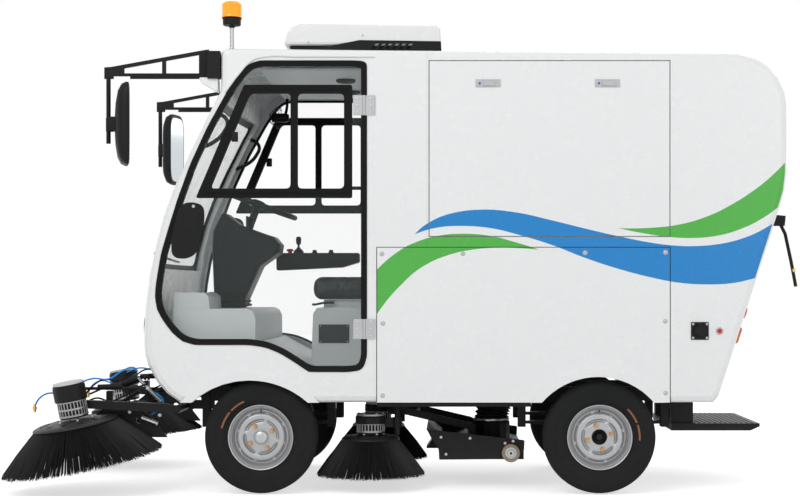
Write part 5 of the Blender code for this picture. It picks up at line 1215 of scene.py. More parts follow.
@dataclass
class Wheel:
    """One road wheel: tyre with moulded shoulders, pressed rim, nuts, hub, marks and valve."""

    end: str
    label: str
    x: float
    side: float
    axle_z: float = 0.276
    centre_y: float = 0.6125
    nut_circle: float = 0.060
    slot_circle: float = 0.1215
    mark_reach: Flat = (0.186, 0.195)
    sidewall: tuple[Flat, ...] = (
        (0.152, 0.047), (0.158, 0.0505), (0.1595, 0.056), (0.163, 0.0595), (0.168, 0.0605), (0.171, 0.0640),
        (0.176, 0.0665), (0.177, 0.0690), (0.183, 0.0698), (0.184, 0.0712), (0.200, 0.0722), (0.213, 0.0724),
        (0.214, 0.0708), (0.222, 0.0706), (0.223, 0.0716), (0.232, 0.0700), (0.241, 0.0690), (0.252, 0.0655),
        (0.262, 0.0600), (0.2690, 0.0545), (0.2705, 0.0530), (0.2715, 0.0440), (0.2660, 0.0428),
        (0.2660, 0.0392), (0.2735, 0.0380), (0.2745, 0.0175), (0.2665, 0.0163), (0.2665, 0.0127),
        (0.2750, 0.0115), (0.2755, 0.0),
    )
    pressing: tuple[Flat, ...] = (
        (0.036, 0.0300), (0.038, 0.0330), (0.046, 0.0335), (0.066, 0.0325), (0.073, 0.0290), (0.0765, 0.0215),
        (0.0815, 0.0205), (0.0850, 0.0310), (0.0890, 0.0365), (0.096, 0.0375), (0.106, 0.0370),
        (0.112, 0.0340), (0.118, 0.0240), (0.123, 0.0150), (0.129, 0.0140), (0.133, 0.0190), (0.1365, 0.0330),
        (0.140, 0.0425), (0.1455, 0.0480), (0.1475, 0.0470), (0.150, 0.0520), (0.153, 0.0560),
        (0.157, 0.0570), (0.158, 0.0545), (0.156, 0.0520), (0.1515, 0.0470), (0.149, 0.0440), (0.145, 0.0380),
        (0.141, 0.0120), (0.141, -0.0380), (0.149, -0.0450), (0.152, -0.0480), (0.157, -0.0540),
        (0.156, -0.0560), (0.150, -0.0540), (0.138, -0.0380), (0.137, 0.0060), (0.124, 0.0080),
        (0.110, 0.0070), (0.098, 0.0120), (0.084, 0.0140), (0.045, 0.0220), (0.036, 0.0240), (0.036, 0.0300),
    )
    cap: tuple[Flat, ...] = (
        (0.037, 0.028), (0.038, 0.034), (0.0365, 0.037), (0.0335, 0.0375), (0.033, 0.044), (0.031, 0.0485),
        (0.025, 0.0525), (0.013, 0.0550), (0.0, 0.0555),
    )
    deep_hub: tuple[Flat, ...] = (
        (0.037, 0.026), (0.0365, 0.034), (0.034, 0.0355), (0.0325, 0.030), (0.0310, 0.012), (0.018, 0.008),
        (0.016, 0.016), (0.012, 0.018), (0.0, 0.018),
    )

    @property
    def place(self) -> str:
        """Give the end of the names of its pieces."""
        return f"{self.end}_{self.label}"

    @property
    def steered(self) -> bool:
        """Tell whether it is a front wheel, which has a hub cap."""
        return self.end == "front"

    @property
    def centre(self) -> Point:
        """Give its centre on the axle."""
        return (self.x, self.side * self.centre_y, self.axle_z)

    @property
    def first_deg(self) -> float:
        """Give the turn of its first rib and slot, in degrees."""
        return 15.0 if self.steered else 30.0

    def spun(self, name: str, profile: Sequence[Flat], steps: int) -> Piece:
        """Spin a profile round the axle, outward from its centre."""
        return Bench.spun(name, profile, self.centre, (0.0, self.side, 0.0), steps)

    def polar(self, point: Vector) -> Vector:
        """Give a point's turn in degrees, its outward distance and its radius, from the centre."""
        way = point - Vector(self.centre)
        return Vector((math.degrees(math.atan2(way.z, way.x)), way.y * self.side, math.hypot(way.x, way.z)))

    def tyre(self) -> Piece:
        """Spin the tyre, and push every other shoulder facet in, as moulded lugs."""
        half = list(self.sidewall)
        profile = half + [(radius, -height) for radius, height in reversed(half[:-1])]
        profile += [(0.151, -0.045), (0.149, 0.0), (0.151, 0.045), half[0]]
        tyre = self.spun(f"tyre_{self.place}_moulded", profile, 96)
        Bench.pick(tyre)
        for face in tyre.data.polygons:
            turn, out, radius = self.polar(face.center)
            face.select = 0.2455 < radius < 0.2690 and abs(out) > 0.05 and turn % 7.5 < 3.75
        bpy.ops.object.mode_set(mode="EDIT")
        bpy.ops.mesh.select_mode(type="FACE")
        bpy.ops.mesh.inset(thickness=0.0012, depth=-0.0022, use_individual=False)
        bpy.ops.object.mode_set(mode="OBJECT")
        return tyre

    def rim(self) -> Piece:
        """Spin the rim, press its ribs and bore its eight slots."""
        rim = self.spun(f"rim_{self.place}_pressed", self.pressing, 96)
        self.press_ribs(rim)
        slots = []
        for turn in range(8):
            angle = math.radians(turn * 45.0 + self.first_deg)
            away = Vector((math.cos(angle), 0.0, math.sin(angle))) * self.slot_circle
            place = Vector(self.centre) + away + Vector((0.0, self.side * 0.06, 0.0))
            depth = 0.045 if turn % 2 else 0.0375
            slots.append(Bench.rod("slot", place, place - Vector((0.0, self.side * depth, 0.0)), 0.0095, 16))
        return Bench.cut(rim, Bench.join("slots", *slots))

    def press_ribs(self, rim: Piece) -> None:
        """Raise four ribs across the groove between the rim's hub plate and its shoulder."""
        for vertex in rim.data.vertices:
            turn, out, radius = self.polar(vertex.co)
            if 0.071 < radius < 0.088 and out > 0.018:
                turn = (turn - self.first_deg + 45.0) % 90.0 - 45.0
                vertex.co.y += self.side * (0.0345 - out) * math.exp(-((turn / 9.0) ** 2))

    def nuts(self) -> Piece:
        """Model one wheel nut with its stud and copy it round the hub."""
        base = Vector((self.x + self.nut_circle, self.side * (self.centre_y + 0.0325), self.axle_z))
        out = Vector((0.0, self.side, 0.0))
        nut = Bench.rod("nut", base, base + out * 0.014, 0.0105, 6, 0.0100, 0.0012)
        collar = Bench.rod("collar", base, base + out * 0.003, 0.0125, 24, 0.0118)
        stud = Bench.rod("stud", base, base + out * 0.021, 0.0048, 14, 0.0042)
        one = Bench.join(f"wheel_nuts_{self.place}", nut, collar, stud)
        return Bench.repeated(one, ring_places(4, self.centre, LEFT, 30.0 if self.steered else 15.0))

    def marks(self) -> Piece:
        """Cut thin arcs of paint that lie on the sidewall."""
        arcs = []
        count = 14
        for first, last in ((14, 40), (43, 66)) if self.x > 0 else ((134, 158), (161, 184)):
            rows = []
            for i in range(count + 1):
                angle = math.radians(first + (last - first) * i / count)
                for radius in self.mark_reach:
                    away = Vector((radius * math.cos(angle), self.side * 0.0718, radius * math.sin(angle)))
                    rows.append(Vector(self.centre) + away)
            arcs.append(Bench.slab("arc", rows[0::2] + rows[1::2][::-1], (0.0, self.side * 0.0005, 0.0)))
        return Bench.join(f"tyre_marks_{self.place}", *arcs)

    def valve(self) -> Piece:
        """Stand the valve in the rim."""
        base = Vector((self.x, self.side * (self.centre_y + 0.030), self.axle_z + 0.128))
        tip = base + Vector((0.0, self.side * 0.022, -0.004))
        return Bench.rod(f"valve_{self.place}", base, tip, 0.0035, 12, 0.0028, 0.0006)

    def build(self) -> None:
        """Build the wheel."""
        body = f"wheel_{self.place}"
        Bench.done(self.tyre(), FINISH.tyre, body, 28.0, [f"tyre_{self.place}"])
        Bench.done(self.rim(), FINISH.silver, body, 40.0, [f"rim_{self.place}"])
        Bench.done(self.nuts(), FINISH.copper_nut, body)
        hub = self.spun(f"hub_{self.place}", self.cap if self.steered else self.deep_hub, 48)
        Bench.done(hub, FINISH.steel if self.steered else FINISH.black_paint, body)
        Bench.done(self.marks(), FINISH.orange_paint, body)
        Bench.done(self.valve(), FINISH.rubber, body)


class Wheels:
    """The four road wheels."""

    def build(self) -> None:
        """Build them from front to rear."""
        for end, x in ENDS:
            for label, side in SIDES:
                Wheel(end, label, x, side).build()


@dataclass
class BodyPanels:
    """Latches, screws, sockets and rails on the body's panels."""

    skin: float = 0.70
    latch_places: tuple[tuple[float, float], ...] = ((488.2, 83.4), (607.5, 83.4))
    panel_screws: tuple[tuple[float, float], ...] = (
        (382.0, 254.0), (383.0, 323.5), (382.6, 395.6), (463.0, 253.8), (585.0, 252.8), (665.3, 252.3),
        (665.3, 321.4), (665.6, 393.1),
    )

    def outer(self, x: float, y: float, out: float = 0.0) -> Vector:
        """Give a point on the left skin at a pixel, moved out by a distance."""
        forward, up = VIEW.at(x, y)
        return Vector((forward, self.skin + out, up))

    def latches(self) -> None:
        """Fit the two flush paddle latches of each upper side door."""
        plates, keys = [], []
        for x, y in self.latch_places:
            low = self.outer(x + 12.6, y + 3.9, -0.001)
            high = self.outer(x - 12.6, y - 3.9, 0.003)
            plate = Bench.block("plate", low, high, 0.0025, 2)
            well_low = self.outer(x + 7.5, y + 2.6, -0.0005)
            well = Bench.block("well", well_low, self.outer(x - 5.0, y - 2.6, 0.01), 0.0012, 1)
            plate = Bench.cut(plate, well)
            paddle = Bench.block(
                "paddle", self.outer(x + 7.1, y + 2.2, 0.0), self.outer(x - 4.6, y - 2.2, 0.0038), 0.001, 2
            )
            plates.append(Bench.join("latch", plate, paddle))
            lock = self.outer(x - 8.6, y, 0.0028)
            keys.append(Bench.rod("key", lock, lock + Vector((0.0, 0.0022, 0.0)), 0.0062, 20, 0.0056, 0.0005))
        Bench.both(Bench.join("latches_left", *plates), FINISH.steel, "service_door_{side}")
        Bench.both(Bench.join("latch_keys_left", *keys), FINISH.blue_mark, "service_door_{side}")

    def screw(self, place: Vector, out: Vector, radius: float = 0.0085) -> Piece:
        """Model a screw with a rounded head, a washer and a hexagon socket.

        Args:
            place: Where it meets the skin.
            out: Outward direction.
            radius: Radius of its head.

        Returns:
            The piece.
        """
        profile = [
            (radius * 1.35, 0.0), (radius * 1.35, radius * 0.12), (radius, radius * 0.16),
            (radius * 0.96, radius * 0.34),
            (radius * 0.72, radius * 0.56), (radius * 0.42, radius * 0.62), (radius * 0.40, radius * 0.25),
            (0.0, radius * 0.25),
        ]
        return Bench.spun("screw", profile, place, out, 20)

    def screws(self) -> None:
        """Put the round headed screws into the bolted lower panels."""
        out = Vector(LEFT)
        heads = [self.screw(self.outer(x, y, -0.0002), out) for x, y in self.panel_screws]
        Bench.both(Bench.join("panel_screws_left", *heads), FINISH.steel)

    def seams(self) -> None:
        """Lay the dark joint lines round the bolted panels and the rear wall of the cab."""
        lines = []
        rows = (
            (
                (376.3, 246.9), (670.5, 247.6)
            ), ((376.3, 246.9), (377.1, 402.0)), ((669.8, 246.9), (670.6, 402.0)),
        )
        for (x_low, y_high), (x_high, y_low) in rows:
            lines.append(
                Bench.block(
                    "line", self.outer(x_high, y_low, -0.001), self.outer(x_low, y_high, 0.0004), 0.0002, 1
                )
            )
        Bench.both(Bench.join("panel_seams_left", *lines), FINISH.seam_dark)

    def socket(self) -> None:
        """Fit the charging socket on the left panel with its cap, screws and hinge."""
        centre = self.outer(699.7, 330.9, 0.0)
        half = 0.0425
        plate = Bench.block(
            "charging_socket",
            centre + Vector((-half, -0.0005, -half)),
            centre + Vector((half, 0.006, half)),
            0.004,
            3,
        )
        rim = Bench.spun(
            "rim",
            [(0.0, 0.022), (0.022, 0.022), (0.0255, 0.019), (0.0265, 0.010), (0.029, 0.008), (0.029, 0.004)],
            centre,
            LEFT,
            40,
        )
        ears = []
        for turn in range(12):
            angle = math.tau * turn / 12
            ear = centre + Vector((0.0262 * math.cos(angle), 0.012, 0.0262 * math.sin(angle)))
            ears.append(Bench.rod("ear", ear, ear + Vector((0.0, 0.008, 0.0)), 0.0022, 8))
        hinge = Bench.rod(
            "hinge", centre + Vector((-0.014, 0.016, 0.031)), centre + Vector((0.014, 0.016, 0.031)), 0.0045,
            14,
        )
        tongue = Bench.block(
            "tongue", centre + Vector((-0.010, 0.012, 0.016)), centre + Vector((0.010, 0.021, 0.033)), 0.002,
            2,
        )
        piece = Bench.join("charging_socket", plate, rim, hinge, tongue, *ears)
        Bench.done(piece, FINISH.black_plastic)
        corners = [
            self.screw(centre + Vector((x * 0.033, 0.0058, z * 0.033)), Vector(LEFT), 0.0042)
            for x in (-1, 1)
            for z in (-1, 1)
        ]
        Bench.done(Bench.join("socket_screws", *corners), FINISH.steel)

    def button(self) -> None:
        """Fit the round push button with its ring beside the socket."""
        centre = self.outer(719.4, 331.0, -0.0003)
        out = LEFT
        ring = Bench.spun(
            "ring",
            [(0.011, 0.0), (0.0185, 0.0), (0.0185, 0.003), (0.016, 0.005), (0.012, 0.005), (0.011, 0.0)],
            centre, out, 40,
        )
        Bench.done(Bench.join("button_ring", ring), FINISH.steel)
        cap = Bench.spun(
            "button_cap", [(0.0, 0.0085), (0.008, 0.0080), (0.0112, 0.0062), (0.0118, 0.001), (0.0, 0.001)],
            centre, out, 36,
        )
        Bench.done(cap, FINISH.red_button)

    def drip_rails(self) -> None:
        """Bend the rubber drip rail over each cab door."""
        corners = [
            (225.5, 92.5), (240.0, 73.5), (252.0, 61.0), (261.5, 57.6), (300.0, 57.2), (352.0, 57.2),
            (375.0, 57.4),
        ]
        points = [self.outer(x, y, 0.0015) for x, y in corners]
        rail = Bench.tube("drip_rail_left", points, 0.0035)
        Bench.both(rail, FINISH.light_grey)

    def sill(self) -> None:
        """Line the lower edge of the bolted panels with a grey rubber strip."""
        low = self.outer(531.0, 406.8, -0.012)
        strip = Bench.block("sill_strip_left", low, self.outer(377.2, 402.6, -0.001), 0.002, 2)
        Bench.both(strip, FINISH.rubber)

    def build(self) -> None:
        """Build every fitting of the panels."""
        self.latches()
        self.screws()
        self.seams()
        self.socket()
        self.button()
        self.drip_rails()
        self.sill()


@dataclass
class Brush:
    """One sweeping brush: slotted disc, rows of bristles and its centre plate.

    Each row gives shares of the radius and depth where its bristles start, and of their reach.
    """

    tip: Vector
    axis: Vector
    radius: float
    depth: float
    body: str
    name: str
    tufts: int = 150
    strands: int = 7
    seed: int = 11
    rows: tuple[Point, ...] = ((0.50, 0.97, 1.0), (0.46, 0.93, 0.93), (0.42, 0.90, 0.86))

    def frame(self) -> Matrix:
        """Give the turn and place of the brush's own axes."""
        return standing(self.tip, self.axis)

    def strand(self) -> Piece:
        """Model one bristle, bent once, along its own X axis."""
        bristle = Bench.rod("strand", ORIGIN, AHEAD, 0.0032, 3, 0.0011)
        Bench.pick(bristle)
        bpy.ops.object.mode_set(mode="EDIT")
        bpy.ops.mesh.select_all(action="SELECT")
        bpy.ops.mesh.bisect(plane_co=(0.55, 0.0, 0.0), plane_no=AHEAD)
        bpy.ops.object.mode_set(mode="OBJECT")
        for vertex in bristle.data.vertices:
            share = max(0.0, vertex.co.x - 0.55) / 0.45
            vertex.co.z -= 0.006 * share
        return bristle

    def skirt(self) -> Piece:
        """Spread bristles in rows from the disc's rim down to the tips."""
        chance = random.Random(self.seed)
        places = []
        for row, (start, low, reach) in enumerate(self.rows):
            for tuft in range(self.tufts):
                middle = math.tau * (tuft + row * 0.5) / self.tufts
                for _ in range(self.strands):
                    angle = middle + chance.uniform(-0.5, 0.5) * math.tau / self.tufts * 1.6
                    first = Vector((self.radius * start, 0.0, self.depth * low))
                    end = Vector(
                        (
                            self.radius * reach * chance.uniform(0.955, 0.995), 0.0,
                            self.depth * chance.uniform(0.0, 0.075),
                        )
                    )
                    way = end - first
                    turn = Matrix.Rotation(math.atan2(-way.z, way.x), 4, "Y")
                    size = Matrix.Diagonal((way.length, 1.0, 1.0, 1.0))
                    lean = Matrix.Rotation(chance.uniform(-0.06, 0.06), 4, "Z")
                    stand = self.frame() @ Matrix.Rotation(angle, 4, "Z")
                    places.append(stand @ Matrix.Translation(first) @ lean @ turn @ size)
        piece = self.strand()
        source = piece.data
        corners, faces = [], []
        for place in places:
            base = len(corners)
            corners += [place @ vertex.co for vertex in source.vertices]
            faces += [tuple(base + index for index in face.vertices) for face in source.polygons]
        mesh = bpy.data.meshes.new(self.name)
        mesh.from_pydata(corners, [], faces)
        piece.data = mesh
        piece.name = self.name
        return piece

    def disc(self) -> Piece:
        """Spin the disc with its step and flange, and cut a ring of slots."""
        r, d = self.radius, self.depth
        profile = [
            (0.0, d * 0.90), (r * 0.36, d * 0.90), (r * 0.47, d * 0.91), (r * 0.515, d * 0.955),
            (r * 0.525, d * 0.985),
            (r * 0.515, d + 0.004), (r * 0.46, d + 0.013), (r * 0.38, d + 0.016), (r * 0.30, d + 0.015),
            (r * 0.27, d + 0.020), (r * 0.18, d + 0.021), (0.0, d + 0.021),
        ]
        disc = Bench.spun(self.name + "_disc", profile, ORIGIN, UP, 64)
        slot = Bench.block(
            "slot", (r * 0.33, -r * 0.035, d * 0.80), (r * 0.43, r * 0.035, d + 0.05), 0.003, 1
        )
        disc = Bench.cut(disc, Bench.repeated(slot, ring_places(12, ORIGIN, UP)))
        disc.data.transform(self.frame())
        return disc

    def bolts(self) -> Piece:
        """Copy a bolt round the disc's middle."""
        r, d = self.radius, self.depth
        bolt = Bench.rod(
            "bolt", (r * 0.225, 0.0, d + 0.020), (r * 0.225, 0.0, d + 0.028), 0.0075, 6, 0.0070, 0.0008
        )
        bolts = Bench.repeated(bolt, ring_places(6, ORIGIN, UP))
        bolts.data.transform(self.frame())
        return bolts

    def build(self, stands_for: str) -> None:
        """Build the brush in place of its CAD node.

        Args:
            stands_for: The node that the bristles and disc replace.
        """
        Bench.done(self.disc(), FINISH.disc, self.body, 40.0, [stands_for])
        Bench.done(self.skirt(), FINISH.bristle, self.body, 60.0)
        Bench.done(Bench.join(self.name + "_bolts", self.bolts()), FINISH.steel, self.body)
        shaft = Bench.rod(
            self.name + "_shaft", (0.0, 0.0, self.depth + 0.018), (0.0, 0.0, self.depth + 0.030), 0.016, 24
        )
        shaft.data.transform(self.frame())
        Bench.done(shaft, FINISH.steel, self.body)


@dataclass
class SweepGear:
    """The four brushes with their motors, arms, cylinders and water tubes."""

    front_tip: Point = (1.553, 0.60, 0.151)
    front_depth: float = 0.19
    mid_tip: Point = (0.162, 0.42, 0.07)
    mid_depth: float = 0.18
    truss_y: float = 0.50
    truss_edge: tuple[Flat, ...] = (
        (92, 418), (108, 405), (131, 404.7), (150, 414), (168, 437), (150, 437), (128, 424), (104, 428),
    )
    truss_holes: tuple[Flat, ...] = ((140, 420), (116, 416))

    def front_axis(self, side: float) -> Vector:
        """Give the tilted shaft of a front brush."""
        return Vector((math.tan(math.radians(9.7)), side * math.tan(math.radians(4.0)), 1.0)).normalized()

    def motor(self, name: str, low: float, frame: Matrix, body: str, length: float, cap: float) -> None:
        """Build a finned alloy motor with its black cap and pale lid.

        Args:
            name: Start of the pieces' names.
            low: Height of its foot above the bristle tips.
            frame: The brush's axes.
            body: The arm that carries it.
            length: Height of its finned part.
            cap: Height of its cap, or zero.
        """
        high = low + length
        profile = [(0.0, low - 0.002), (0.050, low - 0.002), (0.062, low + 0.002), (0.0655, low + 0.005)]
        for middle in (low + 0.012, low + length * 0.52, high - 0.004):
            profile += [
                (0.0655, middle - 0.005), (0.0712, middle - 0.004), (0.0712, middle + 0.004),
                (0.0655, middle + 0.005), (0.0655, middle + 0.006),
            ]
        profile = profile[:-2] + [(0.0, high)]
        core = Bench.spun(name + "_motor", profile, ORIGIN, UP, 48)
        rib = Bench.block("rib", (0.0640, -0.0026, low + 0.008), (0.0704, 0.0026, high - 0.006), 0.001, 1)
        ribs = Bench.repeated(rib, ring_places(26, ORIGIN, UP))
        motor = Bench.join(name + "_motor", core, ribs)
        motor.data.transform(frame)
        Bench.done(motor, FINISH.alloy, body, 30.0)
        if cap:
            top = high
            shape = [
                (0.0, top - 0.002), (0.077, top - 0.002), (0.0785, top + 0.004), (0.0785, top + cap * 0.72),
                (0.075, top + cap * 0.86), (0.070, top + cap * 0.90), (0.0, top + cap * 0.90),
            ]
            cover = Bench.spun(name + "_cap", shape, ORIGIN, UP, 48)
            cover.data.transform(frame)
            Bench.done(cover, FINISH.black_plastic, body)
            lid = Bench.spun(
                name + "_lid",
                [
                    (0.0, top + cap * 0.88), (0.0735, top + cap * 0.88), (0.0735, top + cap * 0.97),
                    (0.069, top + cap * 1.005), (0.0, top + cap * 1.02),
                ],
                ORIGIN,
                UP,
                48,
            )
            lid.data.transform(frame)
            Bench.done(lid, FINISH.light_grey, body)
        else:
            bolt = Bench.rod("bolt", (0.060, 0.0, high - 0.001), (0.060, 0.0, high + 0.006), 0.005, 6)
            bolts = Bench.repeated(bolt, ring_places(6, ORIGIN, UP))
            bolts.data.transform(frame)
            Bench.done(Bench.join(name + "_motor_bolts", bolts), FINISH.steel, body)

    def arm_linkage(self) -> None:
        """Add the upper links, valve block, cables and bolt eyes beside the left front arm."""
        rods = []
        for start, end, radius in (
            (
                (84.0, 388.5, 0.52), (147.0, 388.0, 0.52), 0.0075
            ), ((98.0, 387.0, 0.52), (122.0, 386.0, 0.52), 0.0125),
            ((90.0, 394.0, 0.54), (112.0, 384.0, 0.50), 0.0050), (
                (112.0, 408.0, 0.47), (140.0, 391.0, 0.47), 0.0095
            ),
        ):
            rods.append(Bench.rod("link", VIEW.spot(*start), VIEW.spot(*end), radius, 16, edge=0.0015))
        block = VIEW.spot(114.0, 405.0, 0.44), VIEW.spot(106.0, 391.0, 0.49)
        low = tuple(min(a, b) for a, b in zip(*block))
        high = tuple(max(a, b) for a, b in zip(*block))
        rods.append(Bench.block("valve", low, high, 0.004, 2))
        for x, z in ((108, 390.0), (112, 390.0)):
            rods.append(Bench.rod("port", VIEW.spot(x, z, 0.465), VIEW.spot(x, z - 4.0, 0.465), 0.008, 6))
        Bench.both(Bench.join("arm_links_left", *rods), FINISH.black_plastic, "front_arm_{side}")
        cables = []
        for across, pixels in (
            (0.53, ((84, 396), (95, 384), (104, 379.5), (118, 380.5), (130, 376), (137, 371))),
            (0.50, ((86, 402), (97, 398), (110, 401), (124, 396), (136, 388), (147, 384))),
        ):
            cables.append(Bench.tube("cable", [VIEW.spot(x, z, across) for x, z in pixels], 0.0045))
        Bench.both(Bench.join("arm_cables_left", *cables), FINISH.rubber, "front_arm_{side}")
        eyes = []
        for x, z, across in (
            (148.0, 388.0, 0.52), (160.0, 415.0, 0.516), (130.0, 412.0, 0.516), (104.0, 421.0, 0.516)
        ):
            forward, up = VIEW.at(x, z, across)
            eyes.append(
                Bench.rod(
                    "eye", (forward, across - 0.008, up), (forward, across + 0.010, up), 0.0095, 6, 0.0090,
                    0.001,
                )
            )
        Bench.both(Bench.join("arm_bolts_left", *eyes), FINISH.steel, "front_arm_{side}")

    def front_arm_parts(self) -> None:
        """Build the left front arm's lift cylinder, gas spring, truss and tubes, and mirror them."""
        body = "front_arm_{side}"
        self.arm_linkage()
        y = self.truss_y
        outline = [VIEW.at(x, z, y) for x, z in self.truss_edge]
        truss = Bench.side_slab("arm_truss_left", outline, y, y + 0.016, 0.002)
        for x, z in self.truss_holes:
            forward, up = VIEW.at(x, z, y)
            Bench.cut(truss, Bench.rod("hole", (forward, y - 0.03, up), (forward, y + 0.05, up), 0.016, 20))
        Bench.both(truss, FINISH.black_paint, body)
        start, end = VIEW.at(121.5, 381, 0.45), VIEW.at(138, 372, 0.45)
        rod_end = VIEW.at(161, 401, 0.45)
        barrel = Bench.rod(
            "lift_cylinder_left", (start[0], 0.45, start[1] - 0.02), (end[0], 0.45, end[1] - 0.03), 0.024, 28,
            edge=0.003,
        )
        Bench.both(barrel, FINISH.black_paint, body)
        piston = Bench.rod(
            "lift_rod_left", (end[0], 0.45, end[1] - 0.03), (rod_end[0], 0.45, rod_end[1]), 0.009, 18
        )
        Bench.both(piston, FINISH.steel, body)
        spring_start, spring_end = VIEW.at(141, 418, 0.55), VIEW.at(157, 424, 0.55)
        damper = Bench.rod(
            "arm_damper_left", (spring_start[0], 0.535, spring_start[1]),
            (spring_end[0], 0.535, spring_end[1]), 0.012, 20, edge=0.002,
        )
        Bench.both(damper, FINISH.steel, body)
        tubes = (
            (
                (138.0, 371.5), (133.5, 367.5), (122.7, 370.7), (108.6, 379), (92.9, 378.5), (78, 384),
                (66, 390),
            ),
            ((62, 396), (50.6, 393), (41, 397), (35.7, 404.7), (34.8, 409)),
            ((156, 392.7), (159, 395), (163.3, 400.5), (160, 408), (152, 414)),
        )
        parts = []
        for i, pixels in enumerate(tubes):
            depth = 0.56 if i < 2 else 0.52
            parts.append(Bench.tube("tube", [VIEW.spot(x, z, depth) for x, z in pixels], 0.0042))
        Bench.both(Bench.join("water_tubes_left", *parts), FINISH.blue_tube, body)
        x, z = VIEW.at(34.8, 404, 0.56)
        nozzle = Bench.spun(
            "spray_tip_left",
            [
                (0.0, 0.0), (0.006, 0.0), (0.007, 0.012), (0.0105, 0.014), (0.0105, 0.026), (0.007, 0.028),
                (0.0065, 0.040), (0.0, 0.040),
            ],
            (x, 0.56, z - 0.040),
            UP,
            20,
        )
        Bench.both(nozzle, FINISH.brass, body)

    def build(self) -> None:
        """Build the brushes and what carries them."""
        for label, side in SIDES:
            tip = Vector((self.front_tip[0], side * self.front_tip[1], self.front_tip[2]))
            axis = self.front_axis(side)
            brush = Brush(
                tip, axis, 0.395, self.front_depth, f"front_brush_{label}", f"front_bristles_{label}"
            )
            brush.build(f"front_brush_{label}")
            frame = standing(tip, axis)
            self.motor(f"front_{label}", self.front_depth + 0.0325, frame, f"front_arm_{label}", 0.085, 0.09)
            tip = Vector((self.mid_tip[0], side * self.mid_tip[1], self.mid_tip[2]))
            axis = Vector(UP)
            brush = Brush(
                tip, axis, 0.275, self.mid_depth, f"mid_brush_{label}", f"mid_bristles_{label}", 110
            )
            brush.build(f"mid_brush_{label}")
            frame = standing(tip, axis)
            self.motor(f"mid_{label}", self.mid_depth + 0.0245, frame, f"mid_arm_{label}", 0.098, 0.0)
        self.front_arm_parts()


def rounded(corners: Sequence[Flat], radius: float, steps: int = 4) -> list[Flat]:
    """Round the corners of a closed outline.

    Args:
        corners: Its corners in order.
        radius: Most that a corner is cut back along its sides.
        steps: Stretches in a rounded corner.

    Returns:
        The rounded outline.
    """
    outline = []
    for i, corner in enumerate(corners):
        middle = Vector(corner)
        sides = [Vector(corners[i - 1]) - middle, Vector(corners[(i + 1) % len(corners)]) - middle]
        first, last = (middle + way.normalized() * min(radius, way.length * 0.48) for way in sides)
        for step in range(steps + 1):
            share = step / steps
            point = first * (1 - share) ** 2 + middle * (2 * share * (1 - share)) + last * share**2
            outline.append((point.x, point.y))
    return outline


def inset(outline: Sequence[Flat], depth: float) -> list[Flat]:
    """Move a closed outline in by a depth, or out by a negative one.

    Args:
        outline: Its points in order.
        depth: How far it moves toward its middle.

    Returns:
        The moved outline.
    """
    points = [Vector(point) for point in outline]
    area = sum(a.x * b.y - b.x * a.y for a, b in zip(points, points[1:] + points[:1]))
    sign = 1.0 if area > 0 else -1.0
    moved = []
    for i, point in enumerate(points):
        back = (point - points[i - 1]).normalized()
        ahead = (points[(i + 1) % len(points)] - point).normalized()
        normal = Vector((-(back.y + ahead.y), back.x + ahead.x)).normalized() * sign
        stretch = max(0.5, normal.dot(Vector((-back.y, back.x)) * sign))
        moved.append(tuple(point + normal * depth / stretch))
    return moved


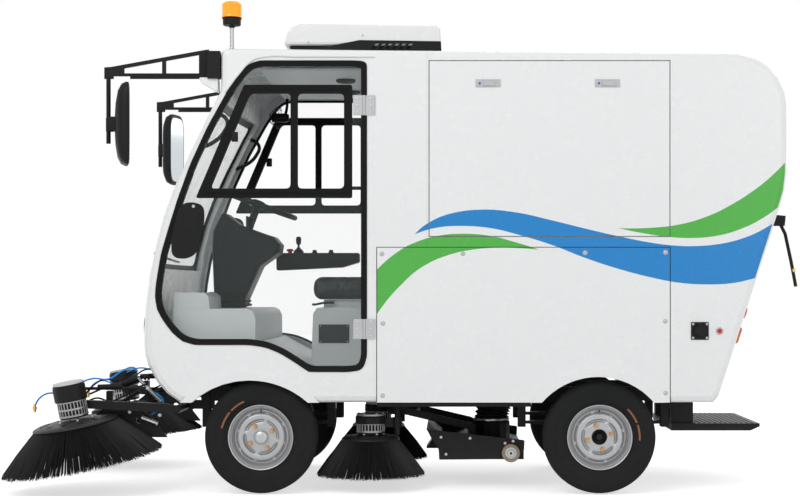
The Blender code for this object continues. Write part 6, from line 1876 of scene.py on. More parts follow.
@dataclass
class CabDoor:
    """Rubber door frame, sliding window frame, handle and the trim round the opening inside."""

    skin: float = 0.70
    depth: float = 0.028
    ring: float = 0.024
    edge: tuple[Flat, ...] = (
        (259.0, 61.5), (355.0, 61.5), (366.0, 62.5), (366.0, 73.0), (366.0, 357.0), (362.0, 369.0),
        (350.0, 371.0), (309.0, 371.0), (296.0, 362.0), (281.0, 352.7), (266.0, 346.5), (250.0, 344.0),
        (195.0, 344.0), (183.0, 340.5), (173.0, 332.0), (164.0, 320.0), (158.0, 309.0), (156.0, 296.0),
        (157.0, 284.0), (162.0, 254.0), (169.0, 230.0), (178.0, 201.0), (191.0, 165.0), (208.0, 128.0),
        (228.0, 92.0), (238.0, 77.0), (247.0, 66.0),
    )
    slider: tuple[Flat, ...] = ((244.0, 84.8), (352.0, 84.8), (352.0, 197.9), (195.8, 197.9))
    openings: tuple[tuple[Flat, ...], ...] = (
        ((250.0, 93.2), (290.5, 93.2), (290.5, 188.5), (210.0, 188.5)),
        ((297.5, 93.2), (344.0, 93.2), (344.0, 188.5), (297.5, 188.5)),
    )
    handle: tuple[Flat, ...] = (
        (179.5, 206.0), (190.0, 201.5), (204.5, 205.0), (205.0, 222.0), (198.0, 253.0), (187.0, 259.5),
        (172.0, 257.5), (171.5, 238.0),
    )

    def places(self, pixels: Sequence[Flat]) -> list[Flat]:
        """Give the forward and upward places of pixels on the side."""
        return [VIEW.at(x, y) for x, y in pixels]

    def holed(
        self, name: str, outer: Sequence[Flat], holes: Sequence[Sequence[Flat]], low: float, high: float,
        edge: float,
    ) -> Piece:
        """Shape a flat solid with holes and round its edges.

        Args:
            name: The piece's name.
            outer: Its outline.
            holes: Outlines of its holes.
            low: Distance from the middle where it starts.
            high: Distance where it ends.
            edge: Width of its rounded edges.

        Returns:
            The piece.
        """
        piece = Bench.side_slab(name, outer, low, high)
        cutters = [Bench.side_slab("hole", hole, low - 0.02, high + 0.02) for hole in holes]
        piece = Bench.cut(piece, *cutters)
        if edge:
            Bench.bevel(piece, edge, 2, 1.2)
        return piece

    def build(self) -> None:
        """Build both doors."""
        corners = self.places(self.edge)
        outer, inner = (rounded(inset(corners, depth), 0.030) for depth in (0.0, self.ring))
        low = self.skin - self.depth
        seal = self.holed("door_seal_left", outer, [inner], low, self.skin + 0.003, 0.004)
        lip = self.holed(
            "lip", rounded(inset(corners, -0.005), 0.03), [rounded(inset(corners, 0.007), 0.03)],
            self.skin + 0.0003, self.skin + 0.0045, 0.0018,
        )
        window = rounded(self.places(self.slider), 0.010)
        holes = [rounded(self.places(hole), 0.024, 6) for hole in self.openings]
        frame = self.holed("slider", window, holes, low, self.skin, 0.002)
        runners = []
        for pixel in (100.0, 188.0):
            start, end = VIEW.at(350.5, pixel), VIEW.at(363.0, pixel)
            runners.append(
                Bench.block(
                    "runner", (end[0], low + 0.004, end[1] - 0.008),
                    (start[0], self.skin - 0.004, end[1] + 0.008), 0.002, 1,
                )
            )
        ribs = []
        for y in (89.2, 193.0):
            start, end = VIEW.at(348.0, y), VIEW.at(250.0 if y < 100 else 206.0, y)
            ribs.append(
                Bench.rod("rib", (start[0], self.skin, start[1]), (end[0], self.skin, end[1]), 0.0028, 10)
            )
        door = Bench.join("door_seal_left", seal, lip, frame, *runners, *ribs)
        Bench.both(door, FINISH.rubber, "cab_door_{side}", 35.0, stands_for=("cab_door_{side}",))
        plate = rounded(self.places(self.handle), 0.036, 6)
        grip = Bench.side_slab("door_handle_left", plate, self.skin + 0.0046, self.skin + 0.0125)
        Bench.bevel(grip, 0.004, 3, 1.2)
        well = rounded(self.places(((186.5, 209), (200.0, 211.0), (199.0, 232.0), (184.0, 232.0))), 0.016, 5)
        paddle = Bench.side_slab("paddle", well, self.skin + 0.0120, self.skin + 0.0145)
        Bench.bevel(paddle, 0.0012, 2, 1.2)
        x, z = VIEW.at(194.0, 206.5)
        key = Bench.rod("key", (x, self.skin + 0.012, z), (x, self.skin + 0.0155, z), 0.0075, 24, edge=0.001)
        Bench.both(Bench.join("door_handle_left", grip, paddle), FINISH.black_plastic, "cab_door_{side}")
        Bench.both(Bench.join("door_key_left", key), FINISH.steel, "cab_door_{side}")
        trim = self.holed(
            "door_trim_left", rounded(inset(corners, -0.030), 0.03), [rounded(inset(corners, 0.014), 0.03)],
            low - 0.016, low - 0.006, 0.003,
        )
        Bench.both(trim, FINISH.light_grey)


@dataclass
class Cab:
    """What is seen through the cab's glass: seat, steering, armrest, dash and door fittings."""

    seat_half: float = 0.235
    steering: Point = (0.7765, 0.0, 1.4386)
    tilt_deg: float = 20.0

    def padded(
        self, node: str, name: str, low: Point, high: Point, seams: Sequence[float], axis: int
    ) -> None:
        """Swell a seat pad by cloth simulation and sew channels across it.

        Args:
            node: CAD node that it replaces.
            name: The piece's name.
            low: Lowest corner of the pad.
            high: Highest corner.
            seams: Places of the sewn channels along an axis.
            axis: Which axis, 0 for forward and 2 for up.
        """
        pad = Bench.block(name, low, high, 0.028, 3)
        Bench.modify(pad, "REMESH", mode="VOXEL", voxel_size=0.0075)
        rest = [vertex.co.copy() for vertex in pad.data.vertices]
        cloth = pad.modifiers.new("Cloth", "CLOTH")
        cloth.settings.use_pressure = True
        cloth.settings.uniform_pressure_force = 3.0
        cloth.settings.quality = 5
        cloth.settings.effector_weights.gravity = 0.0
        cloth.point_cache.frame_end = 20
        scene = bpy.context.scene
        for frame in range(1, 17):
            scene.frame_set(frame)
        Bench.pick(pad)
        bpy.ops.object.modifier_apply(modifier="Cloth")
        scene.frame_set(1)
        for vertex, start in zip(pad.data.vertices, rest):
            way = vertex.co - start
            if way.length > 0.012:
                vertex.co = start + way.normalized() * 0.012
        for vertex in pad.data.vertices:
            depth = sum(math.exp(-(((vertex.co[axis] - seam) / 0.007) ** 2)) for seam in seams)
            face = 2 if axis == 0 else 0
            if vertex.co[face] > (low[face] + high[face]) / 2:
                vertex.co[face] -= 0.007 * depth
            for i in range(3):
                vertex.co[i] = min(max(vertex.co[i], low[i] - 0.004), high[i] + 0.006)
        Bench.modify(pad, "SUBSURF", levels=1, render_levels=1)
        Bench.done(pad, FINISH.vinyl, "chassis", 60.0, [node])

    def seat(self) -> None:
        """Build the cushion and the back with their lever and plate."""
        low, high = (0.026, -self.seat_half, 0.945), (0.468, self.seat_half, 1.050)
        self.padded("seat_cushion", "seat_cushion_pad", low, high, (0.15, 0.29), 0)
        low, high = (-0.090, -self.seat_half, 0.945), (0.016, self.seat_half, 1.555)
        self.padded("seat_back", "seat_back_pad", low, high, (1.14, 1.30, 1.45), 2)
        lever = Bench.tube(
            "seat_lever",
            [(0.36, 0.20, 0.925), (0.42, 0.20, 0.922), (0.455, 0.19, 0.915), (0.475, 0.14, 0.915)],
            0.006,
        )
        Bench.done(lever, FINISH.black_plastic)
        plate = Bench.block(
            "blank_plate", (0.281, self.seat_half + 0.0004, 0.718), (0.437, self.seat_half + 0.0032, 0.813),
            0.001, 1,
        )
        Bench.done(plate, FINISH.disc)
        rivets = [
            Bench.rod(
                "rivet", (x, self.seat_half + 0.002, z), (x, self.seat_half + 0.0042, z), 0.004, 14, 0.003
            )
            for x in (0.290, 0.428)
            for z in (0.726, 0.805)
        ]
        Bench.done(Bench.join("plate_rivets", *rivets), FINISH.steel)

    def steer_frame(self) -> Matrix:
        """Give the steering wheel's axes, Z up the shaft."""
        angle = math.radians(self.tilt_deg)
        axis = Vector((-math.sin(angle), 0.0, math.cos(angle)))
        return standing(self.steering, axis)

    def wheel(self) -> None:
        """Build the steering wheel with its grip, spokes and hub pad."""
        rim = Bench.ring("rim", ORIGIN, UP, 0.205, 0.0135, 72)
        grip = Bench.ring("grip", ORIGIN, UP, 0.205, 0.0142, 72)
        for vertex in grip.data.vertices:
            vertex.co.z *= 0.98
        spoke = Bench.slab(
            "spoke",
            [(0.02, -0.022, -0.006), (0.198, -0.013, -0.006), (0.198, 0.013, -0.006), (0.02, 0.022, -0.006)],
            (0.0, 0.0, 0.010),
            0.003,
            2,
        )
        spokes = Bench.repeated(spoke, ring_places(3, ORIGIN, UP, 30.0))
        hub = Bench.spun(
            "hub",
            [
                (0.0, -0.016), (0.028, -0.016), (0.038, -0.006), (0.040, 0.010), (0.034, 0.019),
                (0.018, 0.023), (0.0, 0.024),
            ],
            ORIGIN,
            UP,
            40,
        )
        wheel = Bench.join("steering_wheel_full", rim, grip, spokes, hub)
        wheel.data.transform(self.steer_frame())
        Bench.done(wheel, FINISH.black_plastic, "steering_wheel", 50.0, ["steering_wheel"])

    def column(self) -> None:
        """Round the console, fold a bellows at its foot and add its stalk and screen."""
        console = Bench.twin("steering_column", "steering_console")
        Bench.bevel(console, 0.006, 2, 0.7)
        Bench.done(console, FINISH.black_plastic, "chassis", 40.0, ["steering_column"])
        rings = []
        for i, up in enumerate((0.905, 0.925, 0.945, 0.965)):
            wide = 0.122 - 0.003 * i
            rings.append(
                Bench.block(
                    "fold", (0.822 + 0.003 * i, -wide, up), (1.030 - 0.003 * i, wide, up + 0.014), 0.0062, 2
                )
            )
        Bench.done(Bench.join("console_bellows", *rings), FINISH.rubber)
        stalk = Bench.tube(
            "column_stalk", [(0.80, 0.03, 1.33), (0.79, 0.12, 1.345), (0.775, 0.19, 1.365)], 0.0065
        )
        Bench.done(stalk, FINISH.black_plastic)
        screen = Bench.block("dash_display", (0.79, -0.075, 1.305), (0.80, 0.075, 1.375), 0.004, 2)
        screen.data.transform(Matrix.Translation((0.03, 0.0, 0.0)))
        Bench.done(screen, FINISH.disc)

    def armrest(self) -> None:
        """Round the armrest and stand its joystick, buttons and knobs on it."""
        edge = ((277.3, 253.2), (359.6, 253.2), (359.6, 262.5), (343, 267.5), (300, 269.6), (277.6, 270.6))
        outline = [VIEW.at(x, y, -0.36) for x, y in edge]
        rest = Bench.side_slab("armrest_box", outline, -0.30, -0.42, 0.006)
        Bench.done(rest, FINISH.black_plastic, "chassis", 40.0, ["control_panel"])
        y, top = -0.36, VIEW.at(300.0, 253.2, -0.36)[1]
        boot = Bench.spun(
            "boot",
            [
                (0.0, 0.0), (0.030, 0.0), (0.027, 0.006), (0.029, 0.010), (0.022, 0.014), (0.023, 0.018),
                (0.013, 0.024), (0.010, 0.032), (0.0, 0.032),
            ],
            (0.598, y, top - 0.001),
            UP,
            28,
        )
        stick = Bench.spun(
            "stick",
            [
                (0.0, 0.02), (0.006, 0.02), (0.006, 0.045), (0.013, 0.052), (0.015, 0.075), (0.012, 0.088),
                (0.0, 0.092),
            ],
            (0.598, y, top),
            UP,
            24,
        )
        knobs = []
        for x in (0.51, 0.42):
            knobs.append(
                Bench.spun(
                    "knob",
                    [(0.0, 0.0), (0.017, 0.0), (0.017, 0.004), (0.012, 0.006), (0.011, 0.018), (0.0, 0.019)],
                    (x, y, top - 0.0005), UP, 18,
                )
            )
        Bench.done(Bench.join("armrest_controls", boot, stick, *knobs), FINISH.rubber)
        button = Bench.spun(
            "stop_button",
            [
                (0.0, 0.0), (0.011, 0.0), (0.011, 0.010), (0.019, 0.012), (0.020, 0.018), (0.015, 0.023),
                (0.0, 0.025),
            ],
            (0.645, y, top - 0.0005),
            UP,
            28,
        )
        Bench.done(button, FINISH.red_button)

    def dash(self) -> None:
        """Round the dash box and add its pedals."""
        dash = Bench.twin("dash_box", "dash_moulding")
        Bench.bevel(dash, 0.012, 3, 0.7)
        Bench.done(dash, FINISH.light_grey, "chassis", 40.0, ["dash_box"])
        pedals = []
        for y in (-0.155, 0.155):
            pad = Bench.block("pad", (-0.004, y - 0.03, -0.032), (0.004, y + 0.03, 0.032), 0.003, 2)
            pad.data.transform(
                Matrix.Translation((0.985, 0.0, 0.942)) @ Matrix.Rotation(math.radians(-35.0), 4, "Y")
            )
            pedals += [pad, Bench.rod("arm", (0.985, y, 0.938), (1.03, y, 0.900), 0.006, 12)]
        Bench.done(Bench.join("pedals", *pedals), FINISH.rubber)

    def overhead(self) -> None:
        """Hang the pillar handle on each front pillar."""
        pixels = ((248, 138), (259, 146), (256, 156), (246, 165), (236, 169))
        points = [VIEW.spot(x, y, -0.62) for x, y in pixels]
        for side, name in ((1.0, "grab_handle_right"), (-1.0, "grab_handle_left")):
            handle = Bench.tube(name, [(x, y * side, z) for x, y, z in points], 0.010)
            Bench.done(handle, FINISH.black_plastic)

    def door_fittings(self) -> None:
        """Screw the hinge leaves and fit the window latch of each door."""
        skin = 0.7062
        heads = {"door": [], "post": []}
        for y in (105.5, 329.0):
            for group, x in (("door", 357.5), ("post", 371.0)):
                for drop in (-7.0, 0.0, 7.0):
                    forward, up = VIEW.at(x, y + drop)
                    heads[group].append(
                        Bench.spun(
                            "screw", [(0.0055, 0.0), (0.0052, 0.0014), (0.003, 0.0022), (0.0, 0.0024)],
                            (forward, skin - 0.0002, up), LEFT, 16,
                        )
                    )
        Bench.both(Bench.join("hinge_screws_left", *heads["door"]), FINISH.steel, "cab_door_{side}")
        Bench.both(Bench.join("post_screws_left", *heads["post"]), FINISH.steel)
        leaves = {"door": [], "post": []}
        for y in (105.5, 329.0):
            for group, x_low, x_high in (("door", 363.0, 353.2), ("post", 375.3, 365.4)):
                low_x, low_z = VIEW.at(x_low, y + 10.0)
                high_x, high_z = VIEW.at(x_high, y - 10.0)
                leaves[group].append(
                    Bench.block("leaf", (low_x, 0.7019, low_z), (high_x, 0.7064, high_z), 0.0015, 2)
                )
            for i in range(5):
                group = "door" if i % 2 else "post"
                forward, up = VIEW.at(364.2, y + 10.0 - 4.0 * i)
                top = VIEW.at(364.2, y + 6.1 - 4.0 * i)[1]
                leaves[group].append(
                    Bench.rod(
                        "knuckle", (forward, 0.7085, up), (forward, 0.7085, top), 0.0066, 20, edge=0.0004
                    )
                )
        Bench.both(Bench.join("hinge_leaves_left", *leaves["door"]), FINISH.steel, "cab_door_{side}")
        Bench.both(Bench.join("post_leaves_left", *leaves["post"]), FINISH.steel)
        x, z = VIEW.at(235.0, 137.0)
        latch = Bench.block(
            "window_latch_left", (x - 0.016, 0.699, z - 0.024), (x + 0.016, 0.712, z + 0.024), 0.005, 2
        )
        Bench.both(latch, FINISH.black_plastic, "cab_door_{side}")

    def build(self) -> None:
        """Build the cab's fittings."""
        self.seat()
        self.wheel()
        self.column()
        self.armrest()
        self.dash()
        self.overhead()
        self.door_fittings()


@dataclass
class RoofAndNose:
    """Beacon, roof unit, mirrors, lamps, windscreen seal and wiper."""

    beacon: Point = (0.8252, 0.62, 2.307)

    def beacon_parts(self) -> None:
        """Spin the ribbed lens and its base, and polish the pole."""
        x, y, z = self.beacon
        profile = [(0.0, 0.079)]
        profile += [(0.020, 0.0785), (0.036, 0.075), (0.0445, 0.068)]
        for i in range(8):
            up = 0.064 - i * 0.0068
            profile += [(0.0480, up), (0.0466, up - 0.0034)]
        profile += [(0.0485, 0.008), (0.0485, 0.0003), (0.0, 0.0003)]
        lens = Bench.spun("beacon_dome", profile, (x, y, z), UP, 56)
        Bench.done(lens, FINISH.amber, "chassis", 30.0, ["beacon_lens"])
        base = Bench.spun(
            "beacon_base",
            [
                (0.0, 0.0), (0.0475, 0.0), (0.0478, -0.004), (0.044, -0.008), (0.0435, -0.034),
                (0.040, -0.038), (0.016, -0.041), (0.0115, -0.050), (0.0, -0.050),
            ],
            (x, y, z),
            UP,
            48,
        )
        Bench.done(base, FINISH.black_plastic)
        pole = Bench.rod("beacon_pole", (x, y, z - 0.157), (x, y, z - 0.045), 0.0100, 32)
        foot = Bench.spun(
            "foot", [(0.0, 0.0), (0.021, 0.0), (0.021, 0.004), (0.013, 0.008), (0.012, 0.013), (0.0, 0.013)],
            (x, y, z - 0.1577), UP, 32,
        )
        Bench.done(Bench.join("beacon_pole", pole, foot), FINISH.steel, "chassis", 35.0, ["beacon_mast"])

    def roof_unit(self) -> None:
        """Slot the roof unit's rear flank, bolt it and set a fan grille on top."""
        flank = (
            (289.5, 46.5), (308.0, 49.0), (322.0, 47.6), (359.5, 40.2), (441.0, 41.4), (441.5, 51.0),
            (291.5, 51.0),
        )
        outline = [VIEW.at(x, y, 0.38) for x, y in flank]
        panel = Bench.side_slab("roof_unit_flank_left", outline, 0.3805, 0.3835, 0.001)
        slots = []
        for i in range(6):
            low_x, low_z = VIEW.at(371.0 + i * 6.8, 49.4, 0.38)
            high_x, high_z = VIEW.at(375.6 + i * 6.8, 43.8, 0.38)
            slots.append(
                Bench.side_slab(
                    "slot",
                    [(low_x, low_z), (low_x - 0.018, low_z), (high_x - 0.018, high_z), (high_x, high_z)],
                    0.37, 0.40,
                )
            )
        Bench.both(Bench.cut(panel, *slots), FINISH.black_plastic)
        bolts = []
        for x, y in ((308.3, 42.3), (362.6, 35.6)):
            forward, up = VIEW.at(x, y, 0.38)
            bolts.append(
                Bench.rod("bolt", (forward, 0.3802, up), (forward, 0.3835, up), 0.006, 6, 0.0055, 0.0006)
            )
        Bench.both(Bench.join("roof_unit_bolts_left", *bolts), FINISH.steel)
        x, z = 0.165, 2.291
        rings = [
            Bench.ring("ring", (x, 0.0, z), UP, radius, 0.0035, 56) for radius in (0.05, 0.085, 0.12, 0.155)
        ]
        arms = Bench.rod("arm", (x + 0.03, 0.0, z), (x + 0.155, 0.0, z), 0.003, 8)
        arms = Bench.repeated(arms, ring_places(8, (x, 0.0, z), UP))
        cap = Bench.spun(
            "cap", [(0.0, 0.006), (0.028, 0.005), (0.034, -0.004), (0.0, -0.004)], (x, 0.0, z), UP, 36
        )
        Bench.done(Bench.join("roof_fan_grille", *rings, arms, cap), FINISH.black_plastic)

    def mirrors(self) -> None:
        """Cut the plain heads off the mirror arms and hang domed heads with glass."""
        x, z = VIEW.at(121.0, 123.3)
        frame = Matrix.Translation((x, 0.665, z)) @ Matrix.Rotation(math.radians(14.0), 4, "Z")
        arm = Bench.twin("mirror_left", "mirror_arm_left")
        span = Bench.block("span", (-0.036, -0.12, -0.23), (0.040, 0.12, 0.23))
        span.data.transform(frame)
        arm = Bench.cut(arm, span)
        clamp = Bench.block("clamp", (x - 0.01, 0.645, z - 0.035), (x + 0.075, 0.685, z + 0.035), 0.006, 2)
        Bench.both(
            Bench.join("mirror_arm_left", arm, clamp), FINISH.black_paint, "chassis",
            stands_for=("mirror_{side}",),
        )
        rim = []
        for i in range(48):
            angle = math.tau * i / 48
            across = math.copysign(abs(math.cos(angle)) ** 0.42, math.cos(angle)) * 0.100
            up = math.copysign(abs(math.sin(angle)) ** 0.42, math.sin(angle)) * 0.200
            rim.append((across, up))
        sections = (
            (-0.030, 0.955), (-0.026, 1.0), (-0.014, 1.0), (0.006, 0.95), (0.022, 0.80), (0.032, 0.52),
            (0.036, 0.2),
        )
        rings = [[(height, across * share, up * share) for across, up in rim] for height, share in sections]
        head = Bench.lofted("mirror_shell_left", rings)
        head.data.transform(frame)
        Bench.both(head, FINISH.black_plastic, "chassis", 50.0)
        plate = [(-0.0302, across * 0.86, up * 0.90) for across, up in rim]
        glass = Bench.slab("mirror_glass_left", plate, (-0.0012, 0.0, 0.0))
        glass.data.transform(frame)
        Bench.both(glass, FINISH.mirror)

    def lamps(self) -> None:
        """Set each headlamp flush in the nose with its bowl, bulb, lens and bezel."""
        low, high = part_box("headlamp_left")
        front, y, z = high[0] - 0.048, (low[1] + high[1]) / 2, (low[2] + high[2]) / 2
        place, axis = (front, y, z), AHEAD
        bowl = [
            (0.0675, 0.012), (0.0675, -0.014), (0.030, -0.034), (0.0, -0.036), (0.0, -0.033), (0.029, -0.031),
            (0.0655, -0.012), (0.0655, 0.012), (0.0675, 0.012),
        ]
        Bench.both(
            Bench.spun("lamp_bowl_left", bowl, place, axis, 48), FINISH.silver, "chassis",
            stands_for=("headlamp_{side}",),
        )
        lens = [
            (0.0, 0.020), (0.030, 0.0185), (0.055, 0.014), (0.0662, 0.0075), (0.0662, 0.0045), (0.054, 0.010),
            (0.029, 0.0150), (0.0, 0.0165),
        ]
        Bench.both(Bench.spun("lamp_lens_left", lens, place, axis, 48), FINISH.clear_lens)
        bulb = [(0.0, 0.0), (0.008, -0.003), (0.010, -0.012), (0.007, -0.022), (0.007, -0.032), (0.0, -0.032)]
        Bench.both(Bench.spun("lamp_bulb_left", bulb, place, axis, 20), FINISH.white_dots)
        Bench.both(
            Bench.ring("lamp_bezel_left", (front + 0.014, y, z), axis, 0.0665, 0.0048, 56),
            FINISH.black_plastic,
        )

    def screen(self) -> None:
        """Frame the windscreen with its black edge and add the white lip under the visor."""
        edge = Bench.twin("windscreen", "screen_edge")
        Bench.modify(edge, "SOLIDIFY", thickness=0.001, offset=1.0)
        keep = Bench.block("keep", (0.4, -0.585, 1.127), (1.6, 0.585, 1.898), 0.03, 4)
        edge = Bench.cut(edge, keep)
        Bench.done(edge, FINISH.black_paint, "chassis", 40.0)
        corners = ((219.5, 79.0), (200.5, 79.0), (202.0, 83.5), (217.0, 92.5), (219.5, 92.5))
        lip = [VIEW.at(x, y, 0.62) for x, y in corners]
        Bench.both(Bench.side_slab("visor_lip_left", rounded(lip, 0.012), 0.60, 0.675, 0.006), FINISH.white)

    def wiper(self) -> None:
        """Lay a wiper blade along the screen's foot."""
        low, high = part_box("windscreen")
        blade = []
        for i, y in enumerate((-0.42, -0.30, -0.18, -0.06, 0.06, 0.18, 0.24)):
            x = high[0] - 0.010 + 0.012 * (1 - (y / 0.5) ** 2)
            blade.append((x, y, low[2] + 0.045 + 0.03 * i / 6))
        Bench.done(Bench.tube("wiper_blade", blade, 0.006), FINISH.rubber)

    def headlining(self) -> None:
        """Line the roof inside with a panel, two air vents and the corner fan."""
        z = 2.062
        lining = Bench.block("roof_lining", (0.0, -0.56, z), (0.70, 0.56, z + 0.012), 0.005, 2)
        Bench.done(lining, FINISH.light_grey)
        vents = []
        for y in (-0.22, 0.22):
            profile = [
                (0.050, 0.0), (0.050, -0.008), (0.044, -0.014), (0.038, -0.012), (0.036, -0.004),
                (0.036, 0.0), (0.050, 0.0),
            ]
            vents.append(Bench.spun("vent", profile, (0.30, y, z), UP, 32))
            for i in (-1.0, 0.0, 1.0):
                vents.append(
                    Bench.block(
                        "vane", (0.30 - 0.036, y + i * 0.018 - 0.002, z - 0.011),
                        (0.30 + 0.036, y + i * 0.018 + 0.002, z - 0.001), 0.001, 1,
                    )
                )
        Bench.done(Bench.join("roof_vents", *vents), FINISH.black_plastic)
        x, z = VIEW.at(281.0, 118.0, -0.50)
        cage = []
        for i, radius in enumerate((0.055, 0.060, 0.045, 0.025)):
            cage.append(Bench.ring("hoop", (x + 0.02 * i, -0.50, z), AHEAD, radius, 0.0016, 32))
        spoke = Bench.tube(
            "spoke",
            [
                (x, -0.50, z + 0.055), (x + 0.02, -0.50, z + 0.060), (x + 0.04, -0.50, z + 0.045),
                (x + 0.06, -0.50, z + 0.025),
            ],
            0.0014,
        )
        spokes = Bench.repeated(spoke, ring_places(10, (x, -0.50, z), AHEAD))
        motor = Bench.spun(
            "motor", [(0.0, 0.055), (0.024, 0.050), (0.026, -0.030), (0.018, -0.045), (0.0, -0.045)],
            (x, -0.50, z), AHEAD, 28,
        )
        arm = Bench.tube(
            "arm", [(x - 0.02, -0.50, z), (x - 0.03, -0.53, z + 0.06), (x - 0.03, -0.55, z + 0.12)], 0.008
        )
        Bench.done(Bench.join("corner_fan", *cage, spokes, motor, arm), FINISH.black_plastic)

    def build(self) -> None:
        """Build the roof and nose fittings."""
        self.beacon_parts()
        self.roof_unit()
        self.mirrors()
        self.lamps()
        self.screen()
        self.wiper()
        self.headlining()


@dataclass
class Underbody:
    """Suction hose, nozzle plates and wheels, springs, dampers and the small parts below the body."""

    nozzle_y: float = 0.42
    spring_y: float = 0.30
    axle_z: float = 0.276

    def hose(self) -> None:
        """Sweep the corrugated suction hose from the nozzle's collar to the body's inlet."""
        start, end = Vector((-0.45, 0.0, 0.302)), Vector((-0.53, 0.0, 0.618))
        count, turns = 96, 17
        rings = []
        for i in range(count + 1):
            share = i / count
            smooth = share * share * (3 - 2 * share)
            middle = Vector((start.x + (end.x - start.x) * smooth, 0.0, start.z + (end.z - start.z) * share))
            radius = 0.0845 + 0.0062 * math.cos(share * turns * math.tau)
            radius = radius + 0.004 if share < 0.03 or share > 0.97 else radius
            lean = math.atan2((end.x - start.x) * 6 * share * (1 - share), end.z - start.z)
            ring = []
            for j in range(40):
                angle = math.tau * j / 40
                out = Vector(
                    (math.cos(angle) * math.cos(lean), math.sin(angle), -math.cos(angle) * math.sin(lean))
                )
                ring.append(middle + out * radius)
            rings.append(ring)
        hose = Bench.lofted("suction_hose_ribbed", rings)
        Bench.done(hose, FINISH.hose, "chassis", 60.0, ["suction_hose"])
        clamps = []
        for place, lift in ((start, 0.012), (end, -0.012)):
            middle = place + Vector((0.0, 0.0, lift))
            band = Bench.spun(
                "band",
                [(0.0915, -0.005), (0.0925, -0.005), (0.0925, 0.005), (0.0915, 0.005), (0.0915, -0.005)],
                middle, UP, 48,
            )
            lug = Bench.block(
                "lug", middle + Vector((0.010, 0.090, -0.005)), middle + Vector((0.034, 0.104, 0.005)), 0.001,
                1,
            )
            clamps += [band, lug]
        Bench.done(Bench.join("hose_clamps", *clamps), FINISH.steel)

    def nozzle(self) -> None:
        """Plate the nozzle's flanks, hang its rubber skirt and build its small wheels."""
        y = self.nozzle_y
        edge = (
            (426.5, 429.0), (431.5, 438.5), (438.6, 448.8), (439.2, 459.6), (503.0, 459.0), (524.0, 451.0),
            (524.6, 440.0),
        )
        outline = rounded([VIEW.at(px, py, y) for px, py in edge], 0.008)
        plate = Bench.side_slab("nozzle_plate_left", outline, y + 0.0006, y + 0.0046, 0.001)
        bolts = []
        for px, py in ((441, 437), (446, 454), (470, 438), (505, 443), (513, 441)):
            x, z = VIEW.at(px, py, y)
            bolts.append(Bench.rod("bolt", (x, y + 0.004, z), (x, y + 0.0105, z), 0.008, 6, 0.0074, 0.0008))
        Bench.both(plate, FINISH.black_paint, "suction_nozzle")
        Bench.both(Bench.join("nozzle_bolts_left", *bolts), FINISH.steel, "suction_nozzle")
        line = [
            VIEW.at(px, py, y) for px, py in ((426.5, 429.0), (431.5, 438.5), (438.6, 448.8), (439.2, 459.6))
        ]
        sheet = line + [(forward - 0.004, up) for forward, up in reversed(line)]
        apron = Bench.side_slab("nozzle_apron", sheet, -y, y)
        roof = Bench.side_slab(
            "roof", [line[0], (-0.19, 0.238), (-0.19, 0.234), (line[0][0], line[0][1] - 0.004)], -y, y
        )
        Bench.done(Bench.join("nozzle_apron", apron, roof), FINISH.black_paint, "suction_nozzle")
        x, z = -0.535, 0.178
        hub = Bench.spun(
            "nozzle_hub_left",
            [
                (0.0, -0.015), (0.018, -0.015), (0.020, -0.010), (0.031, -0.008), (0.031, 0.008),
                (0.020, 0.010), (0.018, 0.015), (0.0, 0.015),
            ],
            (x, 0.44, z), LEFT, 32,
        )
        tread = Bench.spun(
            "nozzle_tread_left",
            [
                (0.030, -0.0125), (0.041, -0.0125), (0.0450, -0.009), (0.0450, 0.009), (0.041, 0.0125),
                (0.030, 0.0125), (0.030, -0.0125),
            ],
            (x, 0.44, z), LEFT, 48,
        )
        Bench.both(hub, FINISH.steel, "nozzle_wheel_{side}")
        Bench.both(tread, FINISH.tan_tread, "nozzle_wheel_{side}", stands_for=("nozzle_wheel_{side}",))

    def springs(self) -> None:
        """Clamp the leaf springs with U bolts and stand a damper beside each."""
        parts, dampers = [], []
        for axle_x in (0.6805, -0.9545):
            for shift in (-0.045, 0.045):
                for across in (-0.032, 0.032):
                    low = (axle_x + shift, self.spring_y + across, self.axle_z - 0.045)
                    high = (axle_x + shift, self.spring_y + across, self.axle_z + 0.085)
                    parts.append(Bench.rod("leg", low, high, 0.0065, 10))
                parts.append(
                    Bench.rod(
                        "bow", (axle_x + shift, self.spring_y - 0.032, self.axle_z + 0.083),
                        (axle_x + shift, self.spring_y + 0.032, self.axle_z + 0.083), 0.0065, 10,
                    )
                )
            parts.append(
                Bench.block(
                    "pad", (axle_x - 0.06, self.spring_y - 0.042, self.axle_z - 0.042),
                    (axle_x + 0.06, self.spring_y + 0.042, self.axle_z - 0.032), 0.002, 1,
                )
            )
            low, high = (axle_x - 0.08, 0.375, self.axle_z - 0.02), (axle_x - 0.03, 0.375, 0.455)
            way = Vector(high) - Vector(low)
            dampers.append(Bench.rod("tube", low, Vector(low) + way * 0.55, 0.020, 20, edge=0.002))
            dampers.append(Bench.rod("cover", Vector(low) + way * 0.48, high, 0.024, 20, edge=0.002))
        Bench.both(Bench.join("spring_clamps_left", *parts), FINISH.cast)
        Bench.both(Bench.join("dampers_left", *dampers), FINISH.black_paint)

    def step_tread(self) -> None:
        """Raise grip bars on the rear step."""
        bars = []
        for i in range(15):
            x = -1.385 - 0.0265 * i
            bars.append(
                Bench.block("bar", (x - 0.0045, -0.325, 0.3178), (x + 0.0045, 0.325, 0.3212), 0.0012, 1)
            )
        Bench.done(Bench.join("step_grip_bars", *bars), FINISH.black_paint)

    def build(self) -> None:
        """Build what hangs below the body."""
        self.hose()
        self.nozzle()
        self.springs()
        self.step_tread()


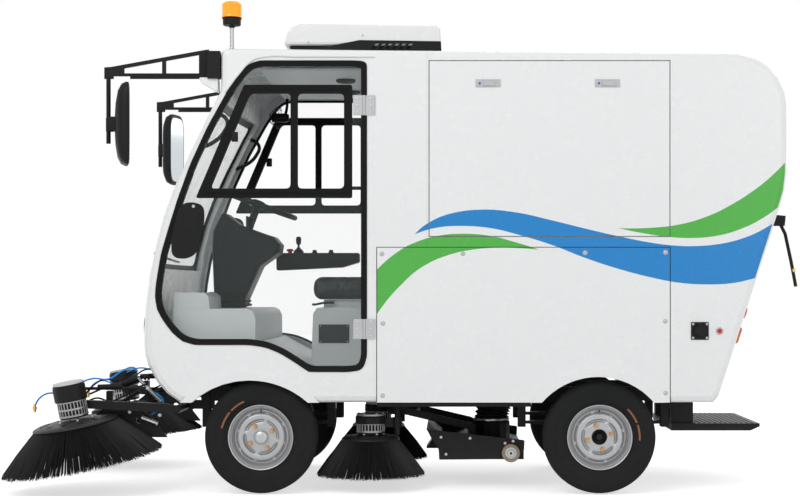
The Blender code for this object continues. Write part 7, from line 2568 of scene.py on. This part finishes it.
@dataclass
class RearEnd:
    """Hatch hinges, pull handle and lock, tail lamps and the lance's brass tip."""

    high: Flat = (780.5, 207.0)
    low: Flat = (720.0, 395.0)

    def frame(self, share: float, across: float) -> Matrix:
        """Give axes on the sloping rear face: X out of it, Y across, Z up along it.

        Args:
            share: Place down the face, 0 at its top and 1 at its foot.
            across: Place to the left of the middle.

        Returns:
            The axes.
        """
        top, foot = (Vector((x, 0.0, z)) for x, z in (VIEW.at(*self.high), VIEW.at(*self.low)))
        up = (top - foot).normalized()
        out = Vector((-up.z, 0.0, up.x))
        side = up.cross(out)
        turn = Matrix((out, side, up)).transposed().to_4x4()
        return Matrix.Translation(top.lerp(foot, share) + Vector((0.0, across, 0.0))) @ turn

    def hinges(self) -> None:
        """Build the hatch's two hinges, each a barrel and a screwed leaf."""
        parts, screws = [], []
        leaf = Bench.block("leaf", (0.0005, -0.035, -0.055), (0.0035, 0.035, -0.009), 0.001, 1)
        for i in range(5):
            parts.append(
                Bench.rod(
                    "barrel", (0.0015, -0.035 + 0.014 * i, 0.0), (0.0015, -0.0222 + 0.014 * i, 0.0), 0.0060,
                    18, edge=0.0006,
                )
            )
        for y in (-0.022, 0.0, 0.022):
            screws.append(
                Bench.rod("screw", (0.003, y, -0.034), (0.0055, y, -0.034), 0.005, 14, 0.0035, 0.0006)
            )
        groups = (
            ("hatch_leaf_left", "rear_hatch", [leaf]), ("hatch_hinge_left", "chassis", parts),
            ("hatch_screws_left", "rear_hatch", screws),
        )
        for name, body, pieces in groups:
            piece = Bench.join(name, *pieces)
            piece.data.transform(self.frame(0.004, 0.27))
            right = Bench.mirrored(piece, name.replace("_left", "_right"))
            for each in (piece, right):
                Bench.done(each, FINISH.steel, body)

    def handle(self) -> None:
        """Bend the hatch's pull handle and set its lock in a plate."""
        frame = self.frame(0.79, 0.0)
        grip = Bench.tube(
            "hatch_handle",
            [
                (0.0, -0.075, 0.0), (0.022, -0.073, 0.0), (0.032, -0.060, 0.0), (0.034, 0.0, 0.0),
                (0.032, 0.060, 0.0), (0.022, 0.073, 0.0), (0.0, 0.075, 0.0),
            ],
            0.0075,
        )
        feet = [
            Bench.rod(
                "foot", (0.0, y, 0.0), (0.004, y, 0.0), 0.014, 24, 0.011, 0.001
            ) for y in (-0.075, 0.075)
        ]
        piece = Bench.join("hatch_handle", grip, *feet)
        piece.data.transform(frame)
        Bench.done(piece, FINISH.black_plastic, "rear_hatch")
        plate = Bench.block("plate", (0.0, -0.022, 0.045), (0.004, 0.022, 0.085), 0.0015, 2)
        lock = Bench.rod("lock", (0.003, 0.0, 0.065), (0.0075, 0.0, 0.065), 0.011, 28, 0.0105, 0.0008)
        slit = Bench.block("slit", (0.006, -0.0012, 0.059), (0.010, 0.0012, 0.071))
        piece = Bench.join("hatch_lock", plate, Bench.cut(lock, slit))
        piece.data.transform(frame)
        Bench.done(piece, FINISH.steel, "rear_hatch")

    def lamps(self) -> None:
        """Stand an oblong orange lamp and a red one on each rear corner, with black seats."""
        frame = self.frame(0.681, 0.585)
        seat = Bench.block("tail_lamp_seat_left", (0.0, -0.034, -0.045), (0.008, 0.034, 0.045), 0.006, 3)
        lens = Bench.block("tail_lamp_left", (0.007, -0.030, -0.041), (0.022, 0.030, 0.041), 0.009, 3)
        ribs = [
            Bench.block(
                "rib", (0.020, -0.024, z - 0.0012), (0.0228, 0.024, z + 0.0012), 0.0008, 1
            ) for z in (-0.024, -0.012, 0.0, 0.012, 0.024)
        ]
        lens = Bench.join("tail_lamp_left", lens, *ribs)
        for piece, finish in ((seat, FINISH.rubber), (lens, FINISH.orange_lens)):
            piece.data.transform(frame)
            Bench.both(piece, finish)
        frame = self.frame(0.56, 0.585)
        glass = [(0.0, 0.020), (0.020, 0.019), (0.028, 0.016), (0.031, 0.011), (0.031, 0.001), (0.0, 0.001)]
        stop = Bench.spun("stop_lamp_left", glass, ORIGIN, AHEAD, 40)
        ring = Bench.ring("stop_lamp_ring_left", (0.004, 0.0, 0.0), AHEAD, 0.033, 0.0035, 40)
        for piece, finish in ((stop, FINISH.red_lens), (ring, FINISH.rubber)):
            piece.data.transform(frame)
            Bench.both(piece, finish)

    def lance_tip(self) -> None:
        """Extend the spray lance with its brass tube and nut."""
        start, end = (VIEW.at(x, y, 0.50) for x, y in ((793.2, 270.0), (796.4, 286.5)))
        points = [Vector((x, 0.50, z)) for x, z in (start, end)]
        way = (points[1] - points[0]).normalized()
        tube = Bench.rod("tube", points[0], points[1], 0.0055, 16, edge=0.0008)
        nut = Bench.rod("nut", points[0] - way * 0.006, points[0] + way * 0.010, 0.0105, 6, 0.0100, 0.001)
        Bench.done(Bench.join("lance_tip", tube, nut), FINISH.brass)

    def build(self) -> None:
        """Build the rear fittings."""
        self.hinges()
        self.handle()
        self.lamps()
        self.lance_tip()


NODE_FINISHES: dict[str, Finish] = {
    "white_paint": FINISH.banded,
    "grey_panel": FINISH.light_grey,
    "black_plastic": FINISH.black_plastic,
    "black_paint": FINISH.black_paint,
    "black_rubber": FINISH.rubber,
    "seat_vinyl": FINISH.vinyl,
    "rim_silver": FINISH.silver,
    "cast_steel": FINISH.cast,
    "bristle": FINISH.bristle,
    "clear_glass": FINISH.glass,
    "lamp_lens": FINISH.clear_lens,
    "amber_lens": FINISH.amber,
    "tyre_black": FINISH.tyre,
}


ASSEMBLIES: tuple[type, ...] = (Wheels, BodyPanels, SweepGear, CabDoor, Cab, RoofAndNose, Underbody, RearEnd)


def dress_nodes() -> None:
    """Give every CAD node that stays in view the finish of its slot."""
    for part in FRAME["record"]["subparts"]:
        node = FRAME["nodes"][part["node"]]
        node.data.materials.clear()
        node.data.materials.append(NODE_FINISHES[part["material_slot"]].material())


def main() -> None:
    """Build the classes in order and work out the box before and after."""
    logging.basicConfig(level=logging.INFO, format="%(message)s")
    cad_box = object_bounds()
    Studio().build()
    dress_nodes()
    for assembly in ASSEMBLIES:
        assembly().build()
    for label, corners in (("cad", cad_box), ("visual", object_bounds())):
        [[float(part) for part in corner] for corner in corners]


if __name__ == "__main__":
    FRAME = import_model()
    main()
